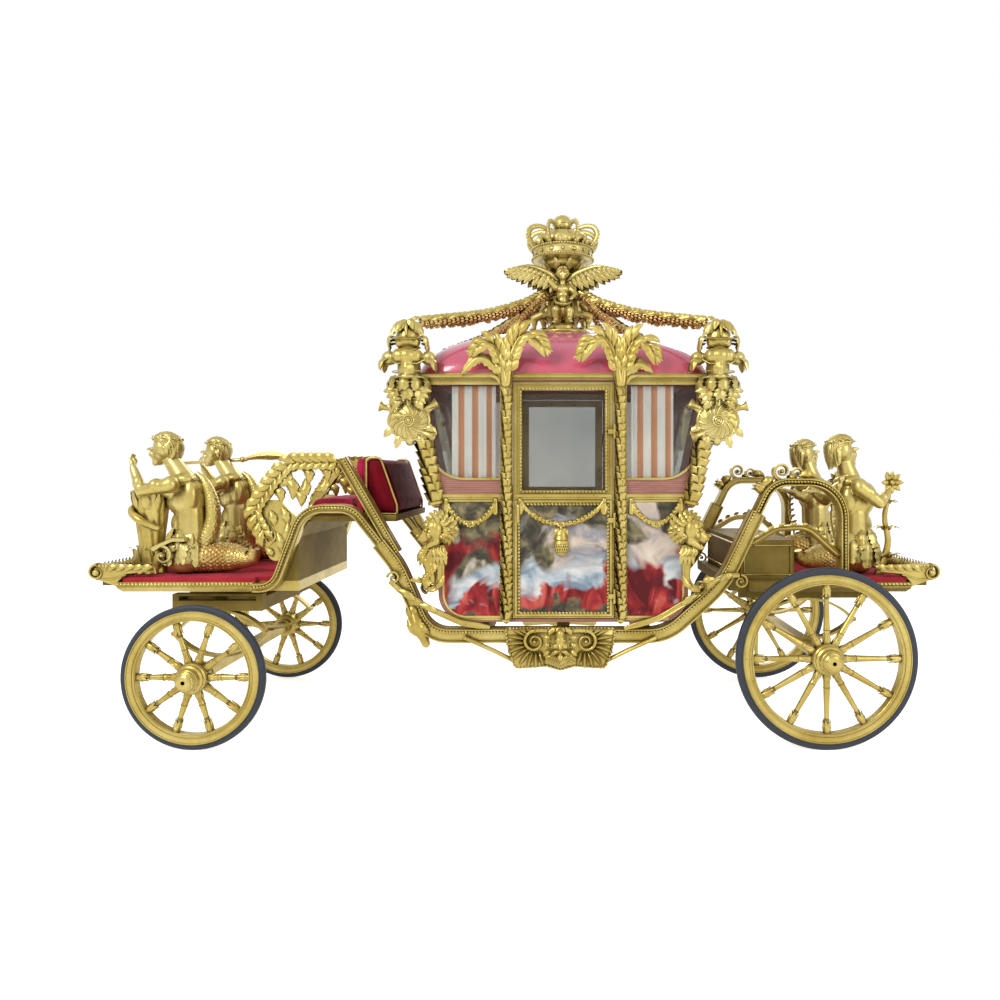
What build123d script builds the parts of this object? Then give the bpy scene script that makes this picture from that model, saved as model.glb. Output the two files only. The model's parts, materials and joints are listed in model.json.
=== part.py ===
from build123d import *
import os
from math import asin, cos, hypot, pi, radians, sin, sqrt

# State coach: a closed, gilded carriage for horses, with a driver's deck in front,
# a footmen's deck behind, and a cabin between two swept side beams.
# Millimetres. +Z is up, the ground is Z = 0, the front faces -X and the left side is -Y.
# The origin lies on the ground, under the middle of the whole length and width.

# Overall reach: the whole length, and half of it, from the middle to either scrolled tip
LENGTH = 5380
TIP = LENGTH / 2

# Wheels
TRACK = 1600
FRONT_AXLE_X = -1925
FRONT_RADIUS = 437.5
REAR_AXLE_X = 1898
REAR_RADIUS = 550
FRONT_SPOKES = 10
REAR_SPOKES = 12
TYRE_WIDTH = 44
FRONT_TYRE = 36
REAR_TYRE = 42
FELLOE_DEPTH = 60
FELLOE_WIDTH = 56
HUB_RADIUS = 92
HUB_IN = 95
HUB_OUT = 135
NOSE_RADIUS = 50
SPINDLE_RADIUS = 28
RUN_GAP = 1.0
AXLE_HALF = 34

# Side beams: one swept beam on each side, from the front deck to the rear deck
BEAM_WIDTH = 60
NECK_DEPTH = 90
ARCH_DEPTH = 56
REAR_ARCH_DEPTH = 50
STRUT_DEPTH = 62
BEAM_LOW = 648
ARCH_TOP = 1446
REAR_ARCH_TOP = 1612

# Fore-carriage
SILL_Y = 450
SILL_HALF = 290
SILL_WIDTH = 70
SILL_HEIGHT = 110
RING_RADIUS = 285
RING_WIDTH = 55
RING_THICK = 14
RING_GAP = 0.4
KING_RADIUS = 24
POLE_BORE = 40
POLE_LENGTH = 220
POLE_WALL = 18

# Springs
SPRING_Y = 430
SPRING_HALF = 300
LEAF = 16
REAR_SILL_HEIGHT = 60

# Decks. The beams' outer faces are flush with the decks' edges.
DECK_HALF_WIDTH = 610
BEAM_Y = DECK_HALF_WIDTH - BEAM_WIDTH / 2
DECK_BOTTOM = 920
DECK_THICK = 63
CARPET_THICK = 26
CARPET_EDGE = 22
END_REACH = 190
FRONT_DECK_FRONT = END_REACH - TIP
FRONT_DECK_STEP = -1640
REAR_DECK_STEP = 1480
REAR_DECK_FRONT = 1370
REAR_DECK_BACK = TIP - END_REACH
TIP_ROLL = 46

# Boxes on the decks
BOX_BACK_X = -1376
REAR_BOX_X = 1800
REAR_BOX_TOP = 1239

# Driver's seat
SEAT_HALF = 440
SEAT_TOP = 1400
SEAT_PLATE = 40
SEAT_BACK_X = -760
SEAT_CUSHION = (-1350, -1070)
CUSHION_THICK = 100
BACK_CUSHION_THICK = 90
BACK_HEIGHT = 385
BACK_BOX_DEPTH = 205

# Cabin
CABIN_X = 310
CABIN_Y = 620
WALL = 40
CABIN_BOTTOM = 735
BELT_Z = 1523
BELT_HEIGHT = 34
CABIN_TOP = 2255
LOW_HALF = 785
TOP_HALF = 935
CORNER_R = 180
CORNICE_HEIGHT = 33
CORNICE_OUT = 32
ROOF_HEIGHT = 376
ROOF_SHELL = 38
BEAD = 13
BEAD_OUT = 9
PANEL_LOW = 775
PANEL_IN = 395

# Doors
DOOR_WIDTH = 635
DOOR_BOTTOM = 760
DOOR_TOP = 2240
DOOR_GAP = 5
DOOR_WINDOW_HALF = 262
DOOR_WINDOW_BOTTOM = 1560
DOOR_WINDOW_TOP = 2190
HINGE_OUT = 22
HINGE_RADIUS = 9
PIN_RADIUS = 4.5
PIN_GAP = 1.0
HINGE_HEIGHTS = (900, 1375, 1930)
KNUCKLE_HALF = 15
HANDLE_Z = 1465

# Windows
GLASS = 6
GLASS_GAP = 0.3
GLASS_IN = 17
QUARTER_IN = 398
QUARTER_OUT = TOP_HALF - 97
QUARTER_BOTTOM = 1640
QUARTER_TOP = 2225
QUARTER_R = 215
END_WINDOW_HALF = 330
END_WINDOW_BOTTOM = 1640
END_WINDOW_TOP = 2170

# Seats in the cabin
BENCH_TOP = 1130
BENCH_DEPTH = 420
PAD_THICK = 90
PAD_TOP = 1560

# Ornament
COLUMN_AT = 358
COLUMN_RADIUS = 25
SCALE_STEP = 38
POST_RADIUS = 42
SHIELD_Z = 1995
SHIELD_AT = 955
LION_AT = 783
LION_Z = 1312
MANE_RADIUS = 122
STRAP_WIDTH = 30
STRAP_DEPTH = 34
MASK_HALF = 345
MASK_LOW = 440
MASK_TOP = 704
MASK_THICK = 30
FESTOON_RADIUS = 15
PEDESTAL_RADIUS = 62
PEDESTAL_TOP = 3040
CROWN_BAND = 208
CROWN_HALF = 272
CROWN_TOP = 3500
ORB_RADIUS = 70
GARLAND_RADIUS = 32

parts = {}


# Shapes shared by many pieces

def left_and_right(shape):
    return shape + mirror(shape, about=Plane.XZ)


def rosette(x, y, z, tip_radius, dip_radius, points, thick):
    """A star-shaped disc in the plane of x and z, carved forward of y towards the viewer at the left."""
    corners = []
    for n in range(2 * points):
        radius = dip_radius if n % 2 else tip_radius
        corners.append((x + radius * cos(n * pi / points), z + radius * sin(n * pi / points)))
    return extrude(Plane.XZ.offset(-y) * make_face(Polyline(*corners, close=True)), amount=thick)


def fuse(shapes):
    """All shapes as one."""
    return Part() + list(shapes)


def box(x0, x1, y0, y1, z0, z1):
    return Pos((x0 + x1) / 2, (y0 + y1) / 2, (z0 + z1) / 2) * Box(x1 - x0, y1 - y0, z1 - z0)


def rod_y(radius, y0, y1, x, z):
    return Pos(x, (y0 + y1) / 2, z) * Rot(90, 0, 0) * Cylinder(radius, y1 - y0)


def rod_z(radius, z0, z1, x, y):
    return Pos(x, y, (z0 + z1) / 2) * Cylinder(radius, z1 - z0)


def rod_x(radius, x0, x1, y, z):
    return Pos((x0 + x1) / 2, y, z) * Rot(0, 90, 0) * Cylinder(radius, x1 - x0)


def across(face, y0, y1):
    """A face drawn in x and z, made solid from y0 to y1."""
    return extrude(Plane.XZ.offset(-y1) * face, amount=y1 - y0)


def beam(points, radii, y, width, depth):
    """A bar of width x depth along (x, z) points in the plane of y, with rounded bends."""
    path = FilletPolyline(*[(x, y, z) for x, z in points], radius=radii)
    heading = (points[1][0] - points[0][0], 0, points[1][1] - points[0][1])
    start = Plane(origin=(points[0][0], y, points[0][1]), x_dir=(0, 1, 0), z_dir=heading)
    return sweep(start * Rectangle(width, depth), path=path)


def bar(points, y, width, depth):
    """A straight bar of width x depth between two (x, z) points."""
    (x0, z0), (x1, z1) = points
    start = Plane(origin=(x0, y, z0), x_dir=(0, 1, 0), z_dir=(x1 - x0, 0, z1 - z0))
    return extrude(start * Rectangle(width, depth), amount=hypot(x1 - x0, z1 - z0))


def bowed(start, middle, end, y, width, depth):
    """A bar of width x depth on an arc through three (x, z) points."""
    path = ThreePointArc(*[(x, y, z) for x, z in (start, middle, end)])
    section = Plane(origin=path @ 0, x_dir=(0, 1, 0), z_dir=path % 0) * Rectangle(width, depth)
    return sweep(section, path=path)


def rope(points, radii, radius):
    """A round bar along 3-D points, with rounded bends."""
    path = FilletPolyline(*points, radius=radii)
    heading = Vector(*points[1]) - Vector(*points[0])
    return sweep(Plane(origin=points[0], z_dir=heading) * Circle(radius), path=path)


def swag(start, middle, end, y, radius):
    """A round garland on an arc through three (x, z) points in the plane of y."""
    path = ThreePointArc(*[(x, y, z) for x, z in (start, middle, end)])
    return sweep(Plane(origin=path @ 0, z_dir=path % 0) * Circle(radius), path=path)


def turned(profile, x, y, z, direction=(0, 0, 1)):
    """A turned piece: (radius, height) steps stacked along a direction."""
    corners = [(0, profile[0][1])] + list(profile) + [(0, profile[-1][1])]
    outline = make_face(Polyline(*[(r, 0, h) for r, h in corners], close=True))
    return Plane(origin=(x, y, z), z_dir=direction) * revolve(outline, axis=Axis.Z)


def limb(start, end, start_radius, end_radius):
    """A rounded, tapered limb between two balls."""
    start, end = Vector(*start), Vector(*end)
    reach = (end - start).length
    lean = asin((start_radius - end_radius) / reach)
    low = (-pi / 2 + lean) / 2
    high = (pi / 2 + lean) / 2

    def rim(radius, angle, height):
        return (radius * cos(angle), 0, height + radius * sin(angle))

    outline = Wire([
        ThreePointArc(rim(start_radius, -pi / 2, 0), rim(start_radius, low, 0), rim(start_radius, lean, 0)),
        Line(rim(start_radius, lean, 0), rim(end_radius, lean, reach)),
        ThreePointArc(rim(end_radius, lean, reach), rim(end_radius, high, reach),
                      rim(end_radius, pi / 2, reach)),
        Line(rim(end_radius, pi / 2, reach), rim(start_radius, -pi / 2, 0)),
    ])
    return Plane(origin=start, z_dir=end - start) * revolve(make_face(outline), axis=Axis.Z)


def figure(limbs, sign=1):
    """Limbs as one body. sign -1 turns the figure to face the other way along x."""
    return fuse(limb((sign * x0, y0, z0), (sign * x1, y1, z1), r0, r1)
                for x0, y0, z0, x1, y1, z1, r0, r1 in limbs)


# Wheels

def wheel(radius, tyre_depth, spokes):
    """A wooden wheel in its own frame, its axle along +Z and its outer face up."""
    rim_out = radius - tyre_depth
    rim_in = rim_out - FELLOE_DEPTH
    felloe = Cylinder(rim_out, FELLOE_WIDTH) - Cylinder(rim_in, FELLOE_WIDTH)
    felloe = chamfer(felloe.edges().filter_by(GeomType.CIRCLE), 6)
    # Hub steps: radius, height along the axle
    hub = turned((
        (62, -HUB_IN), (70, -HUB_IN + 8), (70, -70), (84, -62), (HUB_RADIUS, -40), (HUB_RADIUS, 40),
        (84, 48), (84, 66), (74, 74), (66, 96), (58, 102), (58, 108), (NOSE_RADIUS, 112),
        (NOSE_RADIUS - 6, HUB_OUT - 6), (NOSE_RADIUS - 16, HUB_OUT),
    ), 0, 0, 0)
    # Spoke steps: radius, distance from the axle
    spoke = turned((
        (24, HUB_RADIUS - 8), (25, HUB_RADIUS + 20), (16, HUB_RADIUS + 34), (20, HUB_RADIUS + 80),
        (14, rim_in - 74), (14, rim_in - 40), (24, rim_in - 22), (20, rim_in + 6),
    ), 0, 0, 0, (1, 0, 0))
    spoke_set = [Rot(0, 0, n * 360 / spokes) * spoke for n in range(spokes)]
    bore = Pos(0, 0, -HUB_IN) * Cylinder(
        SPINDLE_RADIUS + RUN_GAP, HUB_IN + 60, align=(Align.CENTER, Align.CENTER, Align.MIN))
    return fuse([felloe, hub] + spoke_set) - bore


def tyre(radius, thickness):
    ring = Cylinder(radius, TYRE_WIDTH) - Cylinder(radius - thickness, TYRE_WIDTH)
    outer = ring.edges().filter_by(GeomType.CIRCLE).sort_by(SortBy.RADIUS)[-2:]
    return fillet(outer, TYRE_WIDTH / 2.6)


WHEELS = (
    # end, axle x, radius, tyre, spokes
    ("front", FRONT_AXLE_X, FRONT_RADIUS, FRONT_TYRE, FRONT_SPOKES),
    ("rear", REAR_AXLE_X, REAR_RADIUS, REAR_TYRE, REAR_SPOKES),
)
for end, axle_x, radius, thickness, spokes in WHEELS:
    wood = wheel(radius, thickness, spokes)
    rubber = tyre(radius, thickness)
    for side, sign in (("left", -1), ("right", 1)):
        seat = Plane(origin=(axle_x, sign * TRACK / 2, radius), x_dir=(1, 0, 0), z_dir=(0, sign, 0))
        parts[f"wheel_{end}_{side}"] = seat * wood
        parts[f"tyre_{end}_{side}"] = seat * rubber

# Axles, with a spindle in each hub. The collar stops short of the hub.
HUB_FACE = TRACK / 2 - HUB_IN
COLLAR_GAP = 6
SPINDLE_REACH = 55


def axle(x, radius):
    shoulder = HUB_FACE - COLLAR_GAP
    half = box(x - AXLE_HALF, x + AXLE_HALF, 0, shoulder - 40, radius - AXLE_HALF, radius + AXLE_HALF)
    half += rod_y(AXLE_HALF + 18, shoulder - 40, shoulder, x, radius)
    half += rod_y(SPINDLE_RADIUS, shoulder, TRACK / 2 + SPINDLE_REACH, x, radius)
    return left_and_right(half)


parts["front_axle"] = axle(FRONT_AXLE_X, FRONT_RADIUS)
parts["rear_axle"] = axle(REAR_AXLE_X, REAR_RADIUS)

# Fore-carriage: two slotted side sills, cross timbers, the lower ring and the pole socket
LOWER_RING_TOP = DECK_BOTTOM - RING_THICK - RING_GAP
SILL_TOP = LOWER_RING_TOP - 17
SILL_BOTTOM = SILL_TOP - SILL_HEIGHT
TIMBER_TOP = SILL_TOP - 24
sill_in, sill_out = SILL_Y - SILL_WIDTH / 2, SILL_Y + SILL_WIDTH / 2
sill = box(FRONT_AXLE_X - SILL_HALF, FRONT_AXLE_X + SILL_HALF, sill_in, sill_out, SILL_BOTTOM, SILL_TOP)
sill -= box(FRONT_AXLE_X - SILL_HALF + 40, FRONT_AXLE_X + SILL_HALF - 40, sill_in - 1, sill_out + 1,
            SILL_TOP - 44, SILL_TOP - 14)
fore_frame = left_and_right(sill)
for timber_x in (FRONT_AXLE_X - SILL_HALF + 35, FRONT_AXLE_X, FRONT_AXLE_X + SILL_HALF - 35):
    fore_frame += box(timber_x - 35, timber_x + 35, -sill_in, sill_in, SILL_BOTTOM, TIMBER_TOP)
ring_hole = rod_z(RING_RADIUS - RING_WIDTH, 0, DECK_BOTTOM + DECK_THICK, FRONT_AXLE_X, 0)
fore_frame += rod_z(RING_RADIUS, TIMBER_TOP, LOWER_RING_TOP, FRONT_AXLE_X, 0) - ring_hole
king_boss = rod_z(70, SILL_BOTTOM, LOWER_RING_TOP, FRONT_AXLE_X, 0)
king_hole = rod_z(KING_RADIUS + RUN_GAP, SILL_BOTTOM - 50, DECK_BOTTOM, FRONT_AXLE_X, 0)
parts["fore_frame"] = (fore_frame + king_boss) - king_hole

POLE_X = FRONT_AXLE_X - SILL_HALF - 60
POLE_Z = SILL_BOTTOM - POLE_BORE - POLE_WALL
socket = rod_x(POLE_BORE + POLE_WALL, POLE_X, POLE_X + POLE_LENGTH, 0, POLE_Z)
socket += box(POLE_X + 60, POLE_X + POLE_LENGTH, -45, 45, POLE_Z, SILL_BOTTOM)
parts["pole_socket"] = socket - rod_x(POLE_BORE, POLE_X - 1, POLE_X + POLE_LENGTH + 1, 0, POLE_Z)


def spring(x, low, high, width):
    """An elliptic spring between the top of an axle and the bottom of a sill."""
    middle = (low + high) / 2
    eyes = [(x - SPRING_HALF, middle), (x + SPRING_HALF, middle)]
    leaves = [bowed(eyes[0], (x, high - LEAF / 2), eyes[1], SPRING_Y, width, LEAF),
              bowed(eyes[0], (x, low + LEAF / 2), eyes[1], SPRING_Y, width, LEAF)]
    pins = [rod_y(LEAF, SPRING_Y - width / 2, SPRING_Y + width / 2, *eye) for eye in eyes]
    return left_and_right(fuse(leaves + pins))


REAR_SILL_BOTTOM = DECK_BOTTOM - REAR_SILL_HEIGHT
parts["front_springs"] = spring(FRONT_AXLE_X, FRONT_RADIUS + AXLE_HALF, SILL_BOTTOM, 56)
parts["rear_springs"] = spring(REAR_AXLE_X, REAR_RADIUS + AXLE_HALF, REAR_SILL_BOTTOM, 60)
parts["rear_sills"] = left_and_right(box(REAR_AXLE_X - 440, REAR_AXLE_X + 480, SPRING_Y - 30,
                                         SPRING_Y + 30, REAR_SILL_BOTTOM, DECK_BOTTOM))

# Side beams. Points are (x, z) along the middle of each beam.
DECK_TOP = DECK_BOTTOM + DECK_THICK
DECK_INNER = BEAM_Y - BEAM_WIDTH / 2
BEAM_OUT = BEAM_Y + BEAM_WIDTH / 2
REAR_KNEE = (1320, 975)
REAR_SHOULDER = (1625, REAR_ARCH_TOP)
REAR_JOINT = tuple(low + 0.7 * (high - low) for low, high in zip(REAR_KNEE, REAR_SHOULDER))
REAR_ARCH_FOOT = 2076
ARCH_START = DECK_BOTTOM + ARCH_DEPTH / 2
FRONT_ARCH = ((FRONT_DECK_STEP, ARCH_START), (-1510, ARCH_START), (-1325, ARCH_TOP), (-1020, ARCH_TOP),
              (-850, 1230))
NECK = ((-850, 1230), (-735, 1085), (-545, BEAM_LOW), (960, BEAM_LOW), REAR_KNEE, REAR_JOINT)
REAR_ARCH = (REAR_JOINT, REAR_SHOULDER, (REAR_ARCH_FOOT, REAR_ARCH_TOP), (REAR_ARCH_FOOT, DECK_TOP))
SEAT_STRUT = ((-1085, 1755), (-745, 1165))
LEAF_DROP = ((-640, 800), (-560, 590))

front_arch = beam(FRONT_ARCH, [125, 170, 150], -BEAM_Y, BEAM_WIDTH, ARCH_DEPTH)
side_beam = fuse([
    front_arch,
    beam(NECK, [500, 200, 300, 700], -BEAM_Y, BEAM_WIDTH, NECK_DEPTH),
    bar(SEAT_STRUT, -BEAM_Y, BEAM_WIDTH - 14, STRUT_DEPTH),
    limb((LEAF_DROP[0][0], -BEAM_Y, LEAF_DROP[0][1]), (LEAF_DROP[1][0], -BEAM_Y, LEAF_DROP[1][1]), 50, 26),
])
parts["side_beam_left"] = side_beam
parts["side_beam_right"] = mirror(side_beam, about=Plane.XZ)

# Rear arches: outer arch, inner scroll bar on the box, volutes and a leaf bud on the strut
rear_arch = beam(REAR_ARCH, [150, 220], -BEAM_Y, BEAM_WIDTH - 8, REAR_ARCH_DEPTH)
INNER_BAR = ((1500, 1225), (1650, 1318), (1850, 1330), (2046, 1150))
inner_bar = beam(INNER_BAR, [160, 150], -BEAM_Y, BEAM_WIDTH - 16, 34)
bud = limb((1604, -BEAM_Y, 1556), (1530, -BEAM_Y, 1590), 26, 38)
curls = [rod_y(57, -BEAM_Y - 31, -BEAM_Y + 31, 1692, 1675), rod_y(44, -BEAM_Y - 30, -BEAM_Y + 30, 1793, 1661),
         limb((1806, -BEAM_Y, 1648), (1900, -BEAM_Y, 1638), 27, 15)]
rear_arch = fuse([rear_arch, inner_bar, bud] + curls) - side_beam
parts["rear_arches"] = left_and_right(rear_arch)

bars = [box(x - 40, x + 40, -DECK_INNER, DECK_INNER, BEAM_LOW - 40, CABIN_BOTTOM)
        for x in (CABIN_X - 510, CABIN_X, CABIN_X + 510)]
parts["perch_bars"] = fuse(bars)


# Decks

def deck(wide_end, step, narrow_end):
    """A deck: broad and moulded outside the beams' ends, narrow between the beams."""
    x0, x1 = sorted((wide_end, step))
    broad = box(x0, x1, -DECK_HALF_WIDTH, DECK_HALF_WIDTH, DECK_BOTTOM, DECK_TOP)
    broad = chamfer(broad.faces().sort_by(Axis.Z)[0].edges(), 24)
    x0, x1 = sorted((step, narrow_end))
    return broad + box(x0, x1, -DECK_INNER, DECK_INNER, DECK_BOTTOM, DECK_TOP)


def deck_end(sign, back):
    """The carved end of a deck: two scroll boards, a cross roll and the leaf edge between them."""
    roll_x = sign * (TIP - TIP_ROLL)
    board = make_face(Polyline(
        (back, DECK_TOP), (back, DECK_BOTTOM + 30), (sign * (TIP - 80), DECK_BOTTOM + 70),
        (roll_x, DECK_BOTTOM + 70), (roll_x, DECK_BOTTOM + 182),
        (sign * (TIP - 130), DECK_BOTTOM + 176), (sign * (TIP - 390), DECK_BOTTOM + 160),
        (sign * (TIP - 390), DECK_BOTTOM + 128), (sign * (TIP - 250), DECK_BOTTOM + 118),
        (back, DECK_TOP), close=True))
    boards = left_and_right(across(board, -DECK_HALF_WIDTH + 4, -DECK_HALF_WIDTH + 60))
    roll = rod_y(TIP_ROLL, -DECK_HALF_WIDTH, DECK_HALF_WIDTH, roll_x, DECK_BOTTOM + 122)
    volutes = left_and_right(rod_y(TIP_ROLL + 12, -DECK_HALF_WIDTH - 8, -DECK_HALF_WIDTH + 40,
                                   roll_x - sign * 16, DECK_BOTTOM + 124))
    reach = box(*sorted((back, roll_x)), -DECK_HALF_WIDTH + 60, DECK_HALF_WIDTH - 60,
                DECK_BOTTOM + 34, DECK_BOTTOM + 96)
    return fuse([boards, roll, volutes, reach]) & box(-TIP, TIP, -1000, 1000, 0, 2000)


DECK_CLEAR = DECK_TOP + CARPET_THICK
king_pin = fuse([
    rod_z(RING_RADIUS, DECK_BOTTOM - RING_THICK, DECK_BOTTOM, FRONT_AXLE_X, 0) - ring_hole,
    rod_z(52, DECK_BOTTOM - RING_THICK, DECK_BOTTOM, FRONT_AXLE_X, 0),
    rod_z(KING_RADIUS, SILL_BOTTOM - 30, DECK_BOTTOM, FRONT_AXLE_X, 0),
    rod_z(KING_RADIUS + 22, SILL_BOTTOM - 54, SILL_BOTTOM - 30, FRONT_AXLE_X, 0),
])
parts["front_deck"] = deck(FRONT_DECK_FRONT, FRONT_DECK_STEP, BOX_BACK_X) + king_pin
parts["rear_deck"] = deck(REAR_DECK_BACK, REAR_DECK_STEP, REAR_DECK_FRONT)
parts["front_deck_end"] = deck_end(-1, FRONT_DECK_FRONT)
parts["rear_deck_end"] = deck_end(1, REAR_DECK_BACK)

# Front box: a wedge under the seat. The carpet runs over the deck and climbs its curved front.
BOX_FOOT = (-1497, DECK_TOP)
BOX_HEAD = (-1357, SEAT_TOP - SEAT_PLATE)
BOX_BEND = 125


def climb(lift):
    """The line of the deck and the box's front, lifted off them."""
    lean = hypot(BOX_HEAD[0] - BOX_FOOT[0], BOX_HEAD[1] - BOX_FOOT[1])
    out_x, out_z = (BOX_FOOT[1] - BOX_HEAD[1]) / lean, (BOX_HEAD[0] - BOX_FOOT[0]) / lean
    foot = (BOX_FOOT[0] + lift * out_x / (1 + out_z), BOX_FOOT[1] + lift)
    head = (BOX_HEAD[0] + lift * out_x, BOX_HEAD[1] + lift * out_z)
    return FilletPolyline((FRONT_DECK_STEP, DECK_TOP + lift), foot, head, radius=BOX_BEND - lift)


front = climb(0)
box_outline = Wire(list(front.edges()) + [
    Line(BOX_HEAD, (BOX_BACK_X + 66, BOX_HEAD[1])),
    Line((BOX_BACK_X + 66, BOX_HEAD[1]), (BOX_BACK_X, BOX_HEAD[1] - 98)),
    Line((BOX_BACK_X, BOX_HEAD[1] - 98), (BOX_BACK_X, DECK_TOP)),
    Line((BOX_BACK_X, DECK_TOP), (FRONT_DECK_STEP, DECK_TOP)),
])
parts["front_box"] = across(make_face(box_outline), -DECK_INNER, DECK_INNER)

cover = climb(CARPET_THICK)
carpet_outline = Wire(list(front.edges()) + [
    Line(front @ 1, cover @ 1)] + list(cover.edges()) + [Line(cover @ 0, front @ 0)])
CARPET_HALF = DECK_HALF_WIDTH - CARPET_EDGE
climbing = across(make_face(carpet_outline), -DECK_INNER, DECK_INNER)
flat = box(FRONT_DECK_FRONT + CARPET_EDGE, FRONT_DECK_STEP, -CARPET_HALF, CARPET_HALF, DECK_TOP, DECK_CLEAR)
parts["front_carpet"] = flat + climbing
behind_arch = REAR_ARCH_FOOT + 60
rear_carpet = box(behind_arch, REAR_DECK_BACK - CARPET_EDGE, -CARPET_HALF, CARPET_HALF, DECK_TOP, DECK_CLEAR)
rear_carpet += box(REAR_BOX_X, behind_arch, -DECK_INNER, DECK_INNER, DECK_TOP, DECK_CLEAR)
parts["rear_carpet"] = rear_carpet
for end in ("front", "rear"):
    parts[f"{end}_deck_end"] -= parts[f"{end}_carpet"]

rear_box = box(REAR_DECK_STEP - 40, REAR_BOX_X, -DECK_INNER + 45, DECK_INNER - 45, DECK_TOP, REAR_BOX_TOP)
parts["rear_box"] = chamfer(rear_box.edges().filter_by(Axis.Z), 14)

# Driver's seat: the platform, and a scrolled rail and a pierced fin on each beam
platform = box(BOX_HEAD[0], SEAT_BACK_X, -DECK_INNER, DECK_INNER, SEAT_TOP - SEAT_PLATE, SEAT_TOP)
RAIL = ((-1096, 1735), (-1400, 1735), (-1500, 1640), (-1640, 1440), (-1560, 1262))
rail = beam(RAIL, [70, 160, 90], -BEAM_Y, 44, 50)
rail += rod_y(52, -BEAM_Y - 26, -BEAM_Y + 26, -1392, 1722)
rail += rod_y(40, -BEAM_Y - 24, -BEAM_Y + 24, -1560, 1262)
fin = across(make_face(Polyline((-1600, 1430), (-1596, 1300), (-1530, 1120), (-1440, 1130), (-1352, 1372),
                                (-1420, 1420), (-1480, 1500), (-1560, 1500), close=True)),
             -BEAM_Y - 12, -BEAM_Y + 12)
fin -= Pos(-1548, -BEAM_Y, 1278) * Rot(90, 0, 0) * extrude(Ellipse(13, 30), amount=20, both=True)
leaves = fuse(
    limb((x0, -BEAM_Y, z0), (x1, -BEAM_Y - 10, z1), r0, r1)
    for x0, z0, x1, z1, r0, r1 in (
        # root, tip, radii
        (-1430, 1700, -1480, 1560, 26, 40), (-1480, 1560, -1400, 1490, 38, 20),
        (-1330, 1700, -1290, 1590, 24, 34), (-1290, 1590, -1370, 1520, 32, 16),
        (-1200, 1700, -1180, 1610, 22, 28), (-1180, 1610, -1250, 1560, 26, 14),
    ))
scroll = fuse([rail, fin, leaves]) - side_beam
parts["driver_seat_base"] = fuse([platform] + list(left_and_right(scroll).solids().sort_by(SortBy.VOLUME)[-2:]))

seat_cushion = box(SEAT_CUSHION[0], SEAT_CUSHION[1], -SEAT_HALF, SEAT_HALF, SEAT_TOP, SEAT_TOP + CUSHION_THICK)
seat_cushion = fillet(seat_cushion.edges().filter_by(Axis.Y), 40)
back_x = SEAT_CUSHION[1] + 4
back_cushion = box(back_x, back_x + BACK_CUSHION_THICK, -SEAT_HALF, SEAT_HALF, SEAT_TOP, SEAT_TOP + BACK_HEIGHT)
back_cushion = fillet(back_cushion.edges().filter_by(Axis.Y), 40)
parts["driver_cushions"] = seat_cushion + back_cushion
back_x += BACK_CUSHION_THICK + 4
back_top = SEAT_TOP + BACK_HEIGHT - 10
back_face = make_face(Polyline(
    (back_x, SEAT_TOP), (back_x, back_top), (back_x + 95, back_top),
    (back_x + BACK_BOX_DEPTH, SEAT_TOP + 60), (back_x + BACK_BOX_DEPTH, SEAT_TOP), close=True))
back_box = across(back_face, -SEAT_HALF - 20, SEAT_HALF + 20)
parts["driver_back_box"] = fillet(back_box.edges().filter_by(Axis.Y).sort_by(Axis.Z)[-3:], 24)

# Cabin shell


def half_length(z):
    """Half the length of the cabin at a height above the belt."""
    return LOW_HALF + (TOP_HALF - LOW_HALF) * (z - BELT_Z) / (CABIN_TOP - BELT_Z)


def cabin_face(inset, top):
    """The cabin's outline in x and z, each edge moved in by inset."""
    floor = CABIN_BOTTOM + inset
    low = LOW_HALF - inset
    high = half_length(top) - inset
    radius = CORNER_R - inset
    cut = radius * (1 - 1 / sqrt(2))
    outline = Wire([
        Line((-low + radius, floor), (low - radius, floor)),
        ThreePointArc((low - radius, floor), (low - cut, floor + cut), (low, floor + radius)),
        Line((low, floor + radius), (low, BELT_Z)),
        Line((low, BELT_Z), (high, top)),
        Line((high, top), (-high, top)),
        Line((-high, top), (-low, BELT_Z)),
        Line((-low, BELT_Z), (-low, floor + radius)),
        ThreePointArc((-low, floor + radius), (-low + cut, floor + cut), (-low + radius, floor)),
    ])
    return Pos(CABIN_X, 0) * make_face(outline)


def bulged_face(inner, outer, low, high, radius, sign):
    """A panel beside the door, its outer lower corner rounded by radius."""
    cut = radius * (1 - 1 / sqrt(2))
    outline = Wire([
        Line((inner, low), (outer - radius, low)),
        ThreePointArc((outer - radius, low), (outer - cut, low + cut), (outer, low + radius)),
        Line((outer, low + radius), (outer, high)),
        Line((outer, high), (inner, high)),
        Line((inner, high), (inner, low)),
    ])
    face = make_face(outline)
    return Pos(CABIN_X, 0) * (face if sign > 0 else mirror(face, about=Plane.YZ))


def quarter_face(sign, grow):
    """A quarter window's outline on the front (-1) or rear (1) side of the door."""
    return bulged_face(QUARTER_IN - grow, QUARTER_OUT + grow, QUARTER_BOTTOM - grow, QUARTER_TOP + grow,
                       QUARTER_R + grow, sign)


def panel_face(sign, grow):
    """A painted lower panel's outline on the front (-1) or rear (1) side of the door."""
    top = BELT_Z - BELT_HEIGHT / 2 - 16
    return bulged_face(PANEL_IN - grow, LOW_HALF - WALL + grow, PANEL_LOW - grow, top + grow,
                       CORNER_R - WALL + grow, sign)


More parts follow.
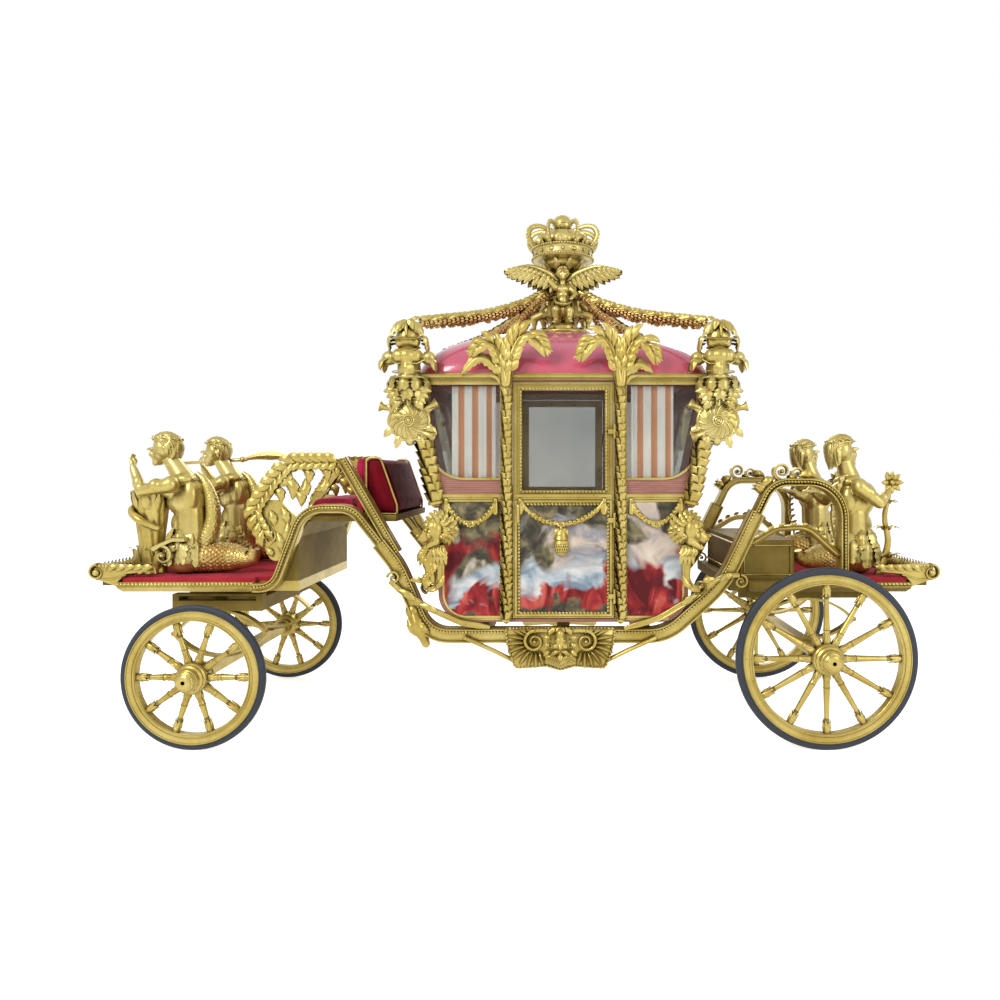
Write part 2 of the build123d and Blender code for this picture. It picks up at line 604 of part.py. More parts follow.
INNER_Y = CABIN_Y - WALL
shell = across(cabin_face(0, CABIN_TOP), -CABIN_Y, CABIN_Y)
hollow = across(cabin_face(WALL, CABIN_TOP + WALL), -INNER_Y, INNER_Y)
DOOR_X0 = CABIN_X - DOOR_WIDTH / 2
DOOR_X1 = CABIN_X + DOOR_WIDTH / 2
doorway = box(DOOR_X0 - DOOR_GAP, DOOR_X1 + DOOR_GAP, -CABIN_Y - 1, -INNER_Y + 1,
              DOOR_BOTTOM - DOOR_GAP, DOOR_TOP + DOOR_GAP)
side_wall = across(cabin_face(0, CABIN_TOP), -CABIN_Y, -INNER_Y) - doorway
for sign in (-1, 1):
    side_wall -= across(quarter_face(sign, 0), -CABIN_Y - 1, -INNER_Y + 1)
parts["cabin_side_left"] = side_wall
parts["cabin_side_right"] = mirror(side_wall, about=Plane.XZ)

FLOOR_HALF = LOW_HALF - CORNER_R
band = across(cabin_face(0, CABIN_TOP), -INNER_Y, INNER_Y) - hollow
middle = box(CABIN_X - FLOOR_HALF, CABIN_X + FLOOR_HALF, -CABIN_Y, CABIN_Y, 0, CABIN_TOP)
parts["cabin_floor"] = band & middle
end_window = box(-2 * TOP_HALF, 2 * TOP_HALF, -END_WINDOW_HALF, END_WINDOW_HALF,
                 END_WINDOW_BOTTOM, END_WINDOW_TOP)
end_windows = fillet(end_window.edges().filter_by(Axis.X), 60)
for end, sign in (("front", -1), ("rear", 1)):
    reach = CABIN_X + sign * FLOOR_HALF
    x0, x1 = sorted((reach, CABIN_X + sign * 2 * TOP_HALF))
    wall = band & box(x0, x1, -CABIN_Y, CABIN_Y, 0, CABIN_TOP)
    parts[f"cabin_{end}"] = wall - end_windows

# Cornice in three steps, and the domed roof
CORNICE_X = TOP_HALF + CORNICE_OUT
CORNICE_Y = CABIN_Y + CORNICE_OUT
CORNICE_TOP = CABIN_TOP + CORNICE_HEIGHT
cornice = fuse(
    Pos(CABIN_X, 0, CABIN_TOP + low) * extrude(
        RectangleRounded(2 * (CORNICE_X - inset), 2 * (CORNICE_Y - inset), 60 - inset), amount=high - low)
    for inset, low, high in ((20, 0, 12), (0, 12, 25), (10, 25, CORNICE_HEIGHT)))
parts["cornice"] = cornice - box(CABIN_X - TOP_HALF + WALL, CABIN_X + TOP_HALF - WALL, -INNER_Y, INNER_Y,
                                 CABIN_TOP - 1, CORNICE_TOP + 1)
DOME_LEVELS = (
    # share of the height, of the half length, of the half width
    (0, 1, 1), (0.4, 0.978, 0.94), (0.7, 0.87, 0.76), (0.88, 0.68, 0.53), (0.98, 0.42, 0.27),
)


def dome(inset):
    """The roof as rounded rectangles from the cornice up to the crown of the dome."""
    sections = []
    for level, along, out in DOME_LEVELS:
        half_x = (TOP_HALF + 6 - inset) * along
        half_y = (CABIN_Y - 4 - inset) * out
        face = RectangleRounded(2 * half_x, 2 * half_y, 0.3 * half_y)
        sections.append(Pos(CABIN_X, 0, CORNICE_TOP + level * (ROOF_HEIGHT - inset)) * face)
    return loft(sections)


roof = dome(0)
parts["cabin_roof"] = roof - dome(ROOF_SHELL)

# Doors, hinged at their rear edge, each with its frame, beads, belt rail, festoon and pine cone
HINGE_X = DOOR_X1 + DOOR_GAP / 2
HINGE_Y = CABIN_Y + HINGE_OUT
BELT_LOW = BELT_Z - BELT_HEIGHT / 2
BELT_TOP = BELT_Z + BELT_HEIGHT / 2


def ring_of(grow, outline):
    """A bead that follows an outline: what lies between it and itself moved out by grow."""
    return outline(grow) - outline(0)


def door_frame(x_in, low, high):
    """A rectangular bead on the door, x_in from its edges."""
    def outline(grow):
        half = DOOR_WIDTH / 2 - x_in + grow
        return Pos(CABIN_X, (low + high) / 2) * Rectangle(2 * half, high - low + 2 * grow)
    return across(ring_of(BEAD, outline), -CABIN_Y - BEAD_OUT, -CABIN_Y)


def belt(x0, x1):
    """A belt rail in two steps."""
    return (box(x0, x1, -CABIN_Y - 10, -CABIN_Y, BELT_LOW, BELT_TOP)
            + box(x0, x1, -CABIN_Y - 16, -CABIN_Y - 10, BELT_Z - 4, BELT_TOP - 4))


def festoon(x0, low_x, x1, low_z):
    """A leafy garland under the belt: an arc of a rope with a tassel at each end and leaves along it."""
    y = -CABIN_Y - 10
    top = BELT_LOW - 12
    pieces = [swag((x0, top), (low_x, low_z), (x1, top), y, FESTOON_RADIUS)]
    for x in (x0, x1):
        pieces.append(limb((x, y, top + 8), (x, y, top - 70), FESTOON_RADIUS, FESTOON_RADIUS + 5))
    return fuse(pieces) - shell


def pine_cone(x, z, height, radius):
    """A drop of stacked scales."""
    steps = [(6, 0)]
    count = 6
    for n in range(count):
        swell = radius * sin(pi * (n + 0.9) / (count + 1))
        steps += [(swell + 3, height * (n + 0.35) / count), (swell - 4, height * (n + 1) / count)]
    return turned(steps, x, -CABIN_Y - 6, z) - shell


door = box(DOOR_X0, DOOR_X1, -CABIN_Y, -INNER_Y, DOOR_BOTTOM, DOOR_TOP)
door -= box(CABIN_X - DOOR_WINDOW_HALF, CABIN_X + DOOR_WINDOW_HALF, -CABIN_Y - 1, -INNER_Y + 1,
            DOOR_WINDOW_BOTTOM, DOOR_WINDOW_TOP)
door_shapes = [
    door,
    door_frame(DOOR_WIDTH / 2 - DOOR_WINDOW_HALF, DOOR_WINDOW_BOTTOM, DOOR_WINDOW_TOP),
    door_frame(26, DOOR_BOTTOM + 26, BELT_LOW - 20),
    belt(DOOR_X0 + 10, DOOR_X1 - 12),
    festoon(DOOR_X0 + 45, CABIN_X - 14, DOOR_X1 - 62, 1350),
    pine_cone(CABIN_X - 15, 1160, 175, 46),
]
hinge_pins = []
for z in HINGE_HEIGHTS:
    knuckle = rod_z(HINGE_RADIUS, z - KNUCKLE_HALF, z + KNUCKLE_HALF, HINGE_X, -HINGE_Y)
    knuckle += box(HINGE_X - 34, HINGE_X, -HINGE_Y - 3, -HINGE_Y + 3, z - KNUCKLE_HALF, z + KNUCKLE_HALF)
    knuckle += box(HINGE_X - 40, HINGE_X - 30, -HINGE_Y - 3, -CABIN_Y, z - KNUCKLE_HALF, z + KNUCKLE_HALF)
    door_shapes.append(knuckle - rod_z(PIN_RADIUS + PIN_GAP, z - 20, z + 20, HINGE_X, -HINGE_Y))
    pin = rod_z(PIN_RADIUS, z - 3 * KNUCKLE_HALF, z + 3 * KNUCKLE_HALF, HINGE_X, -HINGE_Y)
    for low, high in ((-3 * KNUCKLE_HALF, -KNUCKLE_HALF - 1), (KNUCKLE_HALF + 1, 3 * KNUCKLE_HALF)):
        low, high = z + low, z + high
        pin += rod_z(HINGE_RADIUS, low, high, HINGE_X, -HINGE_Y)
        pin += box(HINGE_X - 3, HINGE_X + HINGE_RADIUS, -HINGE_Y, -CABIN_Y, low, high) - doorway
    hinge_pins.append(pin)
parts["door_hinges"] = left_and_right(fuse(hinge_pins))
HANDLE_X = DOOR_X0 + 34
door_shapes.append(rod_y(9, -CABIN_Y - 42, -CABIN_Y, HANDLE_X, HANDLE_Z))
door_shapes.append(limb((HANDLE_X, -CABIN_Y - 42, HANDLE_Z), (HANDLE_X, -CABIN_Y - 46, HANDLE_Z - 100), 12, 9))
door = fuse(door_shapes)
GLASS_Y = -CABIN_Y + GLASS_IN
pane = box(CABIN_X - DOOR_WINDOW_HALF, CABIN_X + DOOR_WINDOW_HALF, GLASS_Y, GLASS_Y + GLASS,
           DOOR_WINDOW_BOTTOM, DOOR_WINDOW_TOP)
for name, shape in (("door", door), ("door_glass", pane)):
    parts[f"{name}_left"] = shape
    parts[f"{name}_right"] = mirror(shape, about=Plane.XZ)

panes = [left_and_right(across(quarter_face(sign, -GLASS_GAP), GLASS_Y, GLASS_Y + GLASS)) for sign in (-1, 1)]
slant = across(cabin_face(GLASS_IN, CABIN_TOP), -INNER_Y, INNER_Y) - across(
    cabin_face(GLASS_IN + GLASS, CABIN_TOP + 1), -INNER_Y - 1, INNER_Y + 1)
panes.append(slant & end_windows)
parts["cabin_glass"] = fuse(panes)

# Benches, cushions and curtains
FLOOR_TOP = CABIN_BOTTOM + WALL
benches = []
cushions = []
for sign in (-1, 1):
    wall_x = CABIN_X + sign * (LOW_HALF - WALL)
    x0, x1 = sorted((wall_x, wall_x - sign * BENCH_DEPTH))
    benches.append(box(x0, x1, -INNER_Y, INNER_Y, FLOOR_TOP, BENCH_TOP) & hollow)
    x0, x1 = sorted((wall_x - sign * 2, wall_x - sign * (BENCH_DEPTH + 20)))
    cushion = box(x0, x1, -INNER_Y + 6, INNER_Y - 6, BENCH_TOP, BENCH_TOP + PAD_THICK)
    x0, x1 = sorted((wall_x - sign * 2, wall_x - sign * PAD_THICK))
    cushion += box(x0, x1, -INNER_Y + 6, INNER_Y - 6, BENCH_TOP + PAD_THICK, PAD_TOP)
    cushions.append(cushion)
parts["cabin_benches"] = fuse(benches)
parts["cabin_cushions"] = fuse(cushions)
CURTAIN_Y = INNER_Y - GLASS_GAP
curtains = fuse(
    box(x0, x1, -CURTAIN_Y, -CURTAIN_Y + 16, low, CABIN_TOP)
    for x0, x1, low in ((-400, -110, 1620), (-92, -46, 1560), (736, 1010, 1620)))
parts["curtains"] = left_and_right(curtains)

# Belt rails, window beads, panel beads and festoons on the cabin's sides
mouldings = []
for sign in (-1, 1):
    x0, x1 = sorted((CABIN_X + sign * (COLUMN_AT + COLUMN_RADIUS), CABIN_X + sign * (LOW_HALF - 4)))
    swags = sorted((CABIN_X + sign * 425, CABIN_X + sign * 735))
    mouldings.append(fuse([
        belt(x0, x1),
        across(ring_of(BEAD, lambda grow: quarter_face(sign, grow)), -CABIN_Y - BEAD_OUT, -CABIN_Y),
        across(ring_of(BEAD, lambda grow: panel_face(sign, grow)), -CABIN_Y - BEAD_OUT, -CABIN_Y),
        festoon(swags[0], CABIN_X + sign * 585, swags[1], 1360),
    ]))

# Palm columns beside the doors, stacked from leaf scales
COLUMN_Y = CABIN_Y + COLUMN_RADIUS / 2
steps = []
z = CABIN_BOTTOM + 10
while z < CABIN_TOP - SCALE_STEP:
    steps += [(COLUMN_RADIUS - 5, z), (COLUMN_RADIUS, z + SCALE_STEP - 6)]
    z += SCALE_STEP
steps.append((COLUMN_RADIUS - 4, CABIN_TOP))
column = turned(steps, 0, 0, 0)
columns = fuse([Pos(CABIN_X + at, -COLUMN_Y, 0) * column for at in (-COLUMN_AT, COLUMN_AT)]) - shell
parts["palm_columns"] = left_and_right(columns)

# Palm fronds on the columns' heads: a bowed rib with leaflets on both edges
FROND_Y = CORNICE_Y + 1
FRONDS = (
    # column, way it leans, reach, rise, tip height, leaflets
    (-COLUMN_AT, -1, 262, 2500, 2375, 6), (-COLUMN_AT, 1, 268, 2530, 2425, 6),
    (COLUMN_AT, -1, 268, 2530, 2400, 6), (COLUMN_AT, 1, 232, 2500, 2375, 6),
    (-COLUMN_AT, -1, 300, 2390, 2262, 4), (COLUMN_AT, 1, 270, 2390, 2262, 4),
)


def blade(start, end, width):
    """A pointed leaf in x and z from start to end, broadest at a third of its length."""
    (x0, z0), (x1, z1) = start, end
    reach = hypot(x1 - x0, z1 - z0)
    out_x, out_z = (z0 - z1) / reach * width / 2, (x1 - x0) / reach * width / 2
    mid_x, mid_z = x0 + 0.35 * (x1 - x0), z0 + 0.35 * (z1 - z0)
    return make_face(Polyline((x0, z0), (mid_x + out_x, mid_z + out_z), (x1, z1),
                              (mid_x - out_x, mid_z - out_z), close=True))


def frond(root_x, sign, reach, rise, tip_z, count):
    """A palm leaf: its rib rises from the column's head, bows over and droops to its tip."""
    low = CABIN_TOP - 10
    bow_x = root_x + sign * reach * 0.42
    rib = ThreePointArc((root_x, low), (bow_x, rise - 25), (root_x + sign * reach, tip_z))
    leaf = trace(rib, line_width=16)
    for n in range(count):
        share = 0.22 + 0.78 * n / (count - 1)
        at = rib @ share
        along = rib % share
        long = 120 - 55 * abs(share - 0.45)
        for side in (-1, 1):
            tip = (at.X + long * (0.75 * along.X - side * 0.62 * along.Y),
                   at.Y + long * (0.75 * along.Y + side * 0.62 * along.X))
            leaf += blade((at.X - 8 * along.X, at.Y - 8 * along.Y), tip, 40)
    return leaf


def fan(column_at):
    """All the fronds of one column as one thin carved leaf crown, its head standing on the column."""
    leaf = Sketch() + [frond(CABIN_X + at, sign, reach, rise, tip_z, count)
                       for at, sign, reach, rise, tip_z, count in FRONDS if at == column_at]
    head = limb((CABIN_X + column_at, -FROND_Y - 8, CABIN_TOP - 30), (CABIN_X + column_at, -FROND_Y - 8, 2380),
                COLUMN_RADIUS, COLUMN_RADIUS + 14)
    return across(leaf, -FROND_Y - 22, -FROND_Y) + head


fronds = fuse([fan(-COLUMN_AT), fan(COLUMN_AT)]) - shell - cornice - columns - fuse(mouldings)
parts["palm_fronds"] = left_and_right(fuse(fronds.solids().sort_by(SortBy.VOLUME)[-2:]))

# Corner posts: slanted palm trunks in ringed steps, each below a trophy of armour
posts = []
trophies = []
TROPHY_Y = CABIN_Y + 36
for sign in (-1, 1):
    low = Vector(CABIN_X + sign * (LOW_HALF + 14), -CABIN_Y - 6, BELT_Z - 40)
    high = Vector(CABIN_X + sign * (half_length(1900) + 20), -CABIN_Y - 6, 1900)
    rings = []
    count = 8
    for n in range(count):
        height = (high - low).length * n / count
        rings += [(POST_RADIUS - 7, height), (POST_RADIUS, height + (high - low).length / count - 8)]
    rings.append((POST_RADIUS - 8, (high - low).length))
    post = turned(rings, low.X, low.Y, low.Z, high - low) - shell
    posts.append(post)

    def at(out, z, forward=0):
        """A place on the trophy: out from its middle, away from the door, and forward of its plane."""
        return (CABIN_X + sign * (SHIELD_AT + out), -TROPHY_Y - forward, z)

    armour = [
        turned(((40, 0), (126, 10), (130, 26), (118, 34), (106, 30), (96, 44), (70, 52), (44, 66), (20, 72)),
               *at(0, SHIELD_Z, -30), (0, -1, 0)),
        limb(at(2, 2080), at(6, 2230), 44, 78),
        limb(at(8, 2290), at(8, 2400), 118, 128),
        limb(at(8, 2400, 0), at(10, 2500), 70, 60),
        Pos(*at(12, 2512)) * Sphere(92),
        turned(((98, 0), (116, 8), (112, 18), (96, 22)), *at(12, 2490), (sign * 0.15, 0, 1)),
        limb(at(-70, 2580, 16), at(14, 2600, 20), 26, 34),
        limb(at(10, 2598, 18), at(84, 2560, 14), 29, 22),
        limb(at(-96, 2350, 10), at(-150, 2290, 6), 50, 30),
        limb(at(110, 2350, 10), at(156, 2290, 6), 50, 30),
        turned(((10, 0), (14, 110), (34, 190), (40, 196)), *at(-20, 2100, 10), (-sign * 0.75, -0.05, -0.45)),
        turned(((10, 0), (14, 110), (34, 190), (40, 196)), *at(10, 2060, 10), (sign * 0.75, -0.05, -0.5)),
    ]
    # Leather skirt of the breastplate
    for n in range(5):
        swell = 34 - 8 * abs(n - 2)
        armour.append(limb(at(-76 + 40 * n, 2270, swell), at(-96 + 50 * n, 2165, swell + 6), 24, 16))
    trophy = fuse(armour) - shell - cornice - roof - post
    trophies += trophy.solids().sort_by(SortBy.VOLUME)[-1:]
parts["corner_posts"] = left_and_right(fuse(posts))
parts["cabin_mouldings"] = left_and_right(fuse(mouldings) - columns - fuse(posts))
parts["corner_trophies"] = left_and_right(fuse(trophies))

# Lion heads on scrolled consoles, at the cabin's lower corners. The leafy drapery hangs on the front pair.
lions = []
for sign in (-1, 1):
    def at(out, z, forward=40):
        """A place near the lion: out from its middle, away from the door, and forward of the wall."""
        return (CABIN_X + sign * (LION_AT + out), -CABIN_Y - forward, z)

    mane = [rosette(*at(0, LION_Z, 0), MANE_RADIUS, MANE_RADIUS - 26, 12, 46),
            rosette(*at(6, LION_Z, 46), MANE_RADIUS - 24, MANE_RADIUS - 46, 12, 20)]
    head = [
        limb(at(0, LION_Z, 40), at(70, LION_Z - 50, 62), 84, 50),
        limb(at(40, LION_Z + 30, 70), at(92, LION_Z - 58, 78), 40, 34),
        Pos(*at(30, LION_Z + 62, 74)) * Sphere(26),
    ]
    console = beam(((CABIN_X + sign * 766, LION_Z - 90), (CABIN_X + sign * 766, 1010),
                    (CABIN_X + sign * 800, 950), (CABIN_X + sign * 858, 950)), [70, 30], -CABIN_Y - 24, 44, 52)
    scrolls = [rod_y(38, -CABIN_Y - 52, -CABIN_Y, CABIN_X + sign * 850, 957),
               limb(at(-10, LION_Z - 110, 24), at(-20, LION_Z - 180, 28), 46, 30),
               limb(at(70, 985, 24), at(166, 1000, 24), 30, 12)]
    shapes = mane + head + [console] + scrolls
    if sign < 0:
        shapes += [limb(at(20, 1220, 20), at(60, 1100, 30), 58, 66),
                   limb(at(60, 1100, 30), at(10, 960, 26), 62, 34),
                   limb(at(-40, 1180, 20), at(-30, 1020, 26), 44, 34)]
    lion = fuse(shapes) - shell - fuse(posts) - fuse(mouldings) - side_beam
    lions += lion.solids().sort_by(SortBy.VOLUME)[-1:]
parts["lion_consoles"] = left_and_right(fuse(lions))

# Straps with scroll ends, outside the beams, under the cabin
STRAP_Y = CABIN_Y + STRAP_WIDTH / 2 + 7
STRAPS = (
    # points in x and z, bends, boss on the beam, scroll's middle and radius
    (((-150, 707), (-330, 735), (-540, 830), (-715, 940), (-780, 1010)), [200, 200, 120],
     (-648, 898), (-752, 1016), 38),
    (((690, 700), (900, 760), (1100, 880), (1320, 1030), (1420, 1020)), [400, 400, 60],
     (1345, 1027), (1418, 992), 40),
)
straps = []
for points, bends, boss, scroll_at, scroll_radius in STRAPS:
    strap = beam(points, bends, -STRAP_Y, STRAP_WIDTH, STRAP_DEPTH)
    strap += rod_y(20, -STRAP_Y, -BEAM_OUT, *boss)
    strap += rod_y(scroll_radius, -STRAP_Y - STRAP_WIDTH / 2, -STRAP_Y + STRAP_WIDTH / 2, *scroll_at)
    straps.append(strap)
straps = fuse(straps) - shell - parts["lion_consoles"] - fuse(mouldings)
parts["body_straps"] = left_and_right(fuse(straps.solids().sort_by(SortBy.VOLUME)[-2:]))

# Step panel below each door: a bearded mask between two fluted shells
MASK_X = CABIN_X - 20
MASK_Z = 590
MASK_BACK = BEAM_OUT
plate = make_face(Polyline(
    (MASK_X - MASK_HALF, MASK_TOP), (MASK_X - MASK_HALF + 20, 560), (MASK_X - MASK_HALF + 60, 452),
    (MASK_X - 90, 470),
    (MASK_X, MASK_LOW), (MASK_X + 90, 470), (MASK_X + MASK_HALF - 60, 452), (MASK_X + MASK_HALF - 20, 560),
    (MASK_X + MASK_HALF, MASK_TOP), close=True))
mask = [across(plate, -MASK_BACK - MASK_THICK, -MASK_BACK)]
MASK_FACE = (
    # x0, forward0, z0, x1, forward1, z1, radii
    (0, 34, 660, 0, 42, 560, 62, 46),
    (0, 40, 560, 0, 38, 480, 48, 26),
    (-34, 40, 560, -52, 36, 480, 30, 16),
    (34, 40, 560, 52, 36, 480, 30, 16),
    (0, 74, 650, 0, 92, 606, 12, 18),
    (-60, 40, 670, -96, 36, 620, 30, 24),
    (60, 40, 670, 96, 36, 620, 30, 24),
)
for x0, out0, z0, x1, out1, z1, r0, r1 in MASK_FACE:
    mask.append(limb((MASK_X + x0, -MASK_BACK - out0, z0), (MASK_X + x1, -MASK_BACK - out1, z1), r0, r1))
for sign in (-1, 1):
    mask.append(turned(((60, -12), (66, 10), (50, 16), (46, 30), (30, 34), (24, 46)),
                       MASK_X + sign * 165, -MASK_BACK - MASK_THICK, MASK_Z + 24, (0, -1, 0)))
    for n in range(6):
        angle = radians(-75 + 32 * n)
        root = (MASK_X + sign * (167 + 38 * cos(angle)), -MASK_BACK - 33, MASK_Z + 19 + 38 * sin(angle))
        tip = (MASK_X + sign * (178 + 132 * cos(angle)), -MASK_BACK - 30, MASK_Z + 6 + 96 * sin(angle))
        mask.append(limb(root, tip, 14, 22))
below_door = box(-TIP, TIP, -2 * MASK_BACK, -MASK_BACK, 0, MASK_TOP + 4)
parts["step_masks"] = left_and_right(fuse(mask) & below_door)

# Roof pedestal with a three-lobed foot
ROOF_TOP = CORNICE_TOP + DOME_LEVELS[-1][0] * ROOF_HEIGHT
shaft = turned((
    (150, ROOF_TOP), (150, ROOF_TOP + 24), (110, ROOF_TOP + 44), (PEDESTAL_RADIUS, ROOF_TOP + 84),
    (PEDESTAL_RADIUS - 10, 2890), (PEDESTAL_RADIUS + 14, 2904), (PEDESTAL_RADIUS - 6, 2920),
    (PEDESTAL_RADIUS + 10, 2940), (PEDESTAL_RADIUS + 10, 2952), (PEDESTAL_RADIUS - 6, 2964),
    (PEDESTAL_RADIUS + 10, 3012), (82, 3020), (82, PEDESTAL_TOP),
), CABIN_X, 0, 0)
lobes = [turned(((96, 0), (100, 26), (70, 44)), CABIN_X + 92 * cos(radians(a)), 92 * sin(radians(a)), ROOF_TOP)
         for a in (30, 150, 270)]
parts["roof_pedestal"] = fuse([shaft] + lobes)

# Three winged cherubs round the pedestal. Each is drawn looking along +X from the pedestal's axis.
CHERUB = (
    # limb from x, y, z to x, y, z, radii
    (118, 0, 2790, 108, 0, 2850, 58, 52), (108, 0, 2850, 116, 0, 2950, 52, 50),
    (116, 0, 2985, 128, 0, 3046, 30, 44),
    (150, 34, 2800, 212, 50, 2770, 32, 28), (212, 50, 2770, 206, 46, 2712, 26, 16),
    (150, -34, 2800, 212, -50, 2770, 32, 28), (212, -50, 2770, 206, -46, 2712, 26, 16),
    (118, 52, 2968, 150, 92, 2908, 22, 18), (150, 92, 2908, 196, 60, 2860, 17, 14),
    (118, -52, 2968, 120, -104, 3020, 22, 18), (120, -104, 3020, 78, -96, 3092, 17, 13),
)
wing_outline = Wire([
    Line((0, 3100), (0, 2970)), ThreePointArc((0, 2970), (230, 2948), (430, 2990)),
    ThreePointArc((430, 2990), (230, 3105), (0, 3100)),
])
wing = extrude(Plane.XZ * make_face(wing_outline), amount=9, both=True)
cherubs = []
for turn in (30, 150, 270):
    wings = [Pos(78, side * 26, 0) * (Rot(0, 0, side * 68) * wing) for side in (-1, 1)]
    child = Pos(CABIN_X, 0, 0) * (Rot(0, 0, turn) * fuse([figure(CHERUB)] + wings))
    cherubs.append((child - parts["roof_pedestal"] - roof).solids().sort_by(SortBy.VOLUME)[-1])

# Crown: a stem, the band with its pearls, a cushion, eight arches and the orb
crown = [
    turned(((66, PEDESTAL_TOP), (66, 3084), (120, 3108), (150, 3130), (150, 3160), (186, 3166),
            (CROWN_BAND, 3172), (CROWN_BAND + 8, 3182), (CROWN_BAND - 4, 3192), (CROWN_BAND - 4, 3230), (CROWN_BAND + 8, 3240),
            (CROWN_BAND, 3252), (180, 3262), (190, 3300), (150, 3352), (60, 3372)), CABIN_X, 0, 0),
    Pos(CABIN_X, 0, CROWN_TOP - ORB_RADIUS) * Sphere(ORB_RADIUS),
]
ARCHES = 8
for n in range(ARCHES):
    arch = swag((CROWN_BAND - 14, 3240), (CROWN_HALF - 14, 3330), (40, 3384), 0, 15)
    crown.append(Pos(CABIN_X, 0, 0) * (Rot(0, 0, (n + 0.5) * 360 / ARCHES) * arch))
    angle = n * 2 * pi / ARCHES
    crown.append(Pos(CABIN_X + CROWN_BAND * cos(angle), CROWN_BAND * sin(angle), 3264) * Sphere(24))
parts["crown"] = fuse(crown)
parts["cherubs"] = fuse(cherubs) - parts["crown"]

# Garlands from the pedestal to the corner trophies
garlands = []
for sign in (-1, 1):
    points = [(CABIN_X + sign * 40, -24, 2985), (CABIN_X + sign * 330, -190, 2800),
              (CABIN_X + sign * 600, -410, 2690), (CABIN_X + sign * 900, -600, 2610)]
    garlands.append(rope(points, [200, 300], GARLAND_RADIUS))
on_roof = [parts["roof_pedestal"], parts["cherubs"], parts["corner_trophies"], parts["crown"], roof]
swags = left_and_right(fuse(garlands)) - fuse(on_roof)
parts["roof_garlands"] = fuse(swags.solids().sort_by(SortBy.VOLUME)[-4:])

# Sea-men on the decks, with scaled tails, drawn round the middle of their hips
FRONT_TRITON = (
    # limb from x, y, z to x, y, z, radii
    (0, 0, 110, 46, 0, 351, 130, 105), (46, 0, 351, -20, 0, 536, 104, 115),
    (-40, 0, 590, -98, 0, 660, 72, 58), (-120, 0, 730, -164, 0, 812, 62, 84),
    (-50, -104, 580, -230, -150, 545, 62, 44), (-230, -150, 545, -300, -110, 714, 42, 32),
    (-50, 104, 580, -230, 140, 520, 62, 44), (-230, 140, 520, -322, 100, 560, 42, 32),
    (0, 0, 100, 150, 20, 80, 125, 104), (150, 20, 80, 330, 30, 75, 103, 92),
    (330, 30, 75, 430, 10, 74, 90, 60), (430, 10, 74, 462, 0, 170, 56, 26),
    (0, 0, 110, -110, -60, 130, 110, 70), (0, 0, 110, -110, 60, 130, 110, 70),
)
REAR_TRITON = (
    (0, 0, 115, -15, 0, 330, 125, 100), (-15, 0, 330, -25, 0, 510, 99, 116),
    (-40, 0, 560, -66, 0, 690, 70, 56), (-70, 0, 730, -100, 0, 800, 66, 90),
    (-40, -112, 570, 90, -150, 470, 60, 44), (90, -150, 470, 180, -80, 560, 42, 32),
    (-40, 112, 570, -150, 150, 470, 60, 44), (-150, 150, 470, -250, 100, 520, 42, 32),
    (0, 0, 100, -160, 20, 85, 120, 100), (-160, 20, 85, -340, 20, 75, 99, 70),
    (-340, 20, 75, -385, 0, 150, 50, 24),
)
FRONT_HIP_X = -2176
REAR_HIP_X = 2249
TRITON_Y = 370
conch = turned(((88, 0), (96, 20), (72, 150), (84, 300), (104, 480), (112, 540), (60, 560)), -234, 0, 0)
above_carpet = box(-TIP, TIP, -2 * TRITON_Y, 0, DECK_CLEAR, 3000)
TRITONS = (("front", FRONT_HIP_X, FRONT_TRITON, [conch]), ("rear", REAR_HIP_X, REAR_TRITON, []))
for name, hip_x, limbs, more in TRITONS:
    body = Pos(hip_x, -TRITON_Y, DECK_CLEAR) * fuse([figure(limbs)] + more)
    parts[f"tritons_{name}"] = left_and_right((body & above_carpet) - parts[f"{name}_deck_end"])

os.makedirs("parts", exist_ok=True)
for name, shape in parts.items():
    export_step(shape, f"parts/{name}.step")
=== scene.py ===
import json
import math
import random

import bpy
import numpy as np
from mathutils import Matrix, Vector

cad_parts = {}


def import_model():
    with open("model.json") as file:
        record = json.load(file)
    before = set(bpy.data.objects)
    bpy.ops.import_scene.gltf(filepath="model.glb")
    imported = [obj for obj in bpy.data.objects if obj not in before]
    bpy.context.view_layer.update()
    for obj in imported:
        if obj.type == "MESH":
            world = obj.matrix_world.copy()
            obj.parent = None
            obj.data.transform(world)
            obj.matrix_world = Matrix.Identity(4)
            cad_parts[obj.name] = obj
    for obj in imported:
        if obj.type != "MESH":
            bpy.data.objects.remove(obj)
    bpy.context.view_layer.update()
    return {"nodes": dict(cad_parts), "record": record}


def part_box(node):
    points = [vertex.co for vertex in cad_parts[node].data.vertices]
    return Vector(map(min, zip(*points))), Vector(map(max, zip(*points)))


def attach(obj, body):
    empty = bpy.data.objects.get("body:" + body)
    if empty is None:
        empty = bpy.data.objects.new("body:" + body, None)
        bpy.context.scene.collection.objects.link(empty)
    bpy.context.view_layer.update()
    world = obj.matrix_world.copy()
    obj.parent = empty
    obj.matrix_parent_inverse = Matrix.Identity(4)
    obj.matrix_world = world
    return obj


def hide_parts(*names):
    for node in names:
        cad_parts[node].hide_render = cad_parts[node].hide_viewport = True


# State coach, dressed around its fixed frame. Metres, +Z up, the front faces -X, the left side is -Y.

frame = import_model()
nodes = frame["nodes"]
slots = {part["node"]: part["material_slot"] for part in frame["record"]["subparts"]}
CHASSIS = "chassis"
SIDES = (("left", -1), ("right", 1))
X, Y, Z = Vector((1, 0, 0)), Vector((0, 1, 0)), Vector((0, 0, 1))

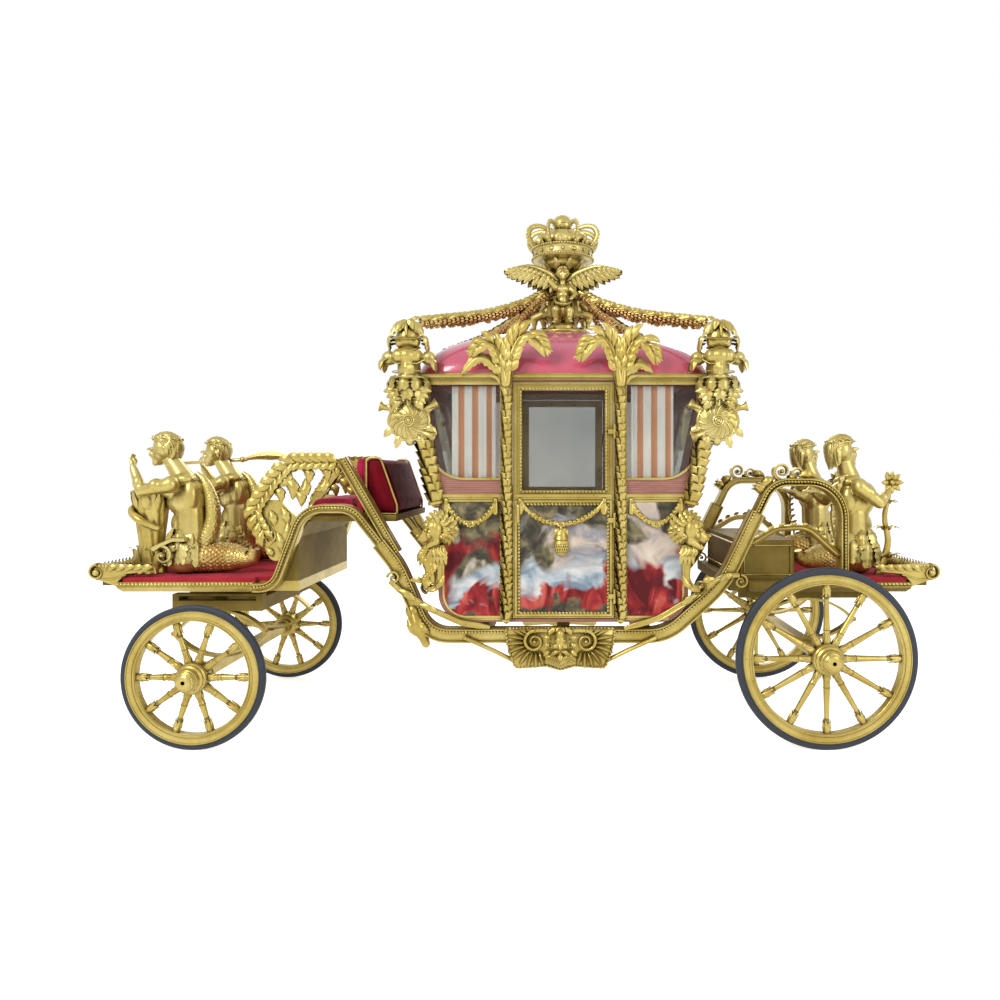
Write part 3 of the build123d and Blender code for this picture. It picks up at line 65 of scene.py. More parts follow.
# Places read from the frame
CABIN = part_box("cabin_side_left")
CABIN_X = (CABIN[0].x + CABIN[1].x) / 2
CABIN_Y = -CABIN[0].y
CABIN_TOP = CABIN[1].z
CARPET_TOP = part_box("rear_carpet")[1].z
BEAM_IN = -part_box("side_beam_left")[1].y
BEAM_OUT = -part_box("side_beam_left")[0].y
BEAM_MID = (BEAM_IN + BEAM_OUT) / 2


# Camera, light and floor

bpy.context.scene.view_settings.view_transform = "Standard"


def camera():
    """The photograph's view: an eye height of 1.68 m, with the frame shifted to the picture's own middle."""
    data = bpy.data.cameras.new("camera")
    data.sensor_width = 36
    data.lens = 27
    data.shift_x = -0.057
    data.shift_y = -0.0285
    data.clip_end = 200
    eye = bpy.data.objects.new("camera", data)
    eye.location = (0.27, -5.33, 1.68)
    eye.rotation_euler = (math.radians(90), 0, 0)
    bpy.context.scene.collection.objects.link(eye)
    bpy.context.scene.camera = eye


def background(nodes_of, links, bright, plain):
    """A strength that is bright to the camera, gloss and glass, and plain as light on the object."""
    path = nodes_of.new("ShaderNodeLightPath")
    either = nodes_of.new("ShaderNodeMath")
    either.operation = "MAXIMUM"
    links.new(path.outputs["Is Camera Ray"], either.inputs[0])
    links.new(path.outputs["Is Glossy Ray"], either.inputs[1])
    seen = nodes_of.new("ShaderNodeMath")
    seen.operation = "MAXIMUM"
    links.new(either.outputs[0], seen.inputs[0])
    links.new(path.outputs["Is Transmission Ray"], seen.inputs[1])
    level = nodes_of.new("ShaderNodeMapRange")
    level.inputs["To Min"].default_value = plain
    level.inputs["To Max"].default_value = bright
    links.new(seen.outputs[0], level.inputs["Value"])
    return level.outputs["Result"]


def world():
    """A plain white studio that lights the object less than it shows."""
    sky = bpy.data.worlds.new("studio")
    sky.use_nodes = True
    bpy.context.scene.world = sky
    shade = sky.node_tree.nodes["Background"]
    shade.inputs["Color"].default_value = (1, 1, 1, 1)
    strength = background(sky.node_tree.nodes, sky.node_tree.links, bright=1.0, plain=0.42)
    sky.node_tree.links.new(strength, shade.inputs["Strength"])


def lamps():
    """Three soft lamps."""
    table = (
        # name, place, aim, size, watts
        ("key", (-4.5, -6.5, 6.5), (0, 0, 1.2), 3.2, 470),
        ("fill", (5.5, -5.0, 3.5), (0.3, 0, 1.2), 4.0, 150),
        ("back", (1.5, 7.0, 6.0), (0, 0, 1.4), 5.0, 340),
    )
    for name, place, aim, size, watts in table:
        data = bpy.data.lights.new(name, "AREA")
        data.size = size
        data.energy = watts
        lamp = bpy.data.objects.new(name, data)
        lamp.location = place
        lamp.rotation_euler = (Vector(aim) - Vector(place)).to_track_quat("-Z", "Y").to_euler()
        bpy.context.scene.collection.objects.link(lamp)


def floor():
    """A pale ground that takes shadows and fades into the white behind it."""
    half = 60
    mesh = bpy.data.meshes.new("floor")
    mesh.from_pydata([(-half, -half, 0), (half, -half, 0), (half, half, 0), (-half, half, 0)], [],
                     [(0, 1, 2, 3)])
    ground = bpy.data.objects.new("floor", mesh)
    bpy.context.scene.collection.objects.link(ground)
    paint = bpy.data.materials.new("floor")
    paint.use_nodes = True
    shade = paint.node_tree.nodes["Principled BSDF"]
    shade.inputs["Base Color"].default_value = (0.9, 0.9, 0.9, 1)
    shade.inputs["Roughness"].default_value = 0.9
    glow = background(paint.node_tree.nodes, paint.node_tree.links, bright=0.72, plain=0.0)
    shade.inputs["Emission Color"].default_value = (1, 1, 1, 1)
    paint.node_tree.links.new(glow, shade.inputs["Emission Strength"])
    mesh.materials.append(paint)


# Materials

class Paint:
    """A node material, built with short calls."""

    def __init__(self, name, roughness=0.5, metallic=0.0, **sockets):
        self.material = bpy.data.materials.new(name)
        self.material.use_nodes = True
        self.nodes = self.material.node_tree.nodes
        self.links = self.material.node_tree.links
        self.shader = self.nodes["Principled BSDF"]
        self.shader.inputs["Roughness"].default_value = roughness
        self.shader.inputs["Metallic"].default_value = metallic
        for key, value in sockets.items():
            self.shader.inputs[key.replace("_", " ")].default_value = value
        self.place = self.nodes.new("ShaderNodeTexCoord").outputs["Object"]

    def add(self, kind, inputs=(), **settings):
        node = self.nodes.new("ShaderNode" + kind)
        for key, value in settings.items():
            setattr(node, key, value)
        for key, value in dict(inputs).items():
            self.feed(node.inputs[key], value)
        return node

    def feed(self, socket, value):
        if isinstance(value, bpy.types.NodeSocket):
            self.links.new(value, socket)
        else:
            socket.default_value = value

    def noise(self, scale, detail=4, roughness=0.55, stretch=(1, 1, 1), distortion=0.0):
        spot = self.place
        if stretch != (1, 1, 1):
            spot = self.add("Mapping", {"Vector": self.place, "Scale": stretch}).outputs["Vector"]
        return self.add("TexNoise", {"Vector": spot, "Scale": scale, "Detail": detail, "Roughness": roughness,
                                     "Distortion": distortion}).outputs["Fac"]

    def ramp(self, value, *stops, interpolation="LINEAR"):
        ramp = self.add("ValToRGB", {"Fac": value})
        ramp.color_ramp.interpolation = interpolation
        first, last = ramp.color_ramp.elements
        first.position, last.position = stops[0][0], stops[-1][0]
        first.color, last.color = (*stops[0][1], 1), (*stops[-1][1], 1)
        for position, colour in stops[1:-1]:
            ramp.color_ramp.elements.new(position).color = (*colour, 1)
        return ramp.outputs["Color"]

    def mix(self, factor, a, b):
        node = self.add("Mix", data_type="RGBA")
        self.feed(node.inputs["Factor"], factor)
        for socket, value in ((node.inputs[6], a), (node.inputs[7], b)):
            self.feed(socket, value if isinstance(value, bpy.types.NodeSocket) else (*value, 1))
        return node.outputs[2]

    def math(self, operation, a, b=0.0):
        node = self.add("Math", operation=operation)
        self.feed(node.inputs[0], a)
        self.feed(node.inputs[1], b)
        return node.outputs[0]

    def span(self, value, low, high, to_low=0.0, to_high=1.0):
        return self.add("MapRange", {"Value": value, "From Min": low, "From Max": high, "To Min": to_low,
                                     "To Max": to_high}).outputs["Result"]

    def colour(self, value):
        self.feed(self.shader.inputs["Base Color"], value)

    def rough(self, value):
        self.feed(self.shader.inputs["Roughness"], value)

    def bump(self, height, strength, distance):
        node = self.add("Bump", {"Height": height, "Strength": strength, "Distance": distance})
        self.links.new(node.outputs["Normal"], self.shader.inputs["Normal"])

    def painted_shade_mask(self, distance, low=0.35, high=0.95):
        """A mask for painted shade: 1 in hollows, 0 on open faces."""
        shade = self.add("AmbientOcclusion", {"Distance": distance}, samples=6)
        return self.span(shade.outputs["AO"], low, high, 1.0, 0.0)


def gold(name, light, deep, hollow_shade, tint=None, metallic=0.68, gloss=0.5):
    """Brushed gold paint: light on the faces, deep where it thins, and hollow_shade painted as shade in the
    carving's hollows.
    """
    paint = Paint(name, roughness=0.34, metallic=metallic, Specular_IOR_Level=gloss)
    broad = paint.noise(4.5, 5, 0.6)
    fine = paint.noise(46, 4, 0.62)
    face = paint.mix(paint.span(broad, 0.36, 0.66), light, deep)
    if tint:
        face = paint.mix(paint.span(paint.noise(2.3, 3), 0.52, 0.72), face, tint)
    face = paint.mix(paint.span(fine, 0.5, 0.78, 0.0, 0.35), face, deep)
    # Painted shade: ambient occlusion darkens the hollows towards the hollow_shade colour.
    paint.colour(paint.mix(paint.painted_shade_mask(0.032, 0.22, 0.88), face, hollow_shade))
    paint.rough(paint.span(fine, 0.3, 0.75, 0.25, 0.44) if gloss > 0.3
                else paint.span(fine, 0.3, 0.75, 0.55, 0.72))
    paint.bump(paint.add("Mix", {"Factor": 0.35, "A": paint.noise(120, 3),
                                 "B": paint.noise(26, 3)}).outputs[0], 0.35, 0.0012)
    return paint.material


def roof_paint():
    """Glossy crimson that pales towards the top of the dome."""
    paint = Paint("roof_paint", roughness=0.22, Coat_Weight=0.7, Coat_Roughness=0.08)
    height = paint.add("SeparateXYZ", {"Vector": paint.place}).outputs["Z"]
    face = paint.ramp(paint.span(height, 2.28, 2.66), (0.0, (0.60, 0.075, 0.12)), (0.45, (0.60, 0.11, 0.19)),
                      (1.0, (0.62, 0.19, 0.30)))
    paint.colour(paint.mix(paint.span(paint.noise(7, 4), 0.4, 0.7, 0.0, 0.25), face, (0.50, 0.07, 0.12)))
    paint.rough(paint.span(paint.noise(30, 3), 0.3, 0.7, 0.18, 0.3))
    paint.bump(paint.noise(60, 2), 0.05, 0.001)
    return paint.material


def striped_wood():
    """Thin horizontal reeds of red-brown wood with pale lines between."""
    paint = Paint("striped_wood", roughness=0.42)
    height = paint.add("SeparateXYZ", {"Vector": paint.place}).outputs["Z"]
    reed = paint.math("FRACT", paint.math("MULTIPLY", height, 1 / 0.0115))
    line = paint.span(paint.math("ABSOLUTE", paint.math("SUBTRACT", reed, 0.5)), 0.36, 0.48)
    grain = paint.noise(9, 6, 0.6, stretch=(1, 1, 26))
    wood = paint.ramp(grain, (0.3, (0.17, 0.055, 0.035)), (0.5, (0.30, 0.11, 0.075)),
                      (0.72, (0.40, 0.17, 0.12)))
    paint.colour(paint.mix(line, wood, (0.50, 0.30, 0.26)))
    paint.bump(paint.math("SUBTRACT", grain, line), 0.3, 0.0008)
    return paint.material


def carpet(name, light, dark):
    """A short rough pile."""
    paint = Paint(name, roughness=0.95, Sheen_Weight=0.06, Sheen_Roughness=0.5, Specular_IOR_Level=0.1)
    pile = paint.noise(420, 2)
    face = paint.mix(paint.span(paint.noise(6, 4), 0.35, 0.7), light, dark)
    paint.colour(paint.mix(paint.span(pile, 0.45, 0.7, 0.0, 0.5), face, dark))
    paint.bump(pile, 0.8, 0.003)
    return paint.material


def velvet(name, light, dark):
    """Soft cloth with a faint sheen."""
    paint = Paint(name, roughness=0.7, Sheen_Weight=0.2, Sheen_Roughness=0.35, Specular_IOR_Level=0.2)
    paint.colour(paint.mix(paint.span(paint.noise(14, 5), 0.35, 0.68), light, dark))
    paint.bump(paint.noise(300, 3), 0.35, 0.0012)
    return paint.material


def hide(name, light, dark):
    """Polished leather cloth with a fine grain."""
    paint = Paint(name, roughness=0.6, Specular_IOR_Level=0.08)
    grain = paint.add("TexVoronoi", {"Vector": paint.place, "Scale": 210}).outputs["Distance"]
    paint.colour(paint.mix(paint.span(paint.noise(5, 4, distortion=0.6), 0.35, 0.7), light, dark))
    paint.rough(paint.span(paint.noise(24, 3), 0.3, 0.7, 0.52, 0.68))
    paint.bump(grain, 0.25, 0.0008)
    return paint.material


def rubber():
    """Dusty blue-black tyre rubber."""
    paint = Paint("tyre_rubber", roughness=0.62)
    dust = paint.noise(16, 5)
    paint.colour(paint.ramp(dust, (0.35, (0.012, 0.016, 0.026)), (0.75, (0.035, 0.042, 0.055))))
    paint.rough(paint.span(dust, 0.3, 0.75, 0.5, 0.75))
    paint.bump(paint.noise(180, 3), 0.3, 0.0008)
    return paint.material


def window_glass():
    """Clear thin glass with a little grey."""
    paint = Paint("window_glass", roughness=0.03, Transmission_Weight=0.96, IOR=1.08, Specular_IOR_Level=0.4)
    paint.colour(paint.mix(paint.span(paint.noise(1.6, 3), 0.35, 0.7), (0.62, 0.62, 0.59),
                           (0.50, 0.51, 0.50)))
    return paint.material


def curtain_cloth():
    """Pale cloth with broad orange-brown stripes that follow the folds. It glows faintly in its own colours,
    as painted sunlight.
    """
    paint = Paint("curtain_cloth", roughness=0.85, Sheen_Weight=0.1, Emission_Strength=0.3)
    along = paint.add("Attribute", attribute_name="across", attribute_type="GEOMETRY").outputs["Fac"]
    stripe = paint.math("FRACT", paint.math("MULTIPLY", along, 10.5))
    edge = paint.math("ADD", stripe, paint.span(paint.noise(90, 3), 0, 1, -0.04, 0.04))
    band = paint.ramp(edge, (0.0, (0.90, 0.88, 0.84)), (0.44, (0.90, 0.88, 0.84)), (0.48, (0.62, 0.25, 0.11)),
                      (0.86, (0.70, 0.33, 0.16)), (0.90, (0.86, 0.80, 0.74)), (1.0, (0.90, 0.88, 0.84)))
    paint.colour(band)
    # Painted light: the stripes also glow at strength 0.3, as if sunlit.
    paint.feed(paint.shader.inputs["Emission Color"], band)
    paint.bump(paint.noise(500, 2), 0.3, 0.0006)
    return paint.material


def cloth(name, light, dark):
    """Woven seat cloth."""
    paint = Paint(name, roughness=0.85, Sheen_Weight=0.4)
    weave = paint.add("TexWave", {"Vector": paint.place, "Scale": 120, "Distortion": 1.5,
                                  "Detail": 2}).outputs["Fac"]
    paint.colour(paint.mix(paint.span(paint.noise(12, 4), 0.35, 0.7), light, dark))
    paint.bump(weave, 0.3, 0.0006)
    return paint.material


def painting(name, seed, hem, drapes=0.44):
    """A painted panel of soft clouds, dark trees, a red drape and a pale cloth. It shows no figures."""
    paint = Paint(name, roughness=0.45, Specular_IOR_Level=0.15)
    spot = paint.add("Mapping", {"Vector": paint.place,
                                 "Location": (seed * 1.7, 0, seed * 0.9)}).outputs["Vector"]

    def field(scale, detail, distortion, stretch=(1, 1, 1)):
        where = paint.add("Mapping", {"Vector": spot, "Scale": stretch}).outputs["Vector"]
        return paint.add("TexNoise", {"Vector": where, "Scale": scale, "Detail": detail, "Roughness": 0.55,
                                      "Distortion": distortion}).outputs["Fac"]

    height = paint.add("SeparateXYZ", {"Vector": paint.place}).outputs["Z"]
    wander = paint.span(field(3.4, 3, 0.8), 0.3, 0.7, -0.13, 0.13)
    level = paint.math("ADD", height, wander)
    sky = paint.ramp(field(3.4, 4, 0.9), (0.36, (0.17, 0.18, 0.22)), (0.46, (0.34, 0.33, 0.35)),
                     (0.55, (0.66, 0.54, 0.44)), (0.68, (0.82, 0.72, 0.60)))
    trees = paint.ramp(field(10, 6, 0.8), (0.36, (0.035, 0.035, 0.030)), (0.5, (0.10, 0.085, 0.055)),
                       (0.6, (0.20, 0.18, 0.09)), (0.7, (0.36, 0.27, 0.16)))
    drape = paint.ramp(field(5, 2, 1.5, (1.5, 1, 0.7)), (0.34, (0.10, 0.006, 0.010)),
                       (0.47, (0.30, 0.020, 0.025)), (0.57, (0.50, 0.055, 0.050)),
                       (0.72, (0.66, 0.17, 0.12)))
    linen = paint.ramp(field(4.4, 3, 1.4, (0.8, 1, 1.5)), (0.36, (0.22, 0.30, 0.38)),
                       (0.5, (0.50, 0.58, 0.62)), (0.66, (0.80, 0.78, 0.74)))
    face = paint.mix(paint.span(field(2.6, 4, 0.9), 0.47, 0.53), sky, trees)
    face = paint.mix(paint.span(level, hem + 0.36, hem + 0.26), face, linen)
    fold = paint.math("MULTIPLY", paint.span(field(2.1, 3, 0.7), drapes, drapes + 0.06),
                      paint.span(level, hem + 0.50, hem + 0.44))
    face = paint.mix(fold, face, drape)
    face = paint.mix(paint.span(level, hem + 0.17, hem + 0.13), face, drape)
    face = paint.mix(paint.span(level, hem + 0.05, hem + 0.02), face, trees)
    paint.colour(paint.mix(paint.span(paint.noise(240, 3), 0.35, 0.75, 0.0, 0.18), face, (0.10, 0.07, 0.05)))
    paint.bump(field(60, 4, 0.5), 0.15, 0.0006)
    return paint.material


# The third colour of each gold is the painted shade in its carving's hollows.
LIGHT_GOLD, DEEP_GOLD, GOLD_HOLLOW_SHADE = (0.56, 0.445, 0.135), (0.40, 0.285, 0.055), (0.10, 0.060, 0.008)
GOLD = gold("gold_paint", LIGHT_GOLD, DEEP_GOLD, GOLD_HOLLOW_SHADE)
PALE_GOLD = gold("pale_gold", (0.60, 0.50, 0.19), (0.44, 0.335, 0.085), (0.11, 0.070, 0.012),
                 tint=(0.52, 0.41, 0.11))
TAIL_GOLD = gold("tail_gold", (0.58, 0.455, 0.16), (0.42, 0.28, 0.065), (0.14, 0.065, 0.010),
                 tint=(0.46, 0.25, 0.06))
BRONZE = gold("garland_bronze", (0.56, 0.38, 0.13), (0.36, 0.20, 0.06), (0.11, 0.05, 0.012),
              tint=(0.52, 0.23, 0.10))
# The plain boards' gold, darkened as painted shade because their faces stand in shade.
SHADED_BOARD_GOLD = gold("shaded_board_gold", (0.27, 0.195, 0.042), (0.19, 0.130, 0.026), (0.07, 0.042, 0.006),
                  metallic=0.2, gloss=0.2)
ROOF = roof_paint()
WOOD = striped_wood()
CARPET = carpet("red_carpet", (0.56, 0.035, 0.060), (0.36, 0.014, 0.030))
CRIMSON = velvet("crimson_velvet", (0.56, 0.020, 0.085), (0.34, 0.008, 0.040))
MAROON = hide("maroon_hide", (0.20, 0.004, 0.012), (0.095, 0.002, 0.006))
RUBBER = rubber()
GLASS = window_glass()
CURTAIN = curtain_cloth()
SEAT_CLOTH = cloth("seat_cloth", (0.45, 0.10, 0.09), (0.28, 0.05, 0.05))
PAINTINGS = [painting(f"painted_panel_{n}", 1.3 + 2.1 * n, 0.775, bar)
             for n, bar in enumerate((0.46, 0.56, 0.54))]

SLOT_PAINTS = {"gold_paint": GOLD, "roof_red": ROOF, "striped_wood": WOOD, "tyre": RUBBER, "glass": GLASS,
               "carpet": CARPET, "crimson": CRIMSON, "maroon": MAROON, "cabin_cloth": SEAT_CLOTH}
# The plain boards, which take the gold darkened as painted shade.
BOARDS = ("rear_box", "front_box", "rear_deck", "rear_sills", "fore_frame", "perch_bars", "cabin_benches",
          "driver_seat_base", "cabin_floor")


def paint_nodes():
    """Gives every solid of the frame the paint of its slot, or the plain boards a gold darkened as painted
    shade.
    """
    for name, node in nodes.items():
        node.data.materials.clear()
        node.data.materials.append(SHADED_BOARD_GOLD if name in BOARDS else SLOT_PAINTS[slots[name]])


# Drawing tools

def vec(*values):
    """The numbers as an array."""
    return np.array(values, float)


def unit(v):
    """A direction, or rows of them, at length 1."""
    v = np.asarray(v, float)
    return v / np.maximum(np.linalg.norm(v, axis=-1, keepdims=True), 1e-12)


def resample(path, count):
    """The path as count evenly spaced places."""
    path = np.asarray(path, float)
    along = np.concatenate([[0], np.cumsum(np.linalg.norm(np.diff(path, axis=0), axis=1))])
    places = np.linspace(0, along[-1], count)
    return np.stack([np.interp(places, along, path[:, k]) for k in range(path.shape[1])], 1)


def length_of(path):
    """The length of a path."""
    return float(np.linalg.norm(np.diff(np.asarray(path, float), axis=0), axis=1).sum())


def curve(points, count):
    """A smooth line through the points, as count evenly spaced places."""
    p = np.asarray(points, float)
    p = np.vstack([2 * p[0] - p[1], p, 2 * p[-1] - p[-2]])
    t = np.linspace(0, 1, 12, endpoint=False)[:, None]
    out = []
    for a, b, c, d in zip(p, p[1:], p[2:], p[3:]):
        out.append(0.5 * (2 * b + (c - a) * t + (2 * a - 5 * b + 4 * c - d) * t ** 2
                          + (3 * b - a - 3 * c + d) * t ** 3))
    return resample(np.vstack(out + [p[-2:-1]]), count)


def bend(a, b, c, radius, steps=8):
    """The round that takes the corner b off the lines from a to b and from b to c."""
    u, v = unit(a - b), unit(c - b)
    half = math.acos(max(-1, min(1, float(u @ v)))) / 2
    reach = radius / math.tan(half)
    middle = b + unit(u + v) * radius / math.sin(half)
    start, end = b + u * reach - middle, b + v * reach - middle
    angle = math.pi - 2 * half
    out = []
    for n in range(steps + 1):
        t = n / steps
        out.append(middle + (start * math.sin((1 - t) * angle) + end * math.sin(t * angle)) / math.sin(angle))
    return out


def rounded(points, radii, step=0.012):
    """A chain of straight lines with its corners rounded."""
    p = [np.asarray(q, float) for q in points]
    out = [p[0]]
    for (a, b, c), radius in zip(zip(p, p[1:], p[2:]), radii):
        out += bend(a, b, c, radius)
    out.append(p[-1])
    return resample(out, max(3, int(length_of(out) / step)))


def spiral(centre, radius, turns, start, hand=1, inner=0.16, count=36, y=0.0):
    """A volute's line in an upright plane: it starts at the given angle in degrees and winds inwards."""
    t = np.linspace(0, 1, count)
    angle = math.radians(start) + hand * t * turns * 2 * math.pi
    r = radius * (1 - t * (1 - inner))
    return np.stack([centre[0] + r * np.cos(angle), np.full(count, y), centre[1] + r * np.sin(angle)], 1)


def at_y(points, y):
    """Places in x and z, set in the upright plane at y."""
    return [(x, y, z) for x, z in points]


def axes_along(path, up=None):
    """The way along a path and two directions square to it. Without up they turn as little as they can."""
    path = np.asarray(path, float)
    t = unit(np.gradient(path, axis=0))
    if up is not None:
        side = unit(np.cross(np.asarray(up, float), t))
        return t, side, unit(np.cross(t, side))
    first = unit(np.cross(t[0], X if abs(t[0][0]) < 0.9 else Y))
    sides = [first]
    for k in range(1, len(t)):
        s = sides[-1] - t[k] * (sides[-1] @ t[k])
        sides.append(unit(s))
    side = np.array(sides)
    return t, side, unit(np.cross(t, side))


def basis(axis):
    """Two directions square to an axis, and the axis."""
    w = unit(axis)
    u = unit(np.cross(w, vec(0, 0, 1) if abs(w[2]) < 0.9 else vec(1, 0, 0)))
    return u, np.cross(w, u), w


def ring_section(sides):
    """A round section of radius 1."""
    a = np.linspace(0, 2 * math.pi, sides, endpoint=False)
    return np.stack([np.cos(a), np.sin(a)], 1)


def ray(angle):
    """The level direction at an angle from +X."""
    return vec(math.cos(angle), math.sin(angle), 0)


def level_ring(centre, radius, height, count):
    """A closed level circle of count places."""
    return [centre + vec(radius * math.cos(a), radius * math.sin(a), height)
            for a in np.linspace(0, 2 * math.pi, count)]


def upright_ring(radius, y, count):
    """A closed circle of count places round the Y axis."""
    return [(radius * math.cos(a), y, radius * math.sin(a)) for a in np.linspace(0, 2 * math.pi, count)]


def wound(outline):
    """An outline in x and z, turned so that its area is positive."""
    area = np.sum(outline[:, 0] * np.roll(outline[:, 1], -1) - np.roll(outline[:, 0], -1) * outline[:, 1])
    return outline[::-1] if area < 0 else outline


class Form:
    """The vertices and faces of one piece, gathered as it is drawn."""

    def __init__(self):
        self.verts, self.faces, self.count = [], [], 0

    def add(self, verts, faces):
        verts = np.asarray(verts, float).reshape(-1, 3)
        self.verts.append(verts)
        self.faces += [tuple(i + self.count for i in face) for face in faces]
        self.count += len(verts)
        return self

    def points(self):
        return np.vstack(self.verts)

    def join(self, other, move=None, mirror=False, scale=1.0):
        """Adds another form: scaled, mirrored across the middle plane, or moved by a matrix."""
        verts = other.points() * scale
        faces = other.faces
        if mirror:
            verts = verts * vec(1, -1, 1)
            faces = [face[::-1] for face in faces]
        if move is not None:
            m = np.array(move)
            verts = verts @ m[:3, :3].T + m[:3, 3]
            if np.linalg.det(m[:3, :3]) < 0:
                faces = [face[::-1] for face in faces]
        return self.add(verts, faces)

    def net(self, points, wrap=False, caps=(False, False)):
        """Quads over rows of points. wrap closes each row on itself; caps close the first and last row."""
        rows, columns = points.shape[:2]
        last = columns if wrap else columns - 1
        faces = []
        for i in range(rows - 1):
            for j in range(last):
                k = (j + 1) % columns
                faces.append((i * columns + j, i * columns + k, (i + 1) * columns + k, (i + 1) * columns + j))
        if caps[0]:
            faces.append(tuple(range(columns))[::-1])
        if caps[1]:
            faces.append(tuple((rows - 1) * columns + j for j in range(columns)))
        return self.add(points.reshape(-1, 3), faces)

    def sweep(self, path, section, size=1.0, up=None, twist=0.0, caps=True):
        """Carries a closed section along a path: its first coordinate is sideways, its second along up."""
        path = np.asarray(path, float)
        _, side, high = axes_along(path, up)
        n = len(path)
        size = np.broadcast_to(np.asarray(size, float), (n,))
        turn = np.linspace(0, twist * 2 * math.pi, n)[:, None]
        section = np.asarray(section, float)
        u = section[None, :, 0] * np.cos(turn) - section[None, :, 1] * np.sin(turn)
        v = section[None, :, 0] * np.sin(turn) + section[None, :, 1] * np.cos(turn)
        u, v = u * size[:, None], v * size[:, None]
        pts = path[:, None] + side[:, None] * u[..., None] + high[:, None] * v[..., None]
        return self.net(pts, wrap=True, caps=(caps, caps))

    def tube(self, path, radius, sides=8):
        """A round rod of one or several radii, with round ends."""
        path = np.asarray(path, float)
        radii = np.interp(np.linspace(0, 1, len(path)), np.linspace(0, 1, np.size(radius)), np.ravel(radius))
        t = unit(path[1] - path[0]), unit(path[-1] - path[-2])
        grow = [math.cos(math.radians(a)) for a in (75, 40)]
        reach = [math.sin(math.radians(a)) for a in (75, 40)]
        before = [path[0] - t[0] * radii[0] * r for r in reach]
        after = [path[-1] + t[1] * radii[-1] * r for r in reach[::-1]]
        path = np.vstack([before, path, after])
        radii = np.concatenate([[radii[0] * g for g in grow], radii, [radii[-1] * g for g in grow[::-1]]])
        return self.sweep(path, ring_section(sides), radii)

    def lathe(self, profile, centre=(0, 0, 0), axis=(0, 0, 1), sides=24, lobes=None):
        """Turns (radius, height) steps round an axis. lobes(angle, height share) scales the radius."""
        u, v, w = basis(axis)
        profile = np.asarray(profile, float)
        a = np.linspace(0, 2 * math.pi, sides, endpoint=False)
        r = np.repeat(profile[:, :1], sides, 1)
        if lobes:
            share = np.linspace(0, 1, len(profile))[:, None]
            r = r * lobes(a[None, :], share)
        pts = (np.asarray(centre, float) + r[..., None] * (np.cos(a)[:, None] * u + np.sin(a)[:, None] * v)
               + profile[:, 1][:, None, None] * w)
        return self.net(pts, wrap=True, caps=(True, True))

    def ball(self, centre, size, axis=(0, 0, 1), rings=7, sides=10):
        """An egg with half sizes (across, across, along the axis), or a ball of one radius."""
        size = np.broadcast_to(np.asarray(size, float), (3,))
        u, v, w = basis(axis)
        a = np.linspace(0, 2 * math.pi, sides, endpoint=False)
        h = np.linspace(-1, 1, rings + 1) * math.pi / 2 * 0.97
        girth = size[0] * np.cos(a)[:, None] * u + size[1] * np.sin(a)[:, None] * v
        height = (np.sin(h) * size[2])[:, None, None] * w
        pts = np.asarray(centre, float) + np.cos(h)[:, None, None] * girth + height
        return self.net(pts, wrap=True, caps=(True, True))

    def beads(self, path, radius, pitch, rings=4, sides=6):
        """A row of beads along a path."""
        count = max(2, int(round(length_of(path) / pitch)) + 1)
        spots = resample(path, count)
        ways = unit(np.gradient(spots, axis=0))
        for spot, way in zip(spots, ways):
            self.ball(spot, radius, way, rings, sides)
        return self

    def rope(self, path, radius, pitch=0.03, sides=9, up=None):
        """A bead twisted like a rope."""
        path = np.asarray(path, float)
        turns = length_of(path) / pitch
        path = resample(path, max(8, int(turns * 4)))
        strands = 1 + 0.28 * np.cos(np.linspace(0, 6 * math.pi, sides, endpoint=False))
        section = ring_section(sides) * strands[:, None]
        return self.sweep(path, section * radius, 1.0, up, twist=turns / 3)

    def leaf(self, spine, width, up, lobes=0, cup=0.22, rib=0.16, thick=0.10, rows=9, peak=0.42, blunt=0.55):
        """A leaf on a spine: lobed edges, a raised rib, cupped sides, and a thin solid back."""
        spine = resample(spine, rows)
        _, side, high = axes_along(spine, up)
        t = np.linspace(0, 1, rows)
        shape = np.where(t < peak, t / peak, (1 - t) / (1 - peak))
        half = width * np.clip(shape, 0, 1) ** blunt
        half[0] = max(half[0], 0.22 * width)
        half[-1] = 0.02 * width
        if lobes:
            half = half * (0.66 + 0.40 * ((t * lobes) % 1.0)) * np.where(t == 1, 0.1, 1)
        across = vec(-1, -0.52, -0.14, 0.14, 0.52, 1)
        lift = np.array([-cup, 0.0, rib, rib, 0.0, -cup]) * width
        if lobes:
            lift = lift[None] + (0.10 * width * np.cos(2 * math.pi * lobes
                                                       * t))[:, None] * np.abs(across)[None]
        else:
            lift = np.repeat(lift[None], rows, 0)
        fade = np.clip(half / width, 0.12, 1)[:, None]
        top = (spine[:, None] + side[:, None] * (half[:, None] * across)[..., None]
               + high[:, None] * (lift * fade)[..., None])
        under = top - high[:, None] * (width * thick * np.array([0.15, 1, 1.6, 1.6, 1, 0.15])
                                       * fade)[..., None]
        return self.net(np.concatenate([under, top[:, ::-1]], 1), wrap=True, caps=(True, True))

    def curved_leaf(self, points, rows, width, up, **shape):
        """A leaf on a smooth line through a few points."""
        return self.leaf(curve(points, rows), width, up, rows=rows, **shape)

    def mesh(self, name, smooth=True, angle=None):
        data = bpy.data.meshes.new(name)
        data.from_pydata(self.points().tolist(), [], self.faces)
        data.validate()
        data.polygons.foreach_set("use_smooth", [smooth] * len(data.polygons))
        if angle:
            data.set_sharp_from_angle(angle=math.radians(angle))
        data.update()
        return data

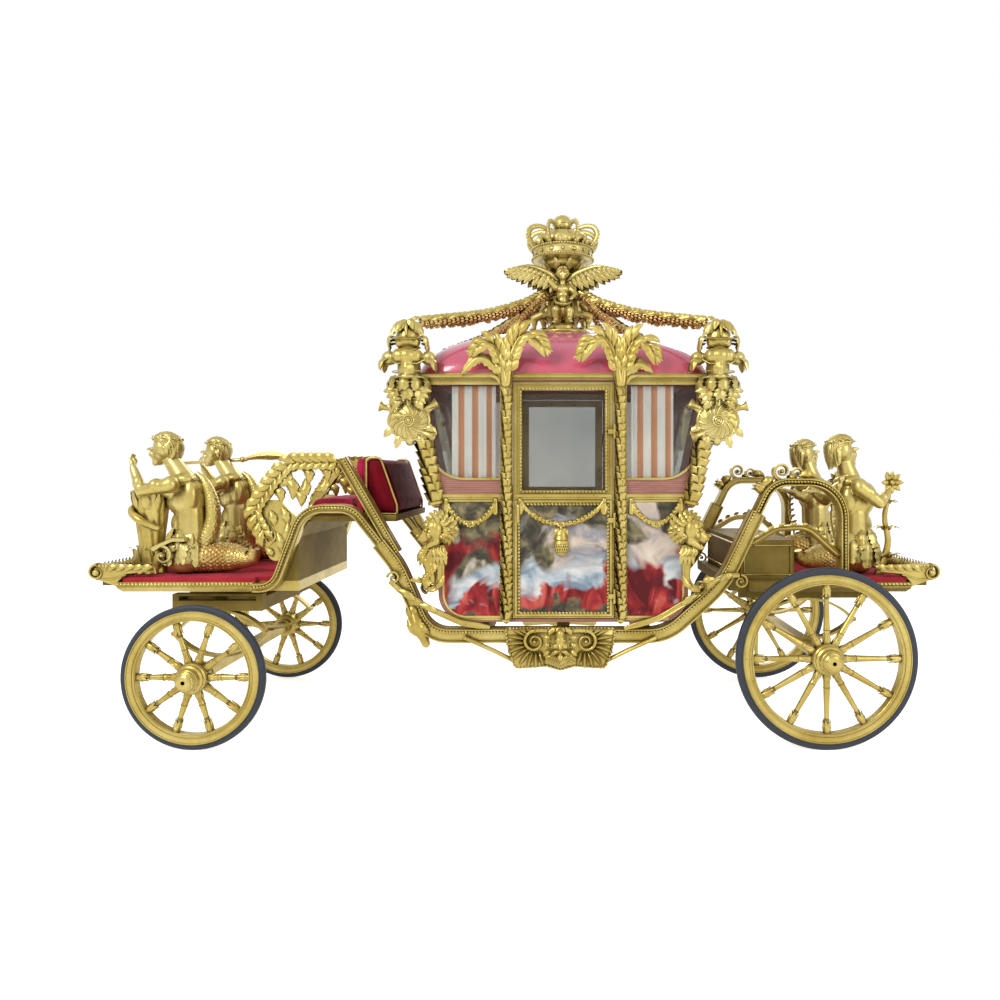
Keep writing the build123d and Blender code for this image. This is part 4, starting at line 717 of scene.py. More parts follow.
    def piece(self, name, body=CHASSIS, paint=None, slot="gold_paint", replaces=(), angle=50, smooth=True):
        """The form as an object that rides on a body."""
        piece = bpy.data.objects.new(name, self.mesh(name, smooth, angle))
        bpy.context.scene.collection.objects.link(piece)
        piece.data.materials.append(paint or GOLD)
        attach(piece, body)
        if replaces:
            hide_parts(*replaces)
        return piece

    def pair(self, name, bodies=(CHASSIS, CHASSIS), replaces=(), **settings):
        """The form on the left, which also replaces the solids, and its mirror on the right."""
        other = Form().join(self, mirror=True)
        return [self.piece(name + "_left", bodies[0], replaces=replaces, **settings),
                other.piece(name + "_right", bodies[1], **settings)]


def skin(masses, voxel, smooth=4):
    """One smooth surface over overlapping masses, as a new form."""
    data = masses.mesh("masses", angle=None)
    lump = bpy.data.objects.new("masses", data)
    bpy.context.scene.collection.objects.link(lump)
    remesh = lump.modifiers.new("skin", "REMESH")
    remesh.mode = "VOXEL"
    remesh.voxel_size = voxel
    relax = lump.modifiers.new("relax", "SMOOTH")
    relax.iterations = smooth
    bpy.context.view_layer.update()
    made = lump.evaluated_get(bpy.context.evaluated_depsgraph_get()).to_mesh()
    verts = np.empty(len(made.vertices) * 3, np.float32)
    made.vertices.foreach_get("co", verts)
    out = Form().add(verts.reshape(-1, 3), [tuple(face.vertices) for face in made.polygons])
    bpy.data.objects.remove(lump)
    bpy.data.meshes.remove(data)
    return out


# Wheels: carved spoke ends, moulded felloes and beaded hubs, on the wheels' solids

def wheel_carving(spokes, rim_out, rim_in):
    """The carving of one wheel in its own frame: its axle along Y, its outer face towards -Y."""
    ends = spoke_ends(rim_in)
    carved = Form()
    for radius, deep in ((rim_out - 0.005, 0.0045), (rim_in + 0.006, 0.005), (rim_in + 0.022, 0.0035)):
        for y in (-0.0285, 0.0285):
            carved.sweep(upright_ring(radius, y, 97), ring_section(6), deep, up=Y, caps=False)
    for n in range(spokes):
        turn = Matrix.Rotation(2 * math.pi * n / spokes, 4, "Y")
        carved.join(ends, turn)
    # Hub: a petalled collar, rows of beads and a ribbed nose
    for n in range(16):
        turn = Matrix.Rotation(2 * math.pi * n / 16, 4, "Y")
        petal = Form()
        petal.leaf([(0.052, -0.078, 0), (0.072, -0.072, 0), (0.090, -0.050, 0)], 0.015, -Y, rows=5)
        carved.join(petal, turn)
    for radius, y, size in ((0.093, -0.030, 0.0055), (0.060, -0.1045, 0.0040)):
        carved.beads(upright_ring(radius, y, 61), size, size * 2.2, rings=4, sides=5)
    carved.lathe([(0.040, 0.108), (0.052, 0.112), (0.053, 0.119), (0.046, 0.124), (0.040, 0.130),
                  (0.030, 0.134), (0.012, 0.135)], (0, 0, 0), (0, -1, 0), 40,
                 lambda a, h: 1 + 0.05 * np.cos(14 * a) * (h < 0.75))
    carved.lathe([(0.075, 0.084), (0.082, 0.088), (0.075, 0.093)], (0, 0, 0), (0, 1, 0), 32)
    return carved


def spoke_ends(rim_in):
    """Leaf cups at both ends of one spoke, which lies along +X."""
    ends = Form()
    for n in range(6):
        turn = Matrix.Rotation(2 * math.pi * n / 6, 4, "X")
        cup = Form()
        out = rim_in - 0.002
        cup.leaf([(out, 0, 0.012), (out - 0.022, 0, 0.026), (out - 0.050, 0, 0.022),
                  (out - 0.074, 0, 0.027)], 0.015, Z, rows=6, cup=0.5)
        cup.leaf([(0.094, 0, 0.020), (0.112, 0, 0.026), (0.135, 0, 0.019), (0.158, 0, 0.022)], 0.013, Z,
                 rows=6, cup=0.5)
        ends.join(cup, turn)
    for x, radius in ((rim_in - 0.079, 0.0165), (rim_in - 0.086, 0.0145), (0.132, 0.0185), (0.174, 0.021)):
        ends.lathe([(0.010, -0.004), (radius, -0.003), (radius + 0.003, 0), (radius, 0.003), (0.010, 0.004)],
                   (x, 0, 0), (1, 0, 0), 12)
    return ends


WHEELS = (
    # end, spokes, tyre's and felloe's depth
    ("front", 10, 0.036, 0.060),
    ("rear", 12, 0.042, 0.060),
)


def wheels():
    """The carving on the four wheels, drawn once for each axle."""
    for end, spokes, tyre_depth, felloe in WHEELS:
        low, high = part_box(f"tyre_{end}_left")
        radius = (high.x - low.x) / 2
        centre = (low + high) / 2
        carving = wheel_carving(spokes, radius - tyre_depth, radius - tyre_depth - felloe)
        for side, sign in SIDES:
            wheel = Form().join(carving, mirror=sign > 0)
            moved = Form().join(wheel, Matrix.Translation((centre.x, sign * abs(centre.y), centre.z)))
            moved.piece(f"wheel_carving_{end}_{side}", f"wheel_{end}_{side}", angle=45)


# Moulded lines on the beams: a round lip at each edge, a hollow, and a rope bead between them

STRUT_HALF, STRUT_INSET = 0.031, 0.007
BEAM_LINES = (
    # points in x and z, bends, half depth of the beam
    (((-1.64, 0.948), (-1.51, 0.948), (-1.325, 1.446), (-1.02, 1.446), (-0.85, 1.23)), (0.125, 0.17, 0.15),
     0.028),
    (((-0.85, 1.23), (-0.735, 1.085), (-0.545, 0.648), (0.96, 0.648), (1.32, 0.975), (1.5335, 1.4209)),
     (0.50, 0.20, 0.30, 0.70), 0.045),
    (((1.5335, 1.4209), (1.625, 1.612), (2.076, 1.612), (2.076, 0.99)), (0.15, 0.22), 0.025),
    (((-1.085, 1.755), (-0.745, 1.165)), (), STRUT_HALF),
)


def offset_line(path, away):
    """A line beside a path in an upright plane."""
    t = unit(np.gradient(path, axis=0))
    return path + away * np.stack([-t[:, 2], np.zeros(len(t)), t[:, 0]], 1)


def beam_mouldings():
    """The lips and rope beads on both faces of the side beams and of the seat's struts, set further in."""
    trim = Form()
    for points, bends, half in BEAM_LINES:
        middle = rounded(at_y(points, -BEAM_OUT), bends, 0.02)
        seat = -BEAM_OUT + STRUT_INSET if half == STRUT_HALF else -BEAM_OUT
        for face_y, out in ((seat, -1), (-BEAM_IN - (seat + BEAM_OUT), 1)):
            line = middle.copy()
            line[:, 1] = face_y
            for away in (half - 0.007, 0.007 - half):
                trim.sweep(offset_line(line, away), ring_section(6), 0.0062, up=Y)
            if out < 0:
                rope_line = line.copy()
                rope_line[:, 1] -= 0.001
                trim.rope(offset_line(rope_line, half - 0.021), 0.0052, 0.020, sides=6, up=Y)
    trim.pair("beam_mouldings")


def scroll(form, centre, radius, start, hand, y, thick, width, turns=1.15, tail=None):
    """A volute with a ball at its eye. tail leads into it, as places in x and z."""
    coil = spiral(centre, radius, turns, start, hand, inner=0.22, count=30, y=y)
    if tail:
        coil = np.vstack([at_y(tail, y), coil])
        coil = resample(coil, len(coil) + 12)
    n = len(coil)
    grow = np.interp(np.arange(n), [0, n - 26, n - 1], [1.0, 0.95, 0.42])
    section = np.array([(-thick / 2, -width / 2), (thick / 4, -width / 2), (thick / 2, -width / 3),
                        (thick / 2, width / 3), (thick / 4, width / 2), (-thick / 2, width / 2)])
    form.sweep(coil, section, grow, up=Y)
    form.ball((centre[0], y, centre[1]), (radius * 0.27, radius * 0.27, width * 0.62), (0, 1, 0), 6, 10)


# Cabin: palm columns, fronds, corner posts, mouldings, festoons

SIDE_Y = -CABIN_Y
COLUMN = 0.358  # the palm columns' distance from the cabin's middle
WIND_TOP = 2.3  # the scales wind round the trunks up to this height


def trunk(foot, head, radius, step, leaves, lean_below=0.0):
    """A palm trunk of overlapping flared scales that wind round it. They lean more below a height."""
    foot, head = np.asarray(foot, float), np.asarray(head, float)
    long = float(np.linalg.norm(head - foot))
    w = unit(head - foot)
    u = unit(np.cross(w, vec(0, 1, 0)))
    v = np.cross(w, u)
    form = Form()
    form.tube([foot, (foot + head) / 2, head], radius * 0.80, 16)
    count = int(round(long / step))
    for k in range(count):
        spot = foot + w * long * k / count
        turn = 0.34 * k if spot[2] < WIND_TOP else 0
        for n in range(leaves):
            a = 2 * math.pi * (n + 0.5 * (k % 2)) / leaves + turn
            out = math.cos(a) * u + math.sin(a) * v
            lean = np.cross(w, out) * radius * (0.70 if spot[2] < lean_below else 0.42)
            middle = spot + w * step * 0.6 + out * radius * 0.95 + lean * 0.45
            tip = spot + w * step * 1.30 + out * radius * 1.22 + lean
            points = [spot + out * radius * 0.74, middle, tip, tip + w * step * 0.10 + out * radius * 0.24]
            form.curved_leaf(points, 7, radius * 0.90, out, cup=0.36, rib=0.18, peak=0.52, blunt=0.16)
    return form


def frond(form, root, lean, reach, rise, tip_z, y, count, long):
    """A plume of a palm: a broad lobed blade under long overlapping leaflets that sweep to its tip."""
    wide = 0.026
    rib = curve([(root[0], y, root[1]),
                 (root[0] + lean * reach * 0.10, y - 0.010, root[1] + (rise - root[1]) * 0.55),
                 (root[0] + lean * reach * 0.34, y - 0.022, rise - 0.012),
                 (root[0] + lean * reach * 0.66, y - 0.026, rise - (rise - tip_z) * 0.20),
                 (root[0] + lean * reach, y - 0.016, tip_z)], 28)
    form.tube(rib, [0.024, 0.020, 0.013, 0.008, 0.004], 8)
    form.leaf(rib[7:], 0.060, -Y, rows=21, lobes=7, cup=0.25, peak=0.35, thick=0.16)
    way = unit(np.gradient(rib, axis=0))
    for n in range(count):
        share = 0.22 + 0.70 * n / (count - 1)
        k = min(27, int(share * 27))
        swell = 0.72 + 0.40 * math.sin(math.pi * min(1, share * 1.05))
        for edge in (-1, 1):
            upper = edge * lean > 0
            across_way = vec(-way[k][2], 0, way[k][0]) * edge
            size = long * swell * (1.0 if upper else 0.86)
            spread = size * (0.46 - 0.20 * share) * (1.0 if upper else 0.9)
            start = rib[k] - way[k] * 0.012 + vec(0, -0.004, 0)
            droop = -0.006 - 0.02 * (not upper)
            points = [start, start + way[k] * size * 0.26 + across_way * spread * 0.62 + vec(0, -0.020, 0),
                      start + way[k] * size * 0.62 + across_way * spread * 1.02 + vec(0, -0.019, 0),
                      start + way[k] * size * 0.96 + across_way * spread * 0.92 + vec(0, -0.004, droop)]
            form.curved_leaf(points, 9, wide * (1.12 - 0.30 * share), -Y, cup=0.30, rib=0.30, peak=0.50,
                             blunt=0.50, thick=0.2)
    for turn in (-0.35, 0.0, 0.35):
        end = rib[-1] + way[-1] * 0.050 + vec(-way[-1][2], 0, way[-1][0]) * turn * 0.06
        form.curved_leaf([rib[-6], rib[-2] + vec(0, -0.012, 0), end], 7, wide * 0.8, -Y)


FRONDS = (
    # column's place from the middle, lean, reach, rise, tip height, pairs of leaflets, length
    (-COLUMN, -1, 0.190, 2.470, 2.430, 7, 0.115), (-COLUMN, 1, 0.235, 2.520, 2.440, 9, 0.135),
    (COLUMN, -1, 0.240, 2.505, 2.405, 9, 0.130), (COLUMN, 1, 0.205, 2.495, 2.390, 8, 0.130),
)
LOW_FRONDS = ((-COLUMN, -1, 0.285, 2.385, 2.275), (COLUMN, 1, 0.200, 2.350, 2.290))


def palms():
    """The palm columns beside the doors and the fronds that spread from their heads over the windows."""
    columns, crowns = Form(), Form()
    front = SIDE_Y - 0.0125
    for at in (-COLUMN, COLUMN):
        x = CABIN_X + at
        columns.join(trunk((x, front, 0.747), (x, front, CABIN_TOP + 0.01), 0.0262, 0.044, 5,
                           lean_below=1.47))
        columns.lathe([(0.020, 0), (0.032, 0.004), (0.033, 0.016), (0.026, 0.022), (0.020, 0.026)],
                      (x, front, 0.738))
    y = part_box("palm_fronds")[0].y + 0.030
    for at, lean, reach, rise, tip_z, count, long in FRONDS:
        frond(crowns, (CABIN_X + at + lean * 0.008, CABIN_TOP - 0.03), lean, reach, rise, tip_z, y, count,
              long)
    for at, lean, reach, rise, tip_z in LOW_FRONDS:
        x = CABIN_X + at
        spine = curve([(x, y + 0.01, CABIN_TOP - 0.02), (x + lean * reach * 0.30, y, rise - 0.03),
                       (x + lean * reach * 0.62, y - 0.012, rise), (x + lean * reach, y - 0.006, tip_z)], 14)
        crowns.leaf(spine, 0.050, -Y, rows=19, lobes=8, cup=0.3, thick=0.2)
        crowns.leaf(spine - vec(0, 0.012, 0.004), 0.026, -Y, rows=15, lobes=6, cup=0.3, rib=0.35)
        spine = curve([(x, y + 0.012, CABIN_TOP - 0.06), (x + lean * 0.05, y + 0.004, CABIN_TOP + 0.01),
                       (x + lean * 0.11, y, CABIN_TOP + 0.022)], 8)
        crowns.leaf(spine, 0.020, -Y, rows=8, cup=0.3)
    for at in (-COLUMN, COLUMN):
        x = CABIN_X + at
        for lean in (-1.0, -0.4, 0.25, 0.9):
            spine = curve([(x + lean * 0.006, y + 0.016, CABIN_TOP - 0.11),
                           (x + lean * 0.022, y - 0.006, CABIN_TOP),
                           (x + lean * 0.055, y - 0.004, CABIN_TOP + 0.115)], 10)
            crowns.leaf(spine, 0.020, -Y, rows=9, cup=-0.25)
    columns.pair("palm_trunks", replaces=("palm_columns",))
    crowns.pair("palm_leaves", replaces=("palm_fronds",))


def corner_posts():
    """The palm trunks that lean outwards at the cabin's corners."""
    posts = Form()
    low_half, high_half = 0.785 + 0.014, 0.862 + 0.020
    for sign in (-1, 1):
        posts.join(trunk((CABIN_X + sign * low_half, SIDE_Y - 0.006, 1.483),
                         (CABIN_X + sign * high_half, SIDE_Y - 0.006, 1.90), 0.043, 0.052, 5))
        posts.lathe([(0.030, 0), (0.048, 0.006), (0.050, 0.020), (0.040, 0.028)],
                    (CABIN_X + sign * (low_half - 0.002), SIDE_Y - 0.006, 1.470), (sign * 0.17, 0, 1))
    posts.pair("post_trunks", replaces=("corner_posts",))


def box_rope(form, x0, x1, z0, z1, y, radius):
    """A rope bead round a rectangle."""
    corners = [(x0, z0), (x1, z0), (x1, z1), (x0, z1)]
    for a, b in zip(corners, corners[1:] + corners[:1]):
        form.rope(at_y((a, b), y), radius, 0.022, sides=6, up=Y)


def door_trim():
    """The rope beads and frame lines of the left door."""
    trim = Form()
    x0, x1 = CABIN_X - 0.262, CABIN_X + 0.262
    box_rope(trim, x0 - 0.006, x1 + 0.006, 1.554, 2.196, SIDE_Y - 0.010, 0.0058)
    for grow, size in ((0.030, 0.0035), (0.046, 0.0028)):
        corners = [(x0 - grow, 1.560 - 0.006), (x0 - grow, 2.190 + min(grow, 0.040)),
                   (x1 + grow, 2.190 + min(grow, 0.040)), (x1 + grow, 1.560 - 0.006)]
        trim.sweep(at_y(corners, SIDE_Y - 0.001), ring_section(6), size, up=Y)
    box_rope(trim, CABIN_X - 0.279, CABIN_X + 0.279, 0.793, 1.474, SIDE_Y - 0.009, 0.0055)
    corners = [(CABIN_X - 0.303, 0.768), (CABIN_X + 0.303, 0.768), (CABIN_X + 0.303, 1.492),
               (CABIN_X - 0.303, 1.492), (CABIN_X - 0.303, 0.768)]
    trim.sweep(at_y(corners, SIDE_Y - 0.001), ring_section(6), 0.0036, up=Y)
    return trim


def leafy_rope(form, path, radius, pitch, around=5, wide=0.011, face=None):
    """A garland: leaves in rings along a path, each ring tucked under the next."""
    path = np.asarray(path, float)
    count = max(3, int(length_of(path) / pitch))
    spots = resample(path, count + 1)
    way, side, high = axes_along(spots, face)
    swell = 0.72 + 0.42 * np.sin(np.linspace(0, math.pi, count + 1)) ** 0.8
    form.tube(spots, radius * 0.55 * swell, 7)
    for k in range(count):
        for n in range(around):
            a = 2 * math.pi * (n + 0.5 * (k % 2)) / around
            out = math.cos(a) * side[k] + math.sin(a) * high[k]
            r = radius * swell[k]
            root = spots[k] + out * r * 0.40
            middle = spots[k] + way[k] * pitch * 0.558 + out * r * 0.98
            tip = spots[k] + way[k] * pitch * 1.305 + out * r * 0.92
            form.leaf([root, middle, tip], wide * (0.8 + 0.3 * swell[k]), out, rows=5, cup=0.4)


def swag_line(x0, x1, low_x, low_z, top, y, count):
    """A line that hangs between two places at one height, with its lowest place where it is told."""
    t = np.linspace(0, 1, count)
    x = (1 - t) ** 2 * x0 + 2 * t * (1 - t) * (2 * low_x - (x0 + x1) / 2) + t ** 2 * x1
    z = top - (top - low_z) * (4 * t * (1 - t)) ** 0.86
    return np.stack([x, np.full(count, y), z], 1)


def hanging_festoon(form, x0, x1, low_x, low_z):
    """A garland under the belt, its two halves of leaves meeting at the lowest point, with tied ends."""
    y, top = SIDE_Y - 0.012, 1.487
    line = swag_line(x0, x1, low_x, low_z, top, y, 31)
    leafy_rope(form, line[:17], 0.017, 0.024, 5, 0.0115, face=Y)
    leafy_rope(form, line[::-1][:16], 0.017, 0.024, 5, 0.0115, face=Y)
    for x in (x0, x1):
        form.ball((x, y - 0.004, top), (0.016, 0.010, 0.016), (0, 0, 1), 5, 8)
        for lean in (-0.5, 0.0, 0.5):
            form.curved_leaf([(x, y, top), (x + lean * 0.020, y - 0.012, top - 0.034),
                              (x + lean * 0.034, y - 0.004, top - 0.074)], 6, 0.011, -Y, cup=0.3)
    for n in range(5):
        a = math.radians(180 + 45 * (n - 2) + 90)
        tip = (low_x + 0.034 * math.cos(a), y - 0.014, low_z + 0.026 * math.sin(a))
        form.leaf([(low_x, y - 0.010, low_z), ((low_x + tip[0]) / 2, y - 0.021, (low_z + tip[2]) / 2), tip],
                  0.011, -Y, rows=4)
    form.ball((low_x, y - 0.020, low_z), 0.009, (0, 1, 0), 4, 7)


def pine_cone(form, x, z, height, radius):
    """A hanging cone of overlapping pointed scales under three leaves."""
    y = SIDE_Y - 0.004
    rows = 8
    form.lathe([(0.006, 0), (radius * 0.72, height * 0.28), (radius * 0.80, height * 0.55),
                (radius * 0.45, height * 0.9), (0.008, height)], (x, y, z - height), (0, 0, 1), 16)
    for k in range(rows):
        share = (k + 0.6) / rows
        r = radius * math.sin(math.pi * min(1, 0.10 + share * 0.86)) ** 0.8
        level = z - height + height * share
        for n in range(9):
            a = math.pi + math.pi * (n + 0.5 * (k % 2)) / 9 + math.pi / 18
            out = ray(a)
            root = vec(x, y, level + 0.018) + out * r * 0.62
            tip = vec(x, y, level - 0.016) + out * (r * 1.02)
            form.leaf([root, (root + tip) / 2 + out * 0.010, tip], 0.0125, out, rows=4, cup=0.3, thick=0.3)
    for lean in (-1, 0, 1):
        form.curved_leaf([(x, y - 0.012, z + 0.036), (x + lean * 0.026, y - 0.034, z + 0.012),
                          (x + lean * 0.046, y - 0.026, z - 0.018)], 6, 0.016, -Y, cup=0.3)
    form.ball((x, y - 0.02, z + 0.030), 0.013, (0, 0, 1), 5, 8)
    form.ball((x, y - 0.014, z - height - 0.004), 0.009, (0, 0, 1), 5, 8)


def cabin_ornament():
    """Festoons and fine beads, on the quarter panels and the doors."""
    still, swung = Form(), door_trim()
    for sign in (-1, 1):
        hanging_festoon(still, CABIN_X + sign * 0.43, CABIN_X + sign * 0.73, CABIN_X + sign * 0.583, 1.352)
    hanging_festoon(swung, CABIN_X - 0.272, CABIN_X + 0.255, CABIN_X - 0.014, 1.352)
    pine_cone(swung, CABIN_X - 0.014, 1.296, 0.135, 0.047)
    still.pair("festoons")
    swung.pair("door_ornament", bodies=("door_left", "door_right"))


# Carved figures

def scaly(path, radii, pitch, around):
    """A fish tail: a round body covered in overlapping scales whose tips point along the path."""
    long = length_of(path)
    path = resample(curve(path, 60), max(12, int(long / pitch * 5)))
    _, side, high = axes_along(path)
    n = len(path)
    r = np.interp(np.linspace(0, 1, n), np.linspace(0, 1, len(radii)), radii)[:, None]
    columns = around * 5
    a = np.linspace(0, 2 * math.pi, columns, endpoint=False)[None, :]
    h = np.linspace(0, long / pitch, n)[:, None]
    k = np.floor(h)
    v = h - k
    u = 2 * np.abs(((a * around / (2 * math.pi) + 0.5 * (k % 2)) % 1.0) - 0.5)
    edge = np.sqrt(np.clip(1 - u ** 2, 0.02, 1))
    lift = np.where(v < edge, 0.35 + 0.65 * (v / edge) ** 1.3, 0.35 * v)
    r = r * (0.90 + 0.10 * lift)
    across_way, up_way = (r * np.cos(a))[..., None], (r * np.sin(a))[..., None]
    pts = path[:, None] + across_way * side[:, None] + up_way * high[:, None]
    return Form().net(pts, wrap=True, caps=(True, True))


def masses_of(table):
    """Overlapping limbs and eggs. A row is two ends with their radii, or one place with three half sizes."""
    lump = Form()
    for row in table:
        if len(row) == 8:
            a, b = vec(*row[0:3]), vec(*row[4:7])
            lump.tube(resample([a, b], 8), np.linspace(row[3], row[7], 8), 16)
            lump.ball(a, row[3], rings=10, sides=16)
            lump.ball(b, row[7], rings=10, sides=16)
        else:
            lump.ball(row[0:3], row[3:6], rings=12, sides=18)
    return lump


HEAD = (
    # a head that looks towards -X round its own middle: x, y, z, half sizes
    (0.012, 0, 0.012, 0.092, 0.073, 0.088), (-0.030, 0, -0.030, 0.052, 0.054, 0.062),
    (-0.044, 0, -0.066, 0.034, 0.032, 0.030),
    (-0.077, 0, 0.022, 0.014, 0.044, 0.011), (-0.066, 0.032, -0.020, 0.022, 0.022, 0.022),
    (-0.066, -0.032, -0.020, 0.022, 0.022, 0.022),
    (-0.070, 0, 0.016, 0.013, -0.084, 0, -0.014, 0.0165), (-0.078, 0, -0.016, 0.016, 0.020, 0.012),
    (-0.072, 0, -0.042, 0.016, 0.024, 0.009), (-0.070, 0, -0.055, 0.016, 0.022, 0.009),
    (-0.046, 0, -0.048, 0.032, 0.036, 0.020), (-0.070, 0, -0.078, 0.020, 0.022, 0.018),
    (0.008, 0.074, -0.008, 0.018, 0.008, 0.024), (0.008, -0.074, -0.008, 0.018, 0.008, 0.024),
)


def hair(form, at, tilt, seed, long=0.13, nape=0.5):
    """Wavy locks combed back from a head's brow, with a laurel band."""
    pick = random.Random(seed)
    turn = Matrix.Rotation(math.radians(tilt), 4, "Y")
    locks = Form()
    radius = 0.094
    for n in range(34):
        across_head = -1.25 + 2.5 * (n % 17) / 16 + pick.uniform(-0.05, 0.05)
        layer = n // 17
        points = []
        for k in range(7):
            t = k / 6
            back = math.radians(-62 + 62 * layer + (150 - 30 * layer) * t)
            wide = across_head * (1 - 0.25 * t)
            wave = 0.010 * math.sin(3.4 * math.pi * t + n * 1.3)
            r = radius * (1.00 + 0.06 * math.sin(math.pi * t) + 0.04 * layer)
            x = math.sin(back) * math.cos(wide) * r
            z = math.cos(back) * math.cos(wide) * r * 0.98 + 0.010
            y = math.sin(wide) * r * 0.86 + wave
            if t > 0.72:
                z -= long * nape * (t - 0.72) * 1.5
                x += 0.03 * (t - 0.72)
            points.append((x, y, z))
        out = unit(np.mean(points, 0))
        locks.curved_leaf(points, 10, 0.0235, out, cup=0.10, rib=0.42, peak=0.4, blunt=0.35, thick=0.5)
    ring = [(0.094 * math.sin(a) * 0.98, 0.083 * math.cos(a), 0.058 + 0.006 * math.sin(a))
            for a in np.linspace(0, 2 * math.pi, 25)]
    locks.tube(ring, 0.006, 6)
    for k in range(0, 24, 2):
        spot = vec(*ring[k])
        if spot[0] < -0.05:
            continue
        along = unit(vec(*ring[k + 1]) - spot)
        locks.leaf([spot, spot + along * 0.016 + vec(0, 0, 0.012) + unit(spot) * 0.010,
                    spot + along * 0.034 + vec(0, 0, 0.020)], 0.0085, unit(spot), rows=4)
    form.join(locks, Matrix.Translation(at) @ turn)


def hand(form, wrist, way, up):
    """A half closed hand."""
    size = 0.036
    wrist, way, up = np.asarray(wrist, float), unit(way), unit(up)
    side = np.cross(way, up)
    palm = wrist + way * size * 0.9
    form.ball(palm, (size * 0.78, size * 0.42, size * 1.05), way, 6, 10)
    for k, spread in enumerate((-0.55, -0.18, 0.2, 0.56)):
        root = palm + way * size * 0.7 + side * spread * size
        middle = root + way * size * (0.7 - 0.1 * abs(k - 1.5)) - up * size * 0.075
        tip = middle + way * size * 0.4 - up * size * 0.375
        form.tube([root, middle, tip], [size * 0.24, size * 0.21, size * 0.16], 6)
    thumb = palm + side * -size * 0.7
    form.tube([thumb, thumb + way * size * 0.6 - side * size * 0.3 - up * size * 0.2,
               thumb + way * size * 1.0 - up * size * 0.45], [size * 0.26, size * 0.22, size * 0.16], 6)


FRONT_BODY = (
    # two ends with radii, or a place with half sizes, round the middle of the hips
    (0.0, 0, 0.110, 0.124, 0.034, 0, 0.270, 0.098), (0.034, 0, 0.270, 0.098, 0.030, 0, 0.400, 0.098),
    (-0.020, 0, 0.330, 0.076, 0.080, 0.090), (0.004, 0, 0.480, 0.106, 0.130, 0.115),
    (-0.022, 0, 0.560, 0.092, 0.148, 0.076),
    (-0.078, -0.056, 0.540, 0.044, 0.062, 0.046), (-0.078, 0.056, 0.540, 0.044, 0.062, 0.046),
    (0.050, -0.066, 0.510, 0.046, 0.056, 0.100), (0.050, 0.066, 0.510, 0.046, 0.056, 0.100),
    (-0.030, -0.152, 0.588, 0.056, 0.052, 0.056), (-0.030, 0.152, 0.588, 0.056, 0.052, 0.056),
    (0.010, -0.070, 0.622, 0.048, 0.070, 0.034), (0.010, 0.070, 0.622, 0.048, 0.070, 0.034),
    (-0.020, 0, 0.620, 0.068, -0.100, 0, 0.740, 0.052),
    (-0.045, -0.160, 0.582, 0.050, -0.220, -0.150, 0.548, 0.038),
    (-0.220, -0.150, 0.548, 0.038, -0.290, -0.115, 0.690, 0.024),
    (-0.120, -0.160, 0.584, 0.054, 0.042, 0.044), (-0.243, -0.144, 0.596, 0.036, 0.034, 0.048),
    (-0.045, 0.160, 0.582, 0.050, -0.220, 0.145, 0.528, 0.038),
    (-0.220, 0.145, 0.528, 0.038, -0.315, 0.105, 0.560, 0.024),
    (-0.120, 0.158, 0.574, 0.054, 0.042, 0.044), (-0.258, 0.130, 0.545, 0.044, 0.034, 0.034),
)
REAR_BODY = (
    (0.0, 0, 0.115, 0.122, -0.018, 0, 0.280, 0.097), (-0.018, 0, 0.280, 0.097, -0.020, 0, 0.400, 0.098),
    (0.020, 0, 0.320, 0.076, 0.080, 0.090), (-0.014, 0, 0.470, 0.104, 0.130, 0.112),
    (-0.028, 0, 0.545, 0.092, 0.148, 0.076),
    (0.048, -0.056, 0.522, 0.044, 0.062, 0.046), (0.048, 0.056, 0.522, 0.044, 0.062, 0.046),
    (-0.072, -0.066, 0.490, 0.046, 0.056, 0.095), (-0.072, 0.066, 0.490, 0.046, 0.056, 0.095),
    (-0.042, -0.152, 0.575, 0.056, 0.052, 0.056), (-0.042, 0.152, 0.575, 0.056, 0.052, 0.056),
    (-0.056, -0.070, 0.606, 0.048, 0.070, 0.034), (-0.056, 0.070, 0.606, 0.048, 0.070, 0.034),
    (-0.040, 0, 0.610, 0.068, -0.080, 0, 0.730, 0.053),
    (-0.040, -0.162, 0.568, 0.050, 0.085, -0.160, 0.470, 0.038),
    (0.085, -0.160, 0.470, 0.038, 0.170, -0.095, 0.545, 0.024),
    (0.020, -0.163, 0.530, 0.048, 0.040, 0.048), (0.120, -0.135, 0.500, 0.038, 0.034, 0.038),
    (-0.040, 0.162, 0.568, 0.050, -0.150, 0.155, 0.475, 0.038),
    (-0.150, 0.155, 0.475, 0.038, -0.240, 0.105, 0.520, 0.024),
    (-0.092, 0.160, 0.528, 0.046, 0.040, 0.046), (-0.195, 0.135, 0.495, 0.038, 0.034, 0.034),
)


def hip_leaves(form, centre, count, seed, reach=0.15, drop=0.13):
    """Acanthus leaves that hang round a waist over the scales."""
    pick = random.Random(seed)
    for n in range(count):
        a = 2 * math.pi * n / count + pick.uniform(-0.1, 0.1)
        out = ray(a)
        size = pick.uniform(0.85, 1.1)
        root = vec(*centre) + out * reach * 0.62 + vec(0, 0, 0.06)
        middle = vec(*centre) + out * reach * 0.88 + vec(0, 0, -0.01)
        tip = vec(*centre) + out * reach * 0.96 + vec(0, 0, -drop * size)
        curl = tip + out * 0.028 + vec(0, 0, 0.008)
        form.curved_leaf([root, middle, tip, curl], 17, 0.050 * size, out, lobes=6, cup=0.25, rib=0.35,
                         thick=0.3)


